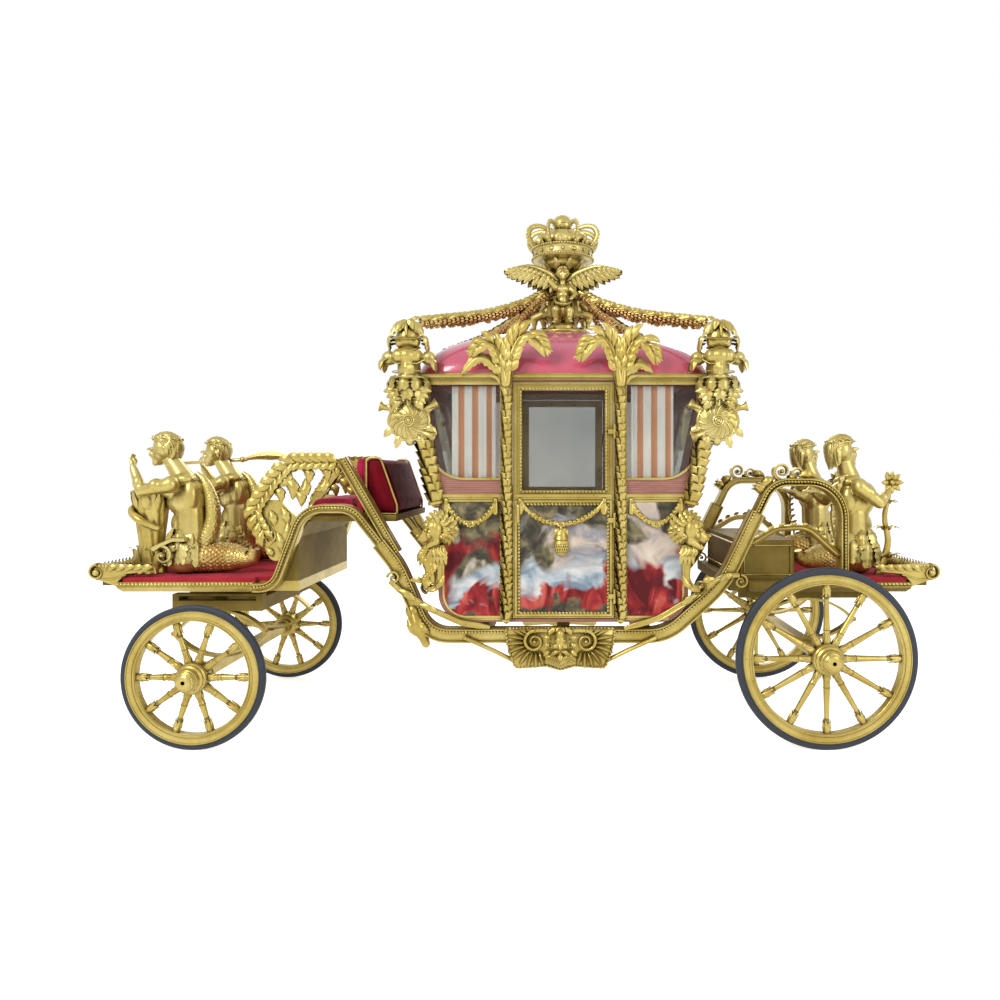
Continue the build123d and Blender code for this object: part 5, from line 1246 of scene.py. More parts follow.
def triton_front():
    """A front sea-man: head up, arms round a fluted column, a scaled band down the back and a curled tail."""
    lump = masses_of(FRONT_BODY)
    lump.join(masses_of(HEAD), Matrix.Translation((-0.150, 0, 0.812))
              @ Matrix.Rotation(math.radians(-8), 4, "Y"))
    hand(lump, (-0.290, -0.115, 0.690), (-0.25, 0.2, 0.9), (-1, 0, -0.2))
    hand(lump, (-0.315, 0.105, 0.560), (-0.8, -0.3, 0.3), (0, 0, 1))
    body = skin(lump, 0.0066, 4)
    hair(body, (-0.142, 0, 0.822), 10, 5)
    band = scaly([(0.060, 0, 0.665), (0.120, 0, 0.600), (0.165, 0, 0.470), (0.170, 0, 0.340),
                  (0.120, 0, 0.210), (0.080, 0, 0.150)], [0.012, 0.034, 0.046, 0.052, 0.062, 0.060], 0.022,
                 15)
    body.join(band)
    hip_leaves(body, (0, 0, 0.195), 9, 3)
    hip_leaves(body, (0, 0, 0.245), 8, 7, 0.135, 0.075)
    coil = Form()
    scroll(coil, (-0.090, 0.130), 0.070, 150, -1, -0.128, 0.026, 0.066,
           tail=((0.06, 0.235), (-0.02, 0.235), (-0.10, 0.20)))
    body.join(coil)
    tail = scaly([(-0.015, 0, 0.118), (0.11, 0.015, 0.108), (0.24, 0.03, 0.103), (0.35, 0.02, 0.098),
                  (0.425, 0.0, 0.10), (0.452, -0.01, 0.165)], [0.116, 0.112, 0.103, 0.094, 0.062, 0.030],
                 0.022, 22)
    for side in (-1, 1):
        tail.curved_leaf([(0.440, -0.01, 0.150), (0.452, side * 0.05, 0.215), (0.425, side * 0.115, 0.262)],
                         12, 0.040, vec(-1, 0, 0.3), lobes=6, cup=0.15)
    shell = Form()
    shell.lathe([(0.070, 0.0), (0.098, 0.006), (0.094, 0.03), (0.074, 0.10), (0.070, 0.16), (0.078, 0.25),
                 (0.090, 0.36), (0.102, 0.46), (0.110, 0.52), (0.112, 0.545), (0.096, 0.552),
                 (0.060, 0.530)], (-0.234, 0, 0), (0, 0, 1), 66,
                lambda a, h: 1 + 0.085 * np.cos(11 * (a + 1.1 * h)) * (h < 0.93))
    for n in range(9):
        a = 2 * math.pi * n / 9
        out = ray(a)
        foot = vec(-0.234, 0, 0.0)
        shell.curved_leaf([foot + out * 0.086, foot + out * 0.100 + vec(0, 0, 0.09),
                           foot + out * 0.118 + vec(0, 0, 0.175), foot + out * 0.142 + vec(0, 0, 0.165)],
                          12, 0.036, out, lobes=5, cup=0.2)
        shell.curved_leaf([foot + out * 0.092 + vec(0, 0, 0.40), foot + out * 0.116 + vec(0, 0, 0.47),
                           foot + out * 0.126 + vec(0, 0, 0.545)], 9, 0.030, out, lobes=3, cup=0.2)
    shell.tube(curve([(-0.15, -0.09, 0.30), (-0.25, -0.125, 0.36), (-0.33, -0.07, 0.42),
                      (-0.32, 0.03, 0.47)], 20), [0.020, 0.026, 0.022, 0.012], 9)
    return body, tail, shell


def triton_rear():
    """A rear sea-man that looks back over the road, one arm round a rosette, the tail towards the cabin."""
    lump = masses_of(REAR_BODY)
    lump.join(masses_of(HEAD), Matrix.Translation((-0.095, 0, 0.800))
              @ Matrix.Rotation(math.radians(180), 4, "Z"))
    hand(lump, (0.170, -0.095, 0.545), (0.5, 0.35, 0.7), (-0.7, 0, 0.5))
    hand(lump, (-0.240, 0.105, 0.520), (-0.8, -0.3, 0.3), (0, 0, 1))
    body = skin(lump, 0.0066, 4)
    locks = Form()
    hair(locks, (0, 0, 0), 8, 9, long=0.20, nape=0.9)
    body.join(locks, Matrix.Translation((-0.098, 0, 0.806)) @ Matrix.Rotation(math.radians(180), 4, "Z"))
    for n in range(11):
        t = n / 10
        root = vec(-0.105 - 0.05 * math.sin(math.pi * t), -0.085 + 0.02 * t, 0.650 - 0.44 * t)
        body.leaf([root, root + vec(-0.034, -0.018, -0.018), root + vec(-0.038, -0.006, -0.075)], 0.028,
                  vec(-0.6, -0.8, 0.1), rows=7, lobes=3, cup=0.2)
    hip_leaves(body, (0, 0, 0.195), 9, 4)
    hip_leaves(body, (0, 0, 0.245), 8, 8, 0.135, 0.075)
    tail = scaly([(0.015, 0, 0.118), (-0.10, 0.015, 0.105), (-0.22, 0.03, 0.100), (-0.31, 0.02, 0.090),
                  (-0.365, 0.01, 0.10), (-0.385, 0, 0.150)], [0.112, 0.108, 0.099, 0.084, 0.054, 0.026],
                 0.022, 22)
    bloom = Form()
    middle = vec(0.190, -0.085, 0.60)
    bloom.tube(curve([(0.12, -0.06, 0.0), (0.175, -0.075, 0.20), (0.150, -0.085, 0.38),
                      (0.185, -0.085, 0.56), (0.170, -0.08, 0.66)], 26),
               [0.030, 0.022, 0.018, 0.016, 0.010], 8)
    for level, size, count in ((0.10, 0.075, 6), (0.28, 0.06, 6), (0.45, 0.055, 6)):
        for n in range(count):
            a = 2 * math.pi * n / count + level * 9
            out = vec(math.cos(a), math.sin(a), 0.35)
            root = vec(0.165, -0.075, level)
            bloom.curved_leaf([root, root + out * size * 0.8 + vec(0, 0, 0.02),
                               root + out * size * 1.5 - vec(0, 0, 0.01)], 9, 0.024,
                              unit(out + vec(0, 0, 1)), lobes=3)
    for ring, reach in ((6, 0.055), (8, 0.080)):
        for n in range(ring):
            a = 2 * math.pi * n / ring
            out = unit(vec(math.cos(a) * 0.9, -0.35, math.sin(a)))
            bloom.curved_leaf([middle, middle + out * reach * 0.6 + vec(0, -0.012, 0),
                               middle + out * reach], 7, 0.021, -Y, cup=0.4)
    bloom.ball(middle + vec(0, -0.020, 0), 0.020, (0, 1, 0), 5, 9)
    return body, tail, bloom


def tritons():
    """Two sea-men on each deck, drawn round the hips and mirrored for the right, and a paddle in front."""
    for end, hip_x, make in (("front", -2.176, triton_front), ("rear", 2.249, triton_rear)):
        body, tail, more = make()
        place = Matrix.Translation((hip_x, -0.370, CARPET_TOP))
        first = None
        for name, form, paint in ((f"triton_{end}_body", body, PALE_GOLD),
                                  (f"triton_{end}_tail", tail, TAIL_GOLD),
                                  (f"triton_{end}_ornament", more, GOLD)):
            pieces = Form().join(form, place).pair(name, paint=paint)
            first = first or pieces[0]
        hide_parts(f"tritons_{end}")
    oar = Form()
    oar.tube([(-2.60, 0.40, 1.742), (-2.10, 0.40, 1.772)], [0.011, 0.013], 10)
    oar.curved_leaf([(-2.13, 0.40, 1.772), (-2.00, 0.402, 1.800), (-1.86, 0.402, 1.800),
                     (-1.75, 0.40, 1.775)], 15, 0.036, -Y, cup=0.12, rib=0.3, peak=0.55)
    oar.lathe([(0.010, -0.02), (0.020, -0.012), (0.022, 0), (0.018, 0.012), (0.010, 0.02)],
              (-2.13, 0.40, 1.771), (1, 0, 0), 12)
    oar.piece("triton_oar", paint=TAIL_GOLD)


# Painted panels, trophies, lions and masks

def rounded_outline(points, radii, steps=8):
    """A closed outline in x and z with rounded corners."""
    out = []
    n = len(points)
    for k in range(n):
        a, b, c = (np.array(points[(k + d) % n], float) for d in (-1, 0, 1))
        radius = radii[k]
        out += bend(a, b, c, radius, steps) if radius > 0 else [b]
    return np.array(out)


def plate(form, outline, y, thick, bevel):
    """A flat plate in an upright plane, its bevelled face towards -Y."""
    outline = np.asarray(outline, float)
    middle = outline.mean(0)
    outline = wound(outline)
    small = outline + unit(middle - outline) * bevel
    rows = [(outline, y), (outline, y - thick + bevel), (small, y - thick)]
    pts = np.array([[(p[0], level, p[1]) for p in line] for line, level in rows])
    return form.net(pts, wrap=True, caps=(True, True))


def painted_panels():
    """The pictures below the belt: one on each door and quarter panel."""
    door = Form()
    plate(door, [(CABIN_X - 0.276, 0.796), (CABIN_X + 0.276, 0.796), (CABIN_X + 0.276, 1.471),
                 (CABIN_X - 0.276, 1.471)], SIDE_Y, 0.0022, 0.0008)
    for side, sign in SIDES:
        Form().join(door, mirror=sign > 0).piece(f"picture_door_{side}", f"door_{side}", PAINTINGS[1],
                                                 angle=30)
    for end, sign in (("front", -1), ("rear", 1)):
        outline = rounded_outline([(CABIN_X + sign * 0.394, 0.774), (CABIN_X + sign * 0.746, 0.774),
                                   (CABIN_X + sign * 0.746, 1.491), (CABIN_X + sign * 0.394, 1.491)],
                                  (0, 0.141, 0, 0), 10)
        panel = Form()
        plate(panel, outline, SIDE_Y, 0.0022, 0.0008)
        panel.pair(f"picture_{end}", paint=PAINTINGS[0 if sign < 0 else 2], angle=30)


def horn(form, start, end, bell):
    """A trumpet with a flared bell."""
    thin = 0.008
    start, end = np.asarray(start, float), np.asarray(end, float)
    long = float(np.linalg.norm(end - start))
    form.lathe([(thin, 0), (thin, long * 0.45), (thin * 1.7, long * 0.5), (thin * 1.2, long * 0.55),
                (thin * 1.8, long * 0.74), (bell * 0.55, long * 0.90), (bell * 0.95, long * 0.985),
                (bell, long), (bell * 0.92, long * 1.004), (bell * 0.5, long * 0.93), (thin, long * 0.80)],
               start, end - start, 18)


def trophy():
    """A hung suit of armour: plumed helmet, ribbed shield, trumpets, leaves. x points away from the door."""
    y = -0.656
    form = Form()
    lump = masses_of((
        (0.006, y, 2.392, 0.122, 0.080, 0.070), (-0.050, y - 0.048, 2.392, 0.056, 0.040, 0.048),
        (0.062, y - 0.048, 2.392, 0.056, 0.040, 0.048),
        (0.006, y, 2.320, 0.104, 0.072, 0.075), (0.006, y - 0.042, 2.315, 0.070, 0.036, 0.060),
        (0.006, y, 2.262, 0.112, 0.076, 0.030),
        (-0.116, y, 2.386, 0.046, 0.050, 0.046), (0.128, y, 2.386, 0.046, 0.050, 0.046),
        (0.006, y, 2.462, 0.056, 0.052, 0.050),
    ))
    form.join(skin(lump, 0.0065, 5))
    for height, size, bead in ((2.452, 0.064, 0.008), (2.262, 0.116, 0.007), (2.300, 0.104, 0.004)):
        ring = [(0.006 + size * math.cos(a), y + size * 0.72 * math.sin(a), height)
                for a in np.linspace(0, 2 * math.pi, 31)]
        form.tube(ring, bead, 7)
    for side in (-1, 1):
        form.tube(curve([(0.006 + side * 0.006, y - 0.082, 2.352), (0.006 + side * 0.055, y - 0.086, 2.340),
                         (0.006 + side * 0.105, y - 0.060, 2.368)], 9), 0.0045, 6)
        form.tube(spiral((0.006 + side * 0.056, 2.398), 0.030, 1.2, 90, side, 0.2, 18, y - 0.092), 0.0038, 6)
        for n in range(5):
            a = math.radians(-70 + 35 * n)
            root = vec(0.006 + side * 0.118, y + 0.030 * math.sin(a), 2.385)
            tip = root + vec(side * 0.050, 0.050 * math.sin(a) - 0.01, -0.085)
            form.curved_leaf([root, root + vec(side * 0.042, 0.034 * math.sin(a) - 0.012, -0.022), tip], 7,
                             0.030, unit(vec(side, math.sin(a) - 0.2, 0.4)), cup=0.2)
    for count, top, low, reach, wide in ((9, 2.276, 2.180, 0.112, 0.048), (8, 2.238, 2.122, 0.094, 0.050)):
        for n in range(count):
            a = 2 * math.pi * n / count
            out = vec(math.cos(a), 0.74 * math.sin(a), 0)
            root = vec(0.006, y, top) + out * reach * 0.92
            tip = vec(0.006, y, low) + out * (reach + 0.022)
            form.curved_leaf([root, (root + tip) / 2 + out * 0.016, tip,
                              tip + out * 0.012 + vec(0, 0, 0.004)], 12, wide, out, cup=0.25, lobes=4,
                             peak=0.5, blunt=0.35)
    for side in (-1, 1):
        form.lathe([(0.020, 0.055), (0.034, 0.050), (0.040, 0.012), (0.056, 0.0), (0.060, -0.010),
                    (0.050, -0.014), (0.030, 0.004)][::-1], (0.006 + side * 0.056, y - 0.030, 2.188),
                   (0.0, 0.0, 1.0), 24, lambda a, h: 1 + 0.05 * np.cos(9 * a))
    # Helmet, crest and plumes
    helm = masses_of(((0.010, y, 2.512, 0.080, 0.078, 0.082), (0.012, y + 0.02, 2.470, 0.066, 0.060, 0.040),
                      (0.052, y - 0.030, 2.486, 0.040, 0.036, 0.046),
                      (-0.034, y - 0.030, 2.486, 0.040, 0.036, 0.046)))
    form.join(skin(helm, 0.0065, 3))
    form.lathe([(0.074, 0), (0.100, 0.004), (0.104, 0.010), (0.096, 0.015), (0.076, 0.018)],
               (0.010, y - 0.006, 2.506), (0.0, -0.28, 1), 36)
    form.tube(curve([(0.010, y - 0.082, 2.515), (0.010, y - 0.074, 2.570), (0.010, y - 0.02, 2.603),
                     (0.010, y + 0.06, 2.580)], 14), [0.008, 0.012, 0.014, 0.010], 8)
    pick = random.Random(11)
    for n in range(11):
        lean = -1 + 2 * n / 10
        root = vec(0.010 + lean * 0.030, y - 0.036 + 0.05 * abs(lean), 2.575)
        high = 2.618 - 0.028 * lean * lean + pick.uniform(-0.008, 0.006)
        middle = vec(0.010 + lean * 0.066, y - 0.052 + pick.uniform(-0.02, 0.02), high)
        tip = vec(0.010 + lean * 0.108, y - 0.066 + pick.uniform(-0.03, 0.03),
                  high - 0.060 - 0.02 * abs(lean))
        form.curved_leaf([root, middle, tip], 12, 0.034, vec(lean * 0.5, -0.8, 0.6), lobes=4, cup=0.3,
                         thick=0.3)
    for side in (-1, 1):
        for n in range(3):
            root = vec(0.010 + side * 0.076, y - 0.020 + 0.02 * n, 2.520 - 0.018 * n)
            form.curved_leaf([root, root + vec(side * 0.040, -0.022, -0.012),
                              root + vec(side * 0.046, -0.016, -0.072)], 11, 0.034, vec(side, -0.8, 0.2),
                             lobes=4)
    # Shield: ribs, curved bands and a beaded rim
    shield_y, shield_z = y - 0.030, 1.995
    form.lathe([(0.126, 0), (0.130, 0.008), (0.124, 0.018), (0.112, 0.020), (0.084, 0.036), (0.048, 0.046),
                (0.016, 0.050)], (0, shield_y + 0.028, shield_z), (0, -1, 0), 48,
               lambda a, h: 1 + 0.09 * np.clip(np.cos(a - math.pi), 0, 1) ** 14 * (h < 0.6))
    for n in range(16):
        a = 2 * math.pi * n / 16
        line = [(r * math.cos(a + 0.9 * (0.118 - r) / 0.118), shield_y + 0.028 - d,
                 shield_z + r * math.sin(a + 0.9 * (0.118 - r) / 0.118))
                for r, d in ((0.114, 0.021), (0.088, 0.035), (0.060, 0.044), (0.034, 0.049))]
        form.tube(line, [0.0066, 0.0055, 0.004], 6)
    for r, d, size in ((0.121, 0.019, 0.006), (0.032, 0.050, 0.006), (0.018, 0.052, 0.005)):
        form.tube([(r * math.cos(a), shield_y + 0.028 - d, shield_z + r * math.sin(a))
                   for a in np.linspace(0, 2 * math.pi, 33)], size, 6)
    for side in (-1, 1):
        ring = spiral((side * 0.054, 2.004), 0.030, 1.3, 90, side, 0.2, 20, shield_y - 0.014)
        form.tube(ring, 0.0042, 6)
    form.ball((0, shield_y - 0.024, shield_z), (0.014, 0.014, 0.010), (0, 1, 0), 5, 10)
    # Trumpets, laurel and ribbon ends behind the shield
    horn(form, (0.03, y - 0.010, 2.02), (-0.168, y - 0.030, 2.100), 0.036)
    horn(form, (0.04, y - 0.012, 1.98), (-0.150, y - 0.026, 1.892), 0.036)
    horn(form, (-0.02, y - 0.008, 2.03), (0.182, y - 0.020, 2.086), 0.034)
    for side, angle in ((-1, 150), (-1, 205), (1, 30), (1, -30), (1, -62), (-1, 242)):
        a = math.radians(angle)
        root = vec(0.09 * math.cos(a), y - 0.012, shield_z + 0.09 * math.sin(a))
        way = vec(math.cos(a), 0, math.sin(a))
        form.curved_leaf([root, root + way * 0.05 + vec(0, -0.016, 0.01),
                          root + way * 0.096 + vec(0, -0.004, -0.008)], 11, 0.034, -Y, lobes=4)
    for side in (-1, 1):
        for n in range(4):
            root = vec(0.006 + side * 0.030, y - 0.050, 2.165 - 0.016 * n)
            tip = root + vec(side * (0.120 - 0.018 * n), -0.004, -0.022 - 0.022 * n + 0.03)
            form.curved_leaf([root, (root + tip) / 2 + vec(0, -0.020, 0.014), tip], 12, 0.032, -Y, lobes=4,
                             cup=0.3, thick=0.2)
    form.tube([(0.004, y - 0.004, 2.16), (0, y, 1.87)], [0.034, 0.030], 12)
    return form


def trophies():
    """The trophy at each corner of the cabin."""
    form = trophy()
    both = Form()
    for sign in (-1, 1):
        flip = Matrix.Diagonal((sign, 1, 1, 1))
        both.join(form, Matrix.Translation((CABIN_X + sign * 0.955, 0, 0)) @ flip)
    both.pair("trophy", paint=PALE_GOLD, replaces=("corner_trophies",))


def lion():
    """A lion's head with its mouth open, looking towards +X. y is negative towards the viewer."""
    form = Form()
    lump = masses_of((
        (0.000, -0.030, 0.010, 0.078, 0.052, 0.078), (0.018, -0.056, 0.022, 0.050, 0.044, 0.052),
        (0.030, -0.060, -0.004, 0.044, 0.086, -0.062, -0.036, 0.033),
        (0.104, -0.062, -0.026, 0.018, 0.022, 0.014),
        (0.096, -0.064, -0.044, 0.024, 0.030, 0.014),
        (0.010, -0.058, -0.062, 0.030, 0.070, -0.060, -0.094, 0.016),
        (0.078, -0.060, -0.098, 0.016, 0.018, 0.014), (0.052, -0.086, 0.030, 0.028, 0.012, 0.011),
        (0.052, -0.036, 0.030, 0.028, 0.012, 0.011),
        (0.044, -0.090, -0.022, 0.028, 0.018, 0.024), (0.078, -0.062, 0.000, 0.026, 0.016, 0.014),
    ))
    form.join(skin(lump, 0.0045, 3))
    for y in (-0.096, -0.030):
        form.ball((0.060, y, 0.012), 0.0105, (0, 0, 1), 5, 8)
        form.tube(curve([(0.046, y * 1.02, 0.014), (0.060, y * 1.08, 0.023), (0.076, y * 1.0, 0.010)], 6),
                  0.004, 5)
    for y in (-0.078, -0.048):
        form.lathe([(0.005, 0), (0.0015, 0.016)], (0.092, y, -0.052), (0, 0, -1), 6)
        form.lathe([(0.005, 0), (0.0015, 0.014)], (0.074, y, -0.090), (0, 0, 1), 6)
    form.ball((0.118, -0.062, -0.022), (0.010, 0.018, 0.010), (0, 0, 1), 5, 8)
    for y in (-0.088, -0.036):
        form.leaf([(0.0, y, 0.060), (-0.004, y * 1.1, 0.084), (0.012, y * 1.12, 0.098)], 0.020,
                  vec(0.4, -0.8, 0.3), rows=6, cup=0.5)
    pick = random.Random(23)
    rings = (
        # start radius, end radius, locks, forward, width
        (0.040, 0.128, 20, -0.012, 0.021), (0.036, 0.104, 17, -0.040, 0.019),
        (0.038, 0.084, 14, -0.064, 0.016),
    )
    for start, end, count, forward, wide in rings:
        for n in range(count):
            a = 2 * math.pi * n / count + pick.uniform(-0.07, 0.07)
            facing = math.cos(a + 0.55)
            if facing > 0.55 and forward < -0.03:
                continue
            long = end * (1.0 - 0.30 * max(0, facing)) * pick.uniform(0.95, 1.06)
            swirl = 0.34 * (1 if math.sin(a) > -0.2 else -1)
            points = []
            for t in (0, 0.35, 0.7, 1.0):
                r = start + (long - start) * t
                b = a + swirl * math.sin(t * 2.6)
                points.append((-0.004 + r * math.cos(b),
                               forward - 0.026 * math.sin(math.pi * (0.25 + 0.65 * t)),
                               0.006 + r * math.sin(b)))
            form.curved_leaf(points, 8, wide, vec(math.cos(a) * 0.35, -1, math.sin(a) * 0.35), cup=0.1,
                             rib=0.45, blunt=0.45)
    for n in range(5):
        root = vec(0.040 - 0.014 * n, -0.060 - 0.006 * (n % 2), -0.098)
        form.curved_leaf([root, root + vec(0.006, -0.010, -0.030),
                          root + vec(-0.004 - 0.006 * n, -0.004, -0.064)], 7, 0.012, -Y, rib=0.4)
    return form


def console(front):
    """The scrolled leg under a lion, with leaves. x is measured from the middle of the cabin."""
    form = Form()
    y = SIDE_Y - 0.030
    leg = rounded(at_y([(0.766, 1.215), (0.766, 1.010), (0.800, 0.950), (0.850, 0.950)], y), [0.07, 0.03],
                  0.012)
    n = len(leg)
    section = np.array([(-0.026, -0.026), (-0.026, 0.022), (-0.016, 0.030), (-0.008, 0.023), (0.008, 0.023),
                        (0.016, 0.030), (0.026, 0.022), (0.026, -0.026)])
    form.sweep(leg, section, np.interp(np.linspace(0, 1, n), [0, 0.5, 1], [1.15, 0.92, 0.75]), up=-Y)
    coil = spiral((0.850, 0.962), 0.040, 1.25, -90, 1, 0.2, 30, y)
    form.sweep(coil, ring_section(8) * vec(0.010, 0.028), np.linspace(1, 0.45, 30), up=Y)
    form.ball((0.850, y - 0.020, 0.962), (0.013, 0.013, 0.012), (0, 1, 0), 5, 9)
    for lean in (-1, -0.3, 0.4, 1):
        form.curved_leaf([(0.766 + lean * 0.012, y - 0.022, 1.228),
                          (0.766 + lean * 0.030, y - 0.044, 1.165),
                          (0.766 + lean * 0.040, y - 0.036, 1.100)], 10, 0.022, -Y, lobes=4, cup=0.2)
    form.curved_leaf([(0.866, y - 0.010, 0.985), (0.905, y - 0.022, 1.006), (0.962, y - 0.006, 1.000)], 10,
                     0.024, -Y, lobes=4)
    form.curved_leaf([(0.800, y - 0.024, 0.956), (0.760, y - 0.034, 0.985), (0.742, y - 0.024, 1.040)], 10,
                     0.020, -Y, lobes=4)
    form.lathe([(0.030, 0), (0.036, 0.006), (0.036, 0.016), (0.028, 0.022)], (0.766, y, 1.205), (0, 0, 1), 16)
    if front:
        pick = random.Random(7)
        for n in range(16):
            t = n / 15
            root = vec(0.800 + 0.026 * math.sin(9 * t), y - 0.012, 1.235 - 0.22 * t)
            way = vec(0.060 + 0.024 * math.sin(5 * t + 1), 0, -0.085)
            tip = root + way * pick.uniform(0.85, 1.15)
            form.curved_leaf([root, root + way * 0.5 + vec(0.018, -0.034, 0.008), tip], 10, 0.026,
                             vec(0.3, -1, 0.1), lobes=4, cup=0.25)
        form.tube(curve([(0.790, y - 0.006, 1.24), (0.835, y - 0.012, 1.12), (0.815, y - 0.010, 1.00)], 14),
                  [0.030, 0.040, 0.022], 10)
    return form


def lions():
    """A lion's head on its console at each corner of the cabin."""
    head = lion()
    both = Form()
    for sign in (-1, 1):
        flip = Matrix.Diagonal((sign, 1, 1, 1))
        tilt = Matrix.Rotation(math.radians(4), 4, "Y")
        both.join(head, Matrix.Translation((CABIN_X + sign * 0.783, SIDE_Y - 0.012, 1.312)) @ flip @ tilt)
        both.join(console(sign < 0), Matrix.Translation((CABIN_X, 0, 0)) @ flip)
    both.pair("lion", replaces=("lion_consoles",))


MASK_AT = (0.29, 0.59)  # the middle of the panel, in x and z


def step_masks():
    """The panel under each door: a bearded face among leaves, between curled horns and fluted shells."""
    form = Form()
    x0, z0 = MASK_AT
    y = -BEAM_OUT
    outline = rounded_outline([(x0 - 0.345, 0.704), (x0 - 0.325, 0.560), (x0 - 0.285, 0.452),
                               (x0 - 0.09, 0.466), (x0, 0.440), (x0 + 0.09, 0.466), (x0 + 0.285, 0.452),
                               (x0 + 0.325, 0.560), (x0 + 0.345, 0.704)],
                              (0.012, 0.04, 0.03, 0.05, 0.06, 0.05, 0.03, 0.04, 0.012), 5)
    plate(form, outline, y, 0.026, 0.006)
    edge = np.vstack([outline, outline[:1]])
    form.rope(np.stack([edge[:, 0] * 0.985 + x0 * 0.015, np.full(len(edge), y - 0.027),
                        (edge[:, 1] - z0) * 0.97 + z0], 1), 0.006, 0.022, sides=6, up=Y)
    face = masses_of((
        (0, -0.024, 0.075, 0.058, 0.034, 0.040), (0, -0.026, 0.020, 0.056, 0.040, 0.072),
        (-0.031, -0.050, -0.002, 0.021, 0.017, 0.018),
        (0.031, -0.050, -0.002, 0.021, 0.017, 0.018), (-0.026, -0.060, 0.038, 0.026, 0.011, 0.009),
        (0.026, -0.060, 0.038, 0.026, 0.011, 0.009),
        (0, -0.060, 0.040, 0.009, 0, -0.080, -0.006, 0.013), (-0.012, -0.068, -0.010, 0.010, 0.010, 0.008),
        (0.012, -0.068, -0.010, 0.010, 0.010, 0.008),
        (0, -0.058, -0.036, 0.020, 0.010, 0.006), (0, -0.056, -0.047, 0.017, 0.010, 0.006),
        (0, -0.040, -0.075, 0.030, 0.026, 0.030),
    ))
    form.join(skin(face, 0.0045, 2), Matrix.Translation((x0, y - 0.022, z0 + 0.012)))
    fy = y - 0.022
    for side in (-1, 1):
        eye = vec(x0 + side * 0.024, fy - 0.054, z0 + 0.030)
        form.ball(eye, (0.011, 0.009, 0.009), (0, 0, 1), 6, 10)
        form.tube(curve([eye + vec(-0.015, -0.001, 0.001), eye + vec(0, -0.009, 0.010),
                         eye + vec(0.015, -0.001, 0)], 7), 0.0034, 5)
        form.tube(curve([eye + vec(-0.014, -0.002, -0.002), eye + vec(0, -0.008, -0.009),
                         eye + vec(0.014, -0.002, -0.002)], 7), 0.003, 5)
        form.curved_leaf([(x0 + side * 0.004, fy - 0.080, z0 - 0.012),
                          (x0 + side * 0.034, fy - 0.078, z0 - 0.022),
                          (x0 + side * 0.062, fy - 0.052, z0 - 0.050)], 9, 0.012, -Y, rib=0.5, cup=0.1)
        # Horns curled like scrolls, leaves round the brow and fluted shells
        lead = at_y([(x0 + side * 0.060, z0 + 0.098), (x0 + side * 0.105, z0 + 0.104)], y - 0.045)
        coil = spiral((x0 + side * 0.160, z0 + 0.034), 0.068, 1.5, 90, -side, 0.2, 40, y - 0.045)
        coil = resample(np.vstack([lead, coil]), 60)
        ridged = ring_section(10) * vec(0.015, 0.019)
        form.sweep(coil, ridged, np.linspace(1.0, 0.42, 60) * (1 + 0.07 * np.cos(np.arange(60) * 2.1)), up=Y)
        form.ball((x0 + side * 0.160, y - 0.052, z0 + 0.034), (0.012, 0.012, 0.012), (0, 1, 0), 6, 10)
        for n in range(12):
            a = math.radians(86 - 17.5 * n)
            root = vec(x0 + side * (0.150 + 0.052 * math.cos(a)), y - 0.028, z0 + 0.024 + 0.052 * math.sin(a))
            reach = 0.090 + 0.050 * math.sin(math.radians(28 + 12 * n))
            tip = root + vec(side * reach * math.cos(a), -0.006, reach * 0.86 * math.sin(a) - 0.008)
            tip[2] = min(tip[2], 0.700)
            middle = (root + tip) / 2 + vec(0, -0.026, 0.010)
            form.curved_leaf([root, middle, tip], 9, 0.0165, -Y, cup=0.5, rib=0.55, peak=0.62, blunt=0.42)
        for n in range(5):
            a = math.radians(20 + 30 * n) if side > 0 else math.radians(160 - 30 * n)
            root = vec(x0 + 0.040 * math.cos(a), fy - 0.040, z0 + 0.076 + 0.022 * math.sin(a))
            tip = vec(x0 + 0.096 * math.cos(a), fy - 0.030, min(z0 + 0.080 + 0.060 * math.sin(a), 0.702))
            form.curved_leaf([root, (root + tip) / 2 + vec(0, -0.024, 0.006), tip], 11, 0.024, -Y, lobes=5,
                             cup=0.2)
        for n in range(3):
            root = vec(x0 + side * 0.054, fy - 0.034, z0 + 0.045 - 0.036 * n)
            tip = root + vec(side * 0.052, -0.006, 0.018 - 0.022 * n)
            form.curved_leaf([root, (root + tip) / 2 + vec(0, -0.016, 0.008), tip], 9, 0.018, -Y, lobes=4)
    for n in range(13):
        lean = -1 + 2 * n / 12
        root = vec(x0 + lean * 0.040, fy - 0.052 + 0.02 * abs(lean), z0 - 0.058 + 0.030 * abs(lean))
        low = z0 - 0.135 + 0.055 * abs(lean) ** 1.5
        points = [root, root + vec(lean * 0.016 + 0.005, -0.018, -0.022),
                  vec(x0 + lean * 0.078 - 0.006, fy - 0.046, (root[2] + low) / 2 - 0.008),
                  vec(x0 + lean * 0.100 + 0.008, fy - 0.026, low)]
        form.curved_leaf(points, 12, 0.0115, -Y, cup=0.1, rib=0.55, blunt=0.4)
    form.curved_leaf([(x0, fy - 0.046, z0 + 0.084), (x0, fy - 0.066, z0 + 0.108), (x0, fy - 0.050, 0.702)],
                     9, 0.022, -Y, lobes=4)
    for side in (-1, 1):
        form.sweep(rounded(at_y([(x0 + side * 0.30, 0.500), (x0 + side * 0.42, 0.560),
                                 (x0 + side * 0.60, 0.640)], y - 0.004), [0.3], 0.02),
                   ring_section(8) * vec(0.014, 0.016), 1.0, up=Y)
    form.pair("step_mask", replaces=("step_masks",))


# Roof, pedestal, cherubs, crown and garlands

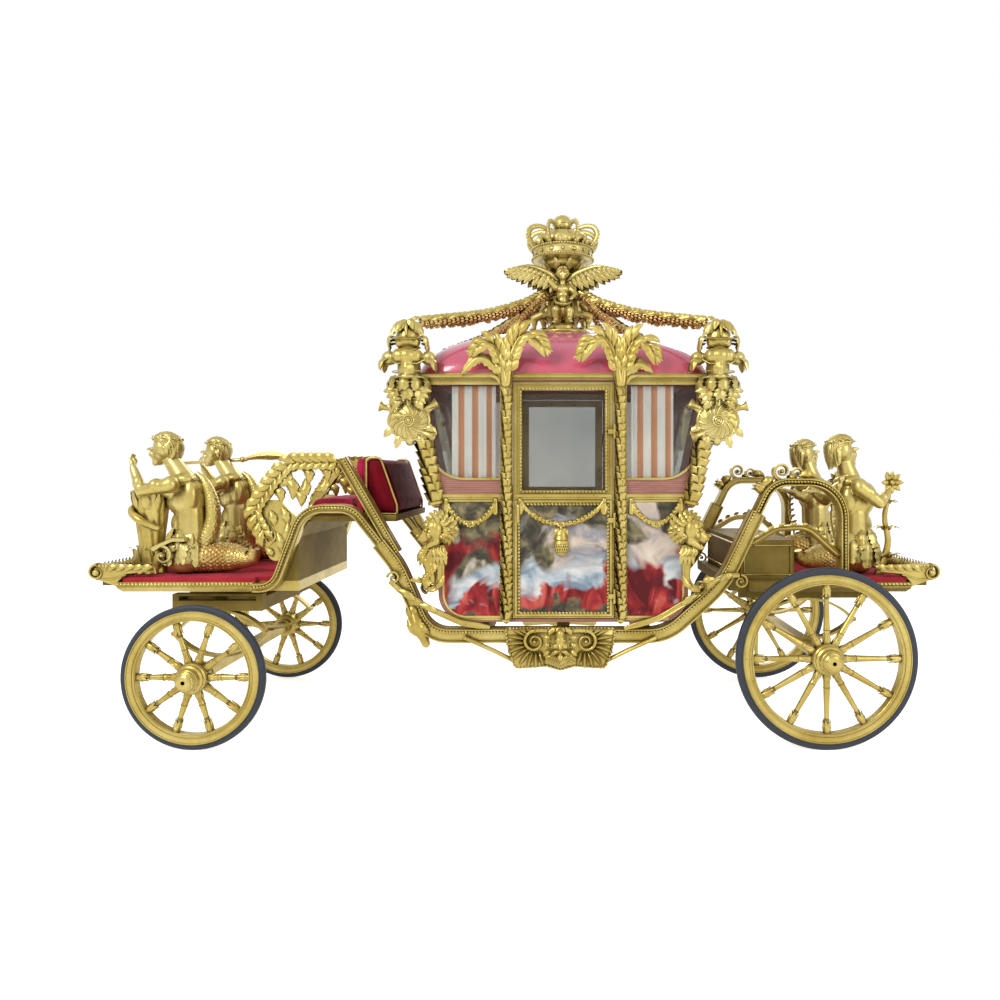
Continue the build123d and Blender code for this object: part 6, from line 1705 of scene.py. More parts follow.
def roof():
    """The domed roof, an ellipse from the side, rounder in plan the higher it is, with an inner skin."""
    low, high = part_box("cabin_roof")
    half_x, half_y, base, rise = (high.x - low.x) / 2, (high.y - low.y) / 2, low.z, high.z - low.z
    a = np.linspace(0, 2 * math.pi, 128, endpoint=False)
    rows = []
    for inset, shares in ((0.0, np.linspace(0, 0.985, 30)), (0.022, np.linspace(0.985, 0, 16))):
        for t in shares:
            turn = t * math.pi / 2
            power = 2 / (9 - 6.8 * t ** 0.75)
            c, s = np.cos(a), np.sin(a)
            x = np.sign(c) * np.abs(c) ** power * (half_x - inset) * math.cos(turn)
            y = np.sign(s) * np.abs(s) ** power * (half_y - inset) * math.cos(turn)
            rows.append(np.stack([CABIN_X + x, y,
                                  np.full(len(a), base + (rise - inset) * math.sin(turn) ** 0.96)], 1))
    dome = Form().net(np.array(rows), wrap=True, caps=(False, False))
    n = len(a)
    last = (len(rows) - 1) * n
    dome.faces += [(last + j, last + (j + 1) % n, (j + 1) % n, j) for j in range(n)]
    dome.piece("roof_dome", paint=ROOF, slot="roof_red", replaces=("cabin_roof",), angle=None)
    edge = Form()
    ring = np.vstack([rows[0], rows[0][:1]])
    edge.sweep(ring + vec(0, 0, 0.004), ring_section(8) * 0.007, 1.0)
    edge.beads(ring + vec(0, 0, 0.006), 0.0055, 0.0125, rings=4, sides=6)
    edge.piece("roof_edge")


def pedestal():
    """Leaves, ropes and flutes on the roof's pedestal."""
    form = Form()
    centre = vec(CABIN_X, 0, 0)
    form.lathe([(0.06, 2.636), (0.194, 2.636), (0.201, 2.646), (0.199, 2.656), (0.188, 2.664),
                (0.06, 2.664)], centre, Z, 56)
    for height, radius, size in ((2.904, 0.094, 0.005), (2.952, 0.092, 0.005), (2.745, 0.090, 0.006),
                                 (3.006, 0.092, 0.006)):
        form.rope(level_ring(centre, radius, height, 41), size, 0.018, sides=6)
    for n in range(12):
        a = 2 * math.pi * n / 12
        out = ray(a)
        form.tube([centre + out * 0.081 + vec(0, 0, 2.77), centre + out * 0.076 + vec(0, 0, 2.885)], 0.0055,
                  6)
    for n in range(9):
        a = 2 * math.pi * n / 9 + 0.2
        out = ray(a)
        points = [centre + out * 0.096 + vec(0, 0, 2.700), centre + out * 0.112 + vec(0, 0, 2.740),
                  centre + out * 0.140 + vec(0, 0, 2.768), centre + out * 0.168 + vec(0, 0, 2.752)]
        form.curved_leaf(points, 11, 0.030, out + vec(0, 0, 0.4), lobes=4)
        points = [centre + out * 0.110 + vec(0, 0, 2.672), centre + out * 0.150 + vec(0, 0, 2.688),
                  centre + out * 0.192 + vec(0, 0, 2.672)]
        form.curved_leaf(points, 10, 0.034, Z, lobes=4)
    form.piece("pedestal_leaves")


CHILD = (
    # a seated child that looks towards +X, from the pedestal's axis
    (0.116, 0, 2.800, 0.050, 0.108, 0, 2.850, 0.048), (0.108, 0, 2.850, 0.046, 0.116, 0, 2.942, 0.043),
    (0.140, 0, 2.862, 0.036, 0.040, 0.040),
    (0.146, 0.022, 2.940, 0.020, 0.024, 0.024), (0.146, -0.022, 2.940, 0.020, 0.024, 0.024),
    (0.088, 0, 2.800, 0.040, 0.058, 0.036),
    (0.118, 0, 2.962, 0.020, 0.126, 0, 3.010, 0.019),
    (0.140, 0.034, 2.800, 0.033, 0.208, 0.050, 2.778, 0.026),
    (0.208, 0.050, 2.778, 0.026, 0.206, 0.046, 2.716, 0.015),
    (0.206, 0.046, 2.748, 0.022, 0.024, 0.026), (0.206, 0.046, 2.708, 0.014, 0.238, 0.052, 2.700, 0.010),
    (0.140, -0.034, 2.800, 0.033, 0.196, -0.052, 2.790, 0.026),
    (0.196, -0.052, 2.790, 0.026, 0.178, -0.048, 2.722, 0.015),
    (0.184, -0.050, 2.756, 0.022, 0.024, 0.026), (0.178, -0.048, 2.714, 0.014, 0.208, -0.056, 2.700, 0.010),
    (0.116, 0.050, 2.955, 0.024, 0.150, 0.088, 2.908, 0.018),
    (0.150, 0.088, 2.908, 0.018, 0.190, 0.062, 2.868, 0.012),
    (0.196, 0.058, 2.862, 0.016, 0.012, 0.010), (0.116, -0.050, 2.958, 0.024, 0.122, -0.100, 3.012, 0.018),
    (0.122, -0.100, 3.012, 0.018, 0.084, -0.096, 3.082, 0.012), (0.080, -0.095, 3.094, 0.012, 0.010, 0.018),
)


def feathered_wing():
    """A wing spread in the plane of x and z from its root at the origin, in three rows of feathers."""
    wing = Form()
    arm = curve([(0, 0, 3.010), (0.09, 0.004, 3.062), (0.22, 0.006, 3.092), (0.33, 0.004, 3.066),
                 (0.415, 0, 3.004)], 30)
    wing.tube(arm[:28], [0.024, 0.022, 0.017, 0.011, 0.004], 8)
    for face in (-1, 1):
        for start, stop, count, long, wide, lift in ((0.10, 0.97, 12, 0.125, 0.021, 0.004),
                                                     (0.04, 0.88, 12, 0.085, 0.019, 0.008),
                                                     (0.0, 0.80, 13, 0.050, 0.016, 0.012)):
            for n in range(count):
                share = start + (stop - start) * n / (count - 1)
                k = int(share * 29)
                lean = math.radians(-84 + 62 * share)
                way = vec(math.cos(lean), 0, math.sin(lean))
                size = long * (0.80 + 0.35 * math.sin(math.pi * share))
                root = arm[k] + vec(0, face * lift * 0.8, 0)
                points = [root, root + way * size * 0.55 + vec(0.010, face * (lift + 0.004), 0),
                          root + way * size + vec(0.020, face * lift * 0.4, 0.006)]
                if points[-1][0] > 0.425 or share > 0.90:
                    continue
                wing.curved_leaf(points, 7, wide, vec(0, face, 0), cup=0.1, rib=0.3, peak=0.6, blunt=0.35)
    return wing


def cherubs():
    """Three winged children round the pedestal."""
    body = masses_of(CHILD)
    head = Matrix.Translation((0.134, 0, 3.050)) @ Matrix.Rotation(math.pi, 4, "Z")
    body.join(masses_of(HEAD), head, scale=0.50)
    child = skin(body, 0.0058, 5)
    pick = random.Random(5)
    for n in range(74):
        up = pick.uniform(-0.15, 1.0)
        a = pick.uniform(0, 2 * math.pi)
        flat = math.sqrt(1 - min(1, up) ** 2)
        if math.cos(a) * flat > 0.52 and up < 0.72:
            continue
        spot = vec(0.128 + 0.043 * flat * math.cos(a), 0.037 * flat * math.sin(a), 3.056 + 0.043 * up)
        child.ball(spot, (0.0105, 0.0105, 0.0085), (flat * math.cos(a), flat * math.sin(a), up), 4, 7)
    for side in (-1, 1):
        child.ball((0.168, side * 0.015, 3.056), (0.005, 0.006, 0.005), (0, 0, 1), 4, 7)
    swing = curve([(0.106, 0.052, 2.860), (0.168, 0.02, 2.828), (0.172, -0.04, 2.836),
                   (0.120, -0.056, 2.880)], 14)
    child.sweep(swing, ring_section(8) * vec(0.010, 0.017), 1.0)
    wing = feathered_wing()
    for side in (-1, 1):
        child.join(wing, Matrix.Translation((0.078, side * 0.026, 0))
                   @ Matrix.Rotation(math.radians(side * 68), 4, "Z"))
    trio = Form()
    for turn in (30, 150, 270):
        trio.join(child, Matrix.Translation((CABIN_X, 0, 0)) @ Matrix.Rotation(math.radians(turn), 4, "Z"))
    trio.piece("winged_cherubs", paint=PALE_GOLD, replaces=("cherubs",))


def crown():
    """The crown: a studded band with leaves, eight beaded arches and an orb over leaves."""
    form = Form()
    centre = vec(CABIN_X, 0, 0)
    form.lathe([(0.060, 3.022), (0.066, 3.084), (0.090, 3.096), (0.126, 3.104), (0.150, 3.128),
                (0.146, 3.158), (0.184, 3.164), (0.210, 3.168), (0.216, 3.178), (0.206, 3.188),
                (0.203, 3.194), (0.203, 3.230), (0.206, 3.236), (0.216, 3.246), (0.208, 3.256),
                (0.188, 3.262)], centre, Z, 64)
    form.lathe([(0.184, 3.262), (0.198, 3.285), (0.190, 3.322), (0.150, 3.356), (0.080, 3.372),
                (0.05, 3.372)], centre, Z, 64, lambda a, h: 1 + 0.045 * np.abs(np.cos(4 * a)) ** 0.7
               * (1 - h))
    for height in (3.178, 3.246):
        form.beads(level_ring(centre, 0.216, height, 81), 0.0085, 0.019, rings=5, sides=8)
    for n in range(16):
        a = 2 * math.pi * n / 16
        out = ray(a)
        if n % 2:
            form.ball(centre + out * 0.204 + vec(0, 0, 3.212), (0.020, 0.014, 0.009), out, 6, 12)
        else:
            form.ball(centre + out * 0.204 + vec(0, 0, 3.212), (0.013, 0.013, 0.010), out, 6, 4)
    for n in range(8):
        a = 2 * math.pi * n / 8
        out, across_way = ray(a), vec(-math.sin(a), math.cos(a), 0)
        root = centre + out * 0.210 + vec(0, 0, 3.244)
        for lean, high in ((-0.042, 0.036), (0, 0.070), (0.042, 0.036)):
            tip = root + across_way * lean + out * 0.024 + vec(0, 0, high)
            form.curved_leaf([root, (root + tip) / 2 + out * 0.002 + vec(0, 0, 0.014), tip + out * 0.008],
                             8, 0.019, out, cup=0.2)
        form.ball(root + out * 0.012 + vec(0, 0, 0.018), 0.009, out, 5, 8)
    for n in range(8):
        a = 2 * math.pi * (n + 0.5) / 8
        out = ray(a)
        line = curve([centre + out * r + vec(0, 0, h)
                      for r, h in ((0.206, 3.248), (0.246, 3.296), (0.258, 3.340), (0.232, 3.386),
                                   (0.170, 3.402), (0.092, 3.384), (0.040, 3.378))], 40)
        form.sweep(line, ring_section(8) * vec(0.020, 0.009), np.linspace(1.05, 0.72, 40),
                   up=np.cross(out, Z))
        form.beads(line + unit(line - (centre + vec(0, 0, 3.300))) * 0.013, 0.0095, 0.021, rings=5, sides=7)
    form.lathe([(0.036, 3.366), (0.052, 3.374), (0.040, 3.384), (0.030, 3.392)], centre, Z, 24)
    top = centre + vec(0, 0, 3.4305)
    form.ball(top, 0.069, Z, 14, 28)
    form.tube(level_ring(top, 0.0695, 0, 33), 0.0045, 6)
    form.tube([top + vec(0.0690 * math.cos(a), 0, 0.0690 * math.sin(a))
               for a in np.linspace(0, math.pi, 17)], 0.0042, 6)
    for n in range(10):
        a = 2 * math.pi * n / 10
        out = ray(a)
        points = [centre + out * 0.072 + vec(0, 0, 3.078), centre + out * 0.116 + vec(0, 0, 3.088),
                  centre + out * 0.160 + vec(0, 0, 3.128), centre + out * 0.178 + vec(0, 0, 3.158)]
        form.curved_leaf(points, 10, 0.036, out - vec(0, 0, 0.8), lobes=4)
    form.piece("carved_crown", paint=PALE_GOLD, replaces=("crown",))


def flowers(form, spot, size, out):
    """A small open flower of five petals."""
    u, v, w = basis(out)
    for n in range(5):
        a = 2 * math.pi * n / 5
        way = u * math.cos(a) + v * math.sin(a)
        form.leaf([spot, spot + way * size * 0.6 + w * size * 0.30, spot + way * size + w * size * 0.05],
                  size * 0.55, w, rows=5, cup=-0.3, peak=0.6)
    form.ball(spot + w * size * 0.22, size * 0.24, w, 4, 6)


def garlands():
    """The garlands from the pedestal to the roof's corners, with flowers under them and a short tail each."""
    smooth, leafy = Form(), Form()
    pick = random.Random(31)
    ribbed = 1 + 0.12 * np.cos(3 * np.linspace(0, 2 * math.pi, 9, endpoint=False))
    for sign in (-1, 1):
        path = curve([(CABIN_X + sign * x, y, z)
                      for x, y, z in ((0.075, -0.042, 2.968), (0.19, -0.105, 2.872), (0.33, -0.190, 2.800),
                                      (0.47, -0.30, 2.738), (0.60, -0.410, 2.694), (0.76, -0.51, 2.655),
                                      (0.90, -0.600, 2.622))], 60)
        smooth.sweep(path + vec(0, 0, 0.014), ring_section(9) * ribbed[:, None] * 0.022,
                     0.92 + 0.16 * np.sin(np.arange(60) * 1.9), twist=3.0)
        for n in range(26):
            spot = path[int(n * 59 / 25)]
            smooth.curved_leaf([spot + vec(0, -0.016, 0.030), spot + vec(sign * 0.03, -0.030, 0.022),
                                spot + vec(sign * 0.062, -0.028, 0.000)], 7, 0.019, vec(0, -0.85, 0.5))
        leafy_rope(leafy, path - vec(0, 0, 0.012), 0.027, 0.030, around=7, wide=0.015)
        for n in range(30):
            spot = path[int(n * 59 / 29)] + vec(pick.uniform(-0.012, 0.012), pick.uniform(-0.026, 0.022),
                                                -0.030 - pick.uniform(0, 0.012))
            flowers(leafy, spot, pick.uniform(0.017, 0.024),
                    vec(pick.uniform(-0.3, 0.3), -0.8, pick.uniform(-0.8, 0.1)))
        tail = curve([(CABIN_X + sign * 0.19, -0.112, 2.860), (CABIN_X + sign * 0.27, -0.19, 2.748),
                      (CABIN_X + sign * 0.355, -0.265, 2.652)], 30)
        leafy_rope(leafy, tail, 0.020, 0.026, around=6, wide=0.013)
        for n in range(10):
            flowers(leafy, tail[3 * n] + vec(0, -0.016, -0.006), pick.uniform(0.015, 0.021), vec(0, -1, 0.2))
    smooth.pair("garland_tops")
    leafy.pair("garland_flowers", paint=BRONZE, replaces=("roof_garlands",))


# Strips beside the doors, curtains and cushions

CURTAIN_TOP = CABIN_TOP - 0.035
CLOTH_FRAMES = 18


def gold_strips():
    """Gold strips beside the doors, above the windows and along the bottom edge."""
    form = Form()
    top, base = CABIN_TOP - 0.0005, 0.7465
    for sign in (-1, 1):
        x0, x1 = CABIN_X + sign * 0.3235, CABIN_X + sign * 0.3985
        plate(form, [(x0, base), (x1, base), (x1, top), (x0, top)], SIDE_Y, 0.0024, 0.0008)
        far = CABIN_X + sign * 0.838
        plate(form, [(x1, 2.228), (far, 2.228), (far + sign * 0.085, top), (x1, top)], SIDE_Y, 0.0030, 0.0010)
        plate(form, [(x1, base), (CABIN_X + sign * 0.66, base), (CABIN_X + sign * 0.66, 0.773),
                     (x1, 0.773)], SIDE_Y, 0.0024, 0.0008)
        for x in (0.329, 0.392):
            form.sweep(at_y([(CABIN_X + sign * x, base + 0.01), (CABIN_X + sign * x, top - 0.01)],
                            SIDE_Y - 0.002), ring_section(6) * 0.0034, 1.0, up=Y)
    form.pair("gold_strips", angle=35)


def pleated(x0, x1, low, high, y, depth, folds, seed):
    """A hanging curtain: a thin doubled sheet in waves, its folds deeper towards the hem."""
    pick = random.Random(seed)
    columns, rows = folds * 10 + 1, 26
    shifts = [pick.uniform(-0.25, 0.25) for _ in range(folds + 2)]
    u = np.linspace(0, 1, columns)
    phase = 2 * math.pi * folds * (u + np.interp(u * folds, range(folds + 2), shifts) * 0.10)
    t = np.linspace(0, 1, rows)[:, None]
    swing = depth * (0.45 + 0.55 * t) * np.sin(phase + 0.25 * np.sin(2 * math.pi * t))
    x = x0 + (x1 - x0) * u + 0.30 * depth * np.sin(2 * phase)
    z = high - (high - low) * t + 0.0025 * np.cos(phase) * t
    front = np.stack([np.broadcast_to(x, (rows, columns)), y + swing, np.broadcast_to(z, (rows, columns))], 2)
    back = front + vec(0, 0.0012, 0)
    flat_width = float(np.linalg.norm(np.diff(front[rows // 2], axis=0), axis=1).sum())
    ring = np.concatenate([front, back[:, ::-1]], 1)
    form = Form().net(ring, wrap=True, caps=(True, True))
    across_share = np.concatenate([u, u[::-1]])
    return form, np.tile(across_share, rows) * flat_width, flat_width


def curtains():
    """Two stretches of curtain at each side window and a strip at the front door post."""
    table = (
        # name, edges from the cabin's middle, hem, folds
        ("front", -0.705, -0.425, 1.632, 6), ("post", -0.400, -0.352, 1.572, 1),
        ("rear", 0.430, 0.700, 1.632, 6),
    )
    depth_y = -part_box("curtains")[0].y
    for side, sign in SIDES:
        for name, x0, x1, hem, folds in table:
            y = sign * (depth_y - 0.009)
            form, across_share, wide = pleated(CABIN_X + x0, CABIN_X + x1, hem, CURTAIN_TOP, y, 0.0062,
                                               folds, 7 + folds)
            piece = form.piece(f"curtain_{name}_{side}", paint=CURTAIN, slot="cabin_cloth", angle=None,
                               replaces=("curtains",) if (name, side) == ("front", "left") else ())
            share = piece.data.attributes.new("across", "FLOAT", "POINT")
            share.data.foreach_set("value", np.asarray(across_share, np.float32))


def block(x0, x1, y0, y1, z0, z1, cuts=8, crown_by=0.0, round_by=0.03):
    """A box with rounded edges and crowned faces, as a grid of points."""
    form = Form()
    size = vec(x1 - x0, y1 - y0, z1 - z0) / 2
    middle = vec(x0 + x1, y0 + y1, z0 + z1) / 2
    grids = []
    for axis in range(3):
        for sign in (-1, 1):
            u, v = np.meshgrid(np.linspace(-1, 1, cuts * 2 + 1), np.linspace(-1, 1, cuts * 2 + 1),
                               indexing="ij")
            pts = np.zeros(u.shape + (3,))
            pts[..., axis] = sign
            pts[..., (axis + 1) % 3] = u if sign > 0 else v
            pts[..., (axis + 2) % 3] = v if sign > 0 else u
            grids.append(pts)
    for pts in grids:
        place = pts * size
        inner = np.clip(place, -(size - round_by), size - round_by)
        way = place - inner
        place = inner + unit(way) * round_by * (np.linalg.norm(way, axis=-1, keepdims=True) > 1e-9)
        swell = np.prod(1 - np.clip(np.abs(pts), 0, 1) ** 2 + (np.abs(pts) > 0.999), axis=-1)
        place = place + pts * (np.abs(pts) > 0.999) * (crown_by * swell)[..., None]
        form.net(place + middle)
    return form


def stuffed(name, form, paint, voxel, cap, pressure=4.0, replaces=(), shape_by=None):
    """A padded piece: remeshed and swollen by a short cloth run, no point further than cap from its start."""
    shell = form.mesh(name)
    piece = bpy.data.objects.new(name, shell)
    bpy.context.scene.collection.objects.link(piece)
    bpy.context.view_layer.objects.active = piece
    skin_over = piece.modifiers.new("remesh", "REMESH")
    skin_over.mode = "VOXEL"
    skin_over.voxel_size = voxel
    bpy.context.view_layer.update()
    made = bpy.data.meshes.new_from_object(piece.evaluated_get(bpy.context.evaluated_depsgraph_get()))
    piece.modifiers.clear()
    piece.data = made
    start = np.empty(len(made.vertices) * 3, np.float32)
    made.vertices.foreach_get("co", start)
    start = start.reshape(-1, 3).astype(float)
    cloth_run = piece.modifiers.new("cloth", "CLOTH")
    settings = cloth_run.settings
    settings.quality = 5
    settings.mass = 0.3
    settings.use_pressure = True
    settings.uniform_pressure_force = pressure
    settings.tension_stiffness = settings.compression_stiffness = 12
    settings.bending_stiffness = 0.6
    settings.effector_weights.gravity = 0
    scene = bpy.context.scene
    for frame_number in range(1, CLOTH_FRAMES + 1):
        scene.frame_set(frame_number)
    run = piece.evaluated_get(bpy.context.evaluated_depsgraph_get()).to_mesh()
    now = np.empty(len(run.vertices) * 3, np.float32)
    run.vertices.foreach_get("co", now)
    now = now.reshape(-1, 3).astype(float)
    piece.modifiers.clear()
    scene.frame_set(1)
    move = now - start
    far = np.linalg.norm(move, axis=1, keepdims=True)
    now = start + move * np.minimum(1, cap / np.maximum(far, 1e-9))
    if shape_by:
        now = shape_by(now)
    piece.data.vertices.foreach_set("co", now.astype(np.float32).ravel())
    piece.data.polygons.foreach_set("use_smooth", [True] * len(piece.data.polygons))
    piece.data.update()
    relax = piece.modifiers.new("relax", "SMOOTH")
    relax.iterations = 3
    finer = piece.modifiers.new("finer", "SUBSURF")
    finer.levels = finer.render_levels = 1
    bpy.context.view_layer.update()
    final = bpy.data.meshes.new_from_object(piece.evaluated_get(bpy.context.evaluated_depsgraph_get()))
    piece.modifiers.clear()
    piece.data = final
    final.polygons.foreach_set("use_smooth", [True] * len(final.polygons))
    final.materials.clear()
    final.materials.append(paint)
    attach(piece, CHASSIS)
    if replaces:
        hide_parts(*replaces)
    return piece


def driver_cushions():
    """The seat and back cushions of crimson velvet, with sunk buttons."""
    low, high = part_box("driver_cushions")
    seat_top = low.z + 0.105
    split = high.x - 0.075
    y0, y1 = low.y + 0.012, high.y - 0.012

    def buttons(axis, level, spots, depth, reach):
        def shape_by(points):
            out = points.copy()
            for u, v in spots:
                others = [k for k in range(3) if k != axis]
                far = np.hypot(points[:, others[0]] - u, points[:, others[1]] - v)
                near = np.exp(-(far / reach) ** 2) * (np.abs(points[:, axis] - level) < 0.045)
                out[:, axis] -= depth * near
            return out
        return shape_by

    seat_spots = [(low.x + 0.115 + 0.13 * i, y) for i in range(2)
                  for y in np.linspace(y0 + 0.14, y1 - 0.14, 5)]
    seat = block(low.x + 0.012, split - 0.012, y0, y1, low.z + 0.004, seat_top - 0.020, 8, 0.012, 0.028)
    stuffed("seat_cushion", seat, CRIMSON, voxel=0.008, cap=0.016, replaces=("driver_cushions",),
            shape_by=buttons(2, seat_top, seat_spots, 0.014, 0.030))
    back_spots = [(y, z) for z in (low.z + 0.19, low.z + 0.31) for y in np.linspace(y0 + 0.14, y1 - 0.14, 5)]

    def back_shape(points):
        out = points.copy()
        for u, v in back_spots:
            far = np.hypot(points[:, 1] - u, points[:, 2] - v)
            out[:, 0] += 0.014 * np.exp(-(far / 0.030) ** 2) * (points[:, 0] < split + 0.035)
        return out

    back = block(split + 0.010, high.x - 0.006, y0, y1, low.z + 0.006, high.z - 0.012, 8, 0.008, 0.026)
    stuffed("back_cushion", back, CRIMSON, voxel=0.008, cap=0.012, shape_by=back_shape)
    trim = Form()
    for y, z in back_spots:
        trim.ball((split + 0.013, y, z), (0.010, 0.010, 0.006), X, 5, 10)
    for x, y in seat_spots:
        trim.ball((x, y, seat_top - 0.020), (0.010, 0.010, 0.006), Z, 5, 10)
    trim.piece("cushion_buttons", paint=MAROON, slot="maroon")


def back_box():
    """The padded box behind the driver's back: maroon hide with gold piping round each side."""
    low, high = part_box("driver_back_box")
    x0, x1, z0, z1 = low.x, high.x, low.z, high.z
    outline = rounded_outline([(x0, z0 + 0.002), (x0, z1 - 0.002), (x0 + 0.094, z1 - 0.002),
                               (x1 - 0.002, z0 + 0.060), (x1 - 0.002, z0 + 0.002)],
                              (0.012, 0.030, 0.040, 0.020, 0.012), 7)
    middle = outline.mean(0)
    outline = wound(outline)
    y0, y1 = low.y + 0.012, high.y - 0.012
    levels = [y1, y1 - 0.010] + list(np.linspace(y1 - 0.03, y0 + 0.03, 25)) + [y0 + 0.010, y0]
    rows = []
    for y in levels:
        edge = min(y1 - y, y - y0)
        shrink = 0.012 * (1 - min(1, edge / 0.012)) ** 2
        tuft = 0.004 * math.cos((y - y0) / (y1 - y0) * 2 * math.pi * 5)
        scale = 1 - shrink / 0.15 - 0.02 + tuft * (edge > 0.02)
        rows.append(np.array([(middle[0] + (p[0] - middle[0]) * scale, y,
                               middle[1] + (p[1] - middle[1]) * scale) for p in outline]))
    body = Form().net(np.array(rows), wrap=True, caps=(True, True))
    stuffed("back_box_pad", body, MAROON, voxel=0.009, cap=0.010, pressure=2.0,
            replaces=("driver_back_box",))
    trim = Form()
    line = [(middle[0] + (p[0] - middle[0]) * 0.985, middle[1] + (p[1] - middle[1]) * 0.985) for p in outline]
    for y in (y0 - 0.004, y1 + 0.004):
        trim.tube(np.array([(x, y, z) for x, z in line + line[:1]]), 0.0075, 8)
    trim.piece("back_box_piping")


def cabin_cushions():
    """The two cabin benches' seat and back pads."""
    low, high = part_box("cabin_cushions")
    seat_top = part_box("cabin_benches")[1].z
    for name, sign in (("front", -1), ("rear", 1)):
        wall = low.x if sign < 0 else high.x
        x0, x1 = sorted((wall - sign * 0.078, wall - sign * 0.30))
        y0, y1 = low.y + 0.012, high.y - 0.012
        pad = block(x0, x1, y0, y1, seat_top + 0.004, seat_top + 0.060, 6, 0.008, 0.024)
        stuffed(f"bench_cushion_{name}", pad, SEAT_CLOTH,
                voxel=0.012, cap=0.012, replaces=("cabin_cushions",) if sign < 0 else ())
        x0, x1 = sorted((wall - sign * 0.008, wall - sign * 0.066))
        pad = block(x0, x1, y0, y1, seat_top + 0.074, high.z - 0.012, 6, 0.006, 0.024)
        stuffed(f"bench_back_{name}", pad, SEAT_CLOTH, voxel=0.012, cap=0.010)


# Driver's seat, deck ends, rear arches, body straps and the rear box's frames

def moulded(wide, deep):
    """A beam's section: a flat face towards -Y with a round lip at each edge."""
    a, b = deep / 2, wide / 2
    return np.array([(-a, -b * 0.86), (-a * 0.80, -b), (-a * 0.58, -b * 0.84), (-a * 0.40, -b * 0.70),
                     (0, -b * 0.64), (a * 0.40, -b * 0.70), (a * 0.58, -b * 0.84), (a * 0.80, -b),
                     (a, -b * 0.86), (a, b), (-a, b)])


def leafy_edge(form, path, y, size, pitch, outward):
    """Curled leaves along a line in an upright plane, each pointing along it and out from it."""
    count = max(2, int(length_of(path) / pitch))
    spots = resample(path, count + 1)
    way = unit(np.gradient(spots, axis=0))
    for k in range(count):
        out = vec(-way[k][2], 0, way[k][0]) * outward
        root = spots[k] + vec(0, y, 0)
        tip = root + way[k] * size * 1.1 + out * size * 0.55
        form.curved_leaf([root, (root + tip) / 2 + out * size * 0.22 + vec(0, -size * 0.18, 0), tip], 9,
                         size * 0.42, -Y, lobes=4, cup=0.25)


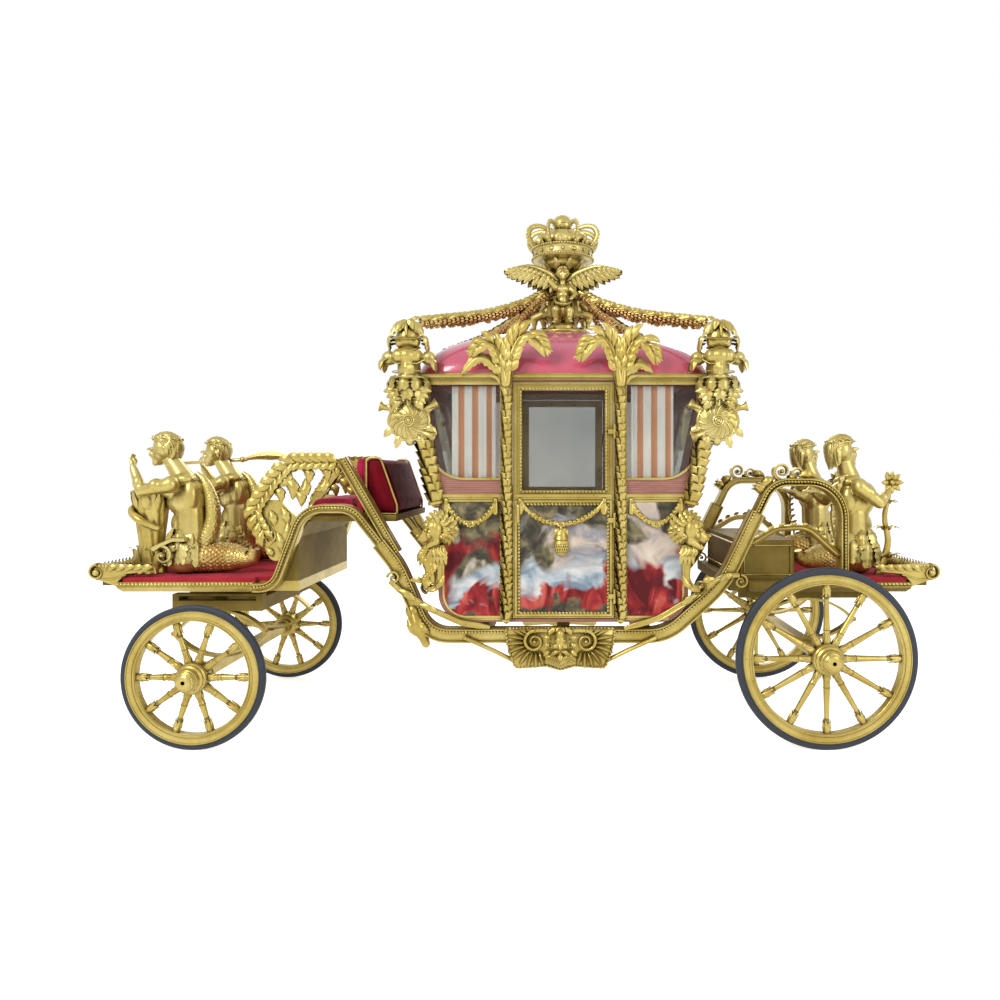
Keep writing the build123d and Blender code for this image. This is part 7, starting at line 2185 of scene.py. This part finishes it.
def driver_seat():
    """The seat's board, and on each beam a carved rail with volutes, hanging leaves and a pierced fin."""
    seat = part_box("driver_cushions")[0].z
    half = BEAM_IN
    board = Form()
    section = np.array([(-half, -0.020), (-half + 0.012, -0.0395), (half - 0.012, -0.0395), (half, -0.020),
                        (half, -0.006), (half - 0.006, 0), (-half + 0.006, 0), (-half, -0.006)])
    board.sweep([(-1.357, 0, seat), (-1.1, 0, seat), (-0.760, 0, seat)], section, 1.0, up=Z)
    board.piece("seat_board", paint=SHADED_BOARD_GOLD, replaces=("driver_seat_base",), angle=35)
    form = Form()
    y = -BEAM_MID
    rail = rounded(at_y([(-1.096, 1.735), (-1.400, 1.735), (-1.500, 1.640), (-1.640, 1.440),
                         (-1.560, 1.262)], y), [0.07, 0.16, 0.09], 0.012)
    n = len(rail)
    form.sweep(rail, moulded(0.046, 0.060),
               np.interp(np.linspace(0, 1, n), [0, 0.2, 0.6, 0.9, 1], [0.85, 1.0, 1.15, 0.95, 0.7]), up=Y)
    scroll(form, (-1.545, 1.278), 0.046, -60, 1, y, 0.016, 0.050)
    scroll(form, (-1.400, 1.716), 0.050, 90, 1, y, 0.018, 0.054)
    front = rail - vec(0, 0.026, 0)
    leafy_edge(form, front[2:], -0.002, 0.086, 0.050, outward=-1.0)
    leafy_edge(form, front[2:], -0.006, 0.060, 0.046, outward=1.0)
    clusters = (
        # roots in x and z, tips, width
        ((-1.430, 1.700), (-1.505, 1.590), 0.040), ((-1.470, 1.640), (-1.400, 1.500), 0.046),
        ((-1.350, 1.715), (-1.300, 1.600), 0.036),
        ((-1.320, 1.640), (-1.385, 1.520), 0.040), ((-1.240, 1.715), (-1.180, 1.615), 0.034),
        ((-1.190, 1.650), (-1.262, 1.555), 0.034),
        ((-1.400, 1.560), (-1.345, 1.455), 0.036), ((-1.545, 1.580), (-1.470, 1.480), 0.038),
        ((-1.150, 1.715), (-1.120, 1.650), 0.026),
    )
    for (x0, z0), (x1, z1), width in clusters:
        root, tip = vec(x0, y, z0), vec(x1, y - 0.012, z1)
        sideways = vec(-(z1 - z0), 0, x1 - x0) * 0.25
        for face in (-1, 1):
            form.curved_leaf([root, (root + tip) / 2 + sideways + vec(0, face * 0.022, 0), tip], 13, width,
                             vec(0, face, 0), lobes=5, cup=0.3)
    fin_at = [(-1.600, 1.430), (-1.600, 1.300), (-1.540, 1.105), (-1.440, 1.130), (-1.352, 1.372),
              (-1.420, 1.430), (-1.480, 1.500), (-1.560, 1.500), (-1.600, 1.430)]
    fin = resample(rounded(at_y(fin_at, 0), [0.08, 0.05, 0.04, 0.06, 0.03, 0.03, 0.03], 0.01), 64)[:-1]
    hole_at = vec(-1.545, 0, 1.272)
    angles = np.arctan2(fin[:, 2] - hole_at[2], fin[:, 0] - hole_at[0])
    hole = hole_at + np.stack([0.020 * np.cos(angles), np.zeros(len(angles)), 0.044 * np.sin(angles)], 1)
    lip = hole_at + (hole - hole_at) * 1.35
    rows = np.array([fin + vec(0, y + 0.012, 0), fin + vec(0, y - 0.012, 0), lip + vec(0, y - 0.014, 0),
                     lip + vec(0, y - 0.019, 0), hole + vec(0, y - 0.019, 0), hole + vec(0, y + 0.012, 0),
                     fin + vec(0, y + 0.012, 0)])
    form.net(rows, wrap=True)
    for root, tip, width in (((-1.46, 1.15), (-1.50, 1.30), 0.034), ((-1.455, 1.22), (-1.43, 1.36), 0.036),
                             ((-1.52, 1.33), (-1.545, 1.44), 0.034), ((-1.43, 1.34), (-1.47, 1.46), 0.034),
                             ((-1.52, 1.14), (-1.575, 1.20), 0.026)):
        a, b = vec(root[0], y - 0.013, root[1]), vec(tip[0], y - 0.016, tip[1])
        form.curved_leaf([a, (a + b) / 2 + vec(0.01, -0.020, 0), b], 13, width, -Y, lobes=5, cup=0.25)
    form.pair("seat_rail")


def deck_ends():
    """The carved end of each deck: scroll boards, volutes, a leafed cross roll and a ribbed plank."""
    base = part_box("rear_deck")[0].z
    half = -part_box("front_deck")[0].y
    top = base + 0.063
    for end, sign in (("front", -1), ("rear", 1)):
        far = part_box(f"{end}_deck_end")[1].x if sign > 0 else -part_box(f"{end}_deck_end")[0].x
        back = sign * (far - 0.190)
        roll_x = sign * (far - 0.046)
        form = Form()
        outline = rounded_outline([(back, top), (back, base + 0.030), (sign * (far - 0.080), base + 0.070),
                                   (roll_x, base + 0.074), (roll_x, base + 0.178),
                                   (sign * (far - 0.130), base + 0.174),
                                   (sign * (far - 0.390), base + 0.158),
                                   (sign * (far - 0.390), base + 0.130),
                                   (sign * (far - 0.250), base + 0.116)],
                                  (0, 0.01, 0.02, 0, 0, 0.02, 0.014, 0.014, 0.03), 5)
        plate(form, outline, -half + 0.058, 0.052, 0.008)
        edge = at_y([(sign * (far - 0.384), base + 0.146), (sign * (far - 0.130), base + 0.166),
                     (roll_x, base + 0.166)], -half + 0.005)
        form.rope(edge, 0.006, 0.022, sides=6, up=Y)
        low_edge = at_y([(sign * (far - 0.240), base + 0.108), (sign * (far - 0.150), base + 0.082),
                         (sign * (far - 0.090), base + 0.080)], -half + 0.005)
        form.tube(low_edge, 0.006, 6)
        scroll(form, (sign * (far - 0.062), base + 0.124), 0.052, 90, -sign, -half + 0.016, 0.015, 0.050,
               turns=1.4)
        form.lathe([(0.020, 0), (0.018, 0.010), (0.008, 0.018)],
                   (sign * (far - 0.062), -half - 0.008, base + 0.124), (0, -1, 0), 14)
        for n in range(5):
            root = vec(sign * (far - 0.120 - 0.055 * n), -half + 0.004, base + 0.128 + 0.002 * n)
            tip = root + vec(-sign * 0.075, -0.004, 0.034 - 0.003 * n)
            form.curved_leaf([root, (root + tip) / 2 + vec(0, -0.010, 0.012), tip], 11, 0.026, -Y, lobes=5,
                             cup=0.2)
        profile = [(0.030, -half + 0.06)]
        for s in np.linspace(-half + 0.07, -0.005, 120):
            wave = 0.5 + 0.5 * math.cos((s + half) / (half - 0.07) * 2 * math.pi * 2.5)
            profile.append((0.030 + 0.012 * wave + 0.0020 * math.cos((s + half) * 620), s))
        profile.append((0.030, 0.0))
        roll = Form()
        roll.lathe([(r, -s) for r, s in profile][::-1], (roll_x, 0, base + 0.122), (0, -1, 0), 22)
        form.join(roll)
        for n in range(13):
            s = -half + 0.085 + n * 0.040
            root = vec(roll_x - sign * 0.030, s, base + 0.092)
            points = [root, vec(roll_x - sign * 0.040, s, base + 0.135),
                      vec(roll_x - sign * 0.016, s, base + 0.172),
                      vec(roll_x - sign * 0.030, s, base + 0.184)]
            form.curved_leaf(points, 11, 0.023, vec(-sign, 0, 0.3), lobes=4, cup=0.2)
            points = [vec(roll_x, s + 0.020, base + 0.078),
                      vec(roll_x + sign * 0.036, s + 0.020, base + 0.100),
                      vec(roll_x + sign * 0.040, s + 0.020, base + 0.150)]
            form.curved_leaf(points, 9, 0.019, vec(sign, 0, 0), lobes=3)
        form.pair(f"deck_end_{end}", replaces=(f"{end}_deck_end",))
        plank = Form()
        wide = half - 0.060
        section = np.array([(-wide, -0.028), (-wide + 0.004, -0.031), (wide - 0.004, -0.031),
                            (wide, -0.028), (wide, 0.028), (wide - 0.004, 0.031), (-wide + 0.004, 0.031),
                            (-wide, 0.028)])
        plank.sweep([(back, 0, base + 0.065), ((back + roll_x) / 2, 0, base + 0.065),
                     (roll_x - sign * 0.018, 0, base + 0.065)], section, 1.0, up=Z)
        for s in np.linspace(-wide + 0.05, wide - 0.05, 9):
            for level in (-0.031, 0.031):
                plank.tube([(back + sign * 0.006, s, base + 0.065 + level),
                            (roll_x - sign * 0.050, s, base + 0.065 + level)], 0.006, 6)
        plank.piece(f"deck_plank_{end}", paint=SHADED_BOARD_GOLD, angle=35)


def deck_trim():
    """A rope bead and a lip along the broad part of each deck."""
    form = Form()
    for name, sign in (("front", -1), ("rear", 1)):
        low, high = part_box(f"{name}_deck")
        half = -low.y
        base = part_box("rear_deck")[0].z
        step = -1.64 if sign < 0 else 1.98
        wide = low.x if sign < 0 else high.x
        path = np.array([(step, -half - 0.001, base + 0.052), (wide, -half - 0.001, base + 0.052)], float)
        form.rope(path, 0.0065, 0.024, sides=6, up=Z)
        path = np.array([(step, -half - 0.0005, base + 0.034), (wide, -half - 0.0005, base + 0.034)], float)
        form.tube(path, 0.004, 6)
    form.pair("deck_beads")


def rear_scrolls():
    """The rear arches: moulded arch and inner bar, two volutes, leaves and a bud on the strut."""
    form = Form()
    y = -BEAM_MID
    wide = BEAM_OUT - BEAM_IN
    arch = rounded(at_y([(1.5335, 1.4209), (1.625, 1.612), (2.076, 1.612), (2.076, 0.9835)], y),
                   [0.15, 0.22], 0.014)
    form.sweep(arch, moulded(wide - 0.008, 0.050), 1.0, up=Y)
    inner = rounded(at_y([(1.500, 1.225), (1.650, 1.318), (1.850, 1.330), (2.052, 1.145)], y), [0.16, 0.15],
                    0.014)
    form.sweep(inner, moulded(wide - 0.016, 0.034), 1.0, up=Y)
    scroll(form, (1.692, 1.682), 0.056, -100, -1, y, 0.020, 0.058, turns=1.35)
    scroll(form, (1.793, 1.668), 0.042, -100, -1, y, 0.017, 0.054, turns=1.35)
    for root, tip, width in (((1.800, 1.650), (1.905, 1.640), 0.034),
                             ((1.640, 1.640), (1.560, 1.560), 0.034),
                             ((1.730, 1.640), (1.770, 1.610), 0.020)):
        a, b = vec(root[0], y - 0.020, root[1]), vec(tip[0], y - 0.020, tip[1])
        for face in (-1, 1):
            form.curved_leaf([a * vec(1, 0, 1) + vec(0, y + face * 0.024, 0),
                              (a + b) / 2 * vec(1, 0, 1) + vec(0, y + face * 0.040, 0.018),
                              b * vec(1, 0, 1) + vec(0, y + face * 0.016, 0)], 12, width, vec(0, face, 0),
                             lobes=5, cup=0.25)
    for n in range(7):
        a = 2 * math.pi * n / 7
        axis = unit(vec(-0.74, 0, 0.34))
        u, v, _ = basis(axis)
        out = u * math.cos(a) + v * math.sin(a)
        root = vec(1.600, y, 1.556)
        form.curved_leaf([root + out * 0.014, root + axis * 0.040 + out * 0.036,
                          root + axis * 0.078 + out * 0.026, root + axis * 0.092 + out * 0.040], 11, 0.020,
                         out, lobes=3)
    form.lathe([(0.016, 0), (0.026, 0.02), (0.024, 0.055), (0.010, 0.075)], (1.600, y, 1.556),
               (-0.74, 0, 0.34), 12)
    leafy_edge(form, inner[4:-3] - vec(0, 0.022, 0), 0, 0.046, 0.060, outward=1.0)
    form.pair("rear_arch", replaces=("rear_arches",))


def straps():
    """The braces outside the beams, each with a lip at its edges, a volute and leaves at its end."""
    form = Form()
    y = -(CABIN_Y + 0.015 + 0.007)
    table = (
        (((-0.150, 0.707), (-0.330, 0.735), (-0.540, 0.830), (-0.715, 0.940), (-0.775, 0.996)),
         (0.2, 0.2, 0.12), (-0.648, 0.898), (-0.752, 1.016), 0.040, 175, -1),
        (((0.690, 0.700), (0.900, 0.760), (1.100, 0.880), (1.320, 1.030), (1.410, 1.032)), (0.4, 0.4, 0.06),
         (1.345, 1.027), (1.418, 0.992), 0.042, 90, -1),
    )
    for points, bends, boss, eye, radius, start, turn in table:
        line = rounded(at_y(points, y), bends, 0.014)
        n = len(line)
        form.sweep(line, moulded(0.030, 0.034),
                   np.interp(np.linspace(0, 1, n), [0, 0.1, 0.8, 1], [0.55, 1, 1, 0.8]), up=Y)
        scroll(form, eye, radius, start, turn, y, 0.014, 0.032, turns=1.4)
        form.lathe([(0.020, 0), (0.020, 0.026), (0.012, 0.032)], (boss[0], -BEAM_OUT + 0.004, boss[1]),
                   (0, -1, 0), 14)
        for k in range(2):
            root = line[int(n * (0.70 - 0.22 * k))] - vec(0, 0.014, 0)
            way = unit(line[int(n * (0.70 - 0.22 * k)) + 2] - line[int(n * (0.70 - 0.22 * k))])
            form.curved_leaf([root, root + way * 0.06 + vec(0, -0.014, 0.010),
                              root + way * 0.125 + vec(0, -0.002, 0)], 12, 0.024, -Y, lobes=5)
    for root, tip, width in (((-0.640, 0.800), (-0.560, 0.600), 0.052),
                             ((-0.665, 0.760), (-0.610, 0.640), 0.032),
                             ((-0.600, 0.740), (-0.530, 0.650), 0.030)):
        a, b = vec(root[0], -BEAM_OUT + 0.004, root[1]), vec(tip[0], -BEAM_OUT + 0.016, tip[1])
        form.curved_leaf([a, (a + b) / 2 + vec(0, -0.034, 0), b], 15, width, -Y, lobes=6, cup=0.25)
    form.pair("body_strap", replaces=("body_straps",))


def box_panels():
    """A framed field on each side and end of the rear deck's box, with a stud at each corner."""
    low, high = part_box("rear_box")
    inset = 0.034
    form = Form()
    y = low.y - 0.001
    field = [(low.x + inset, y, low.z + inset), (high.x - inset, y, low.z + inset),
             (high.x - inset, y, high.z - inset), (low.x + inset, y, high.z - inset)]
    form.tube(np.array(field + field[:1], float), 0.0055, 6)
    for corner in field:
        form.ball(corner, (0.010, 0.007, 0.010), -Y, 5, 10)
    form.pair("rear_box_field")
    ends = Form()
    half = -low.y - inset
    for x in (low.x - 0.001, high.x + 0.001):
        lines = [(x, -half, low.z + inset), (x, half, low.z + inset), (x, half, high.z - inset),
                 (x, -half, high.z - inset)]
        ends.tube(np.array(lines + lines[:1], float), 0.0055, 6)
        for corner in lines:
            ends.ball(corner, (0.007, 0.010, 0.010), X, 5, 10)
    ends.piece("rear_box_ends")


# The scene

for make in (camera, world, lamps, floor):
    make()
paint_nodes()
for dress in (wheels, beam_mouldings, palms, corner_posts, cabin_ornament, tritons, painted_panels,
              trophies, lions, step_masks, roof, pedestal, cherubs, crown, garlands, gold_strips, curtains,
              driver_cushions, back_box, cabin_cushions, driver_seat, deck_ends, deck_trim, rear_scrolls,
              straps, box_panels):
    dress()
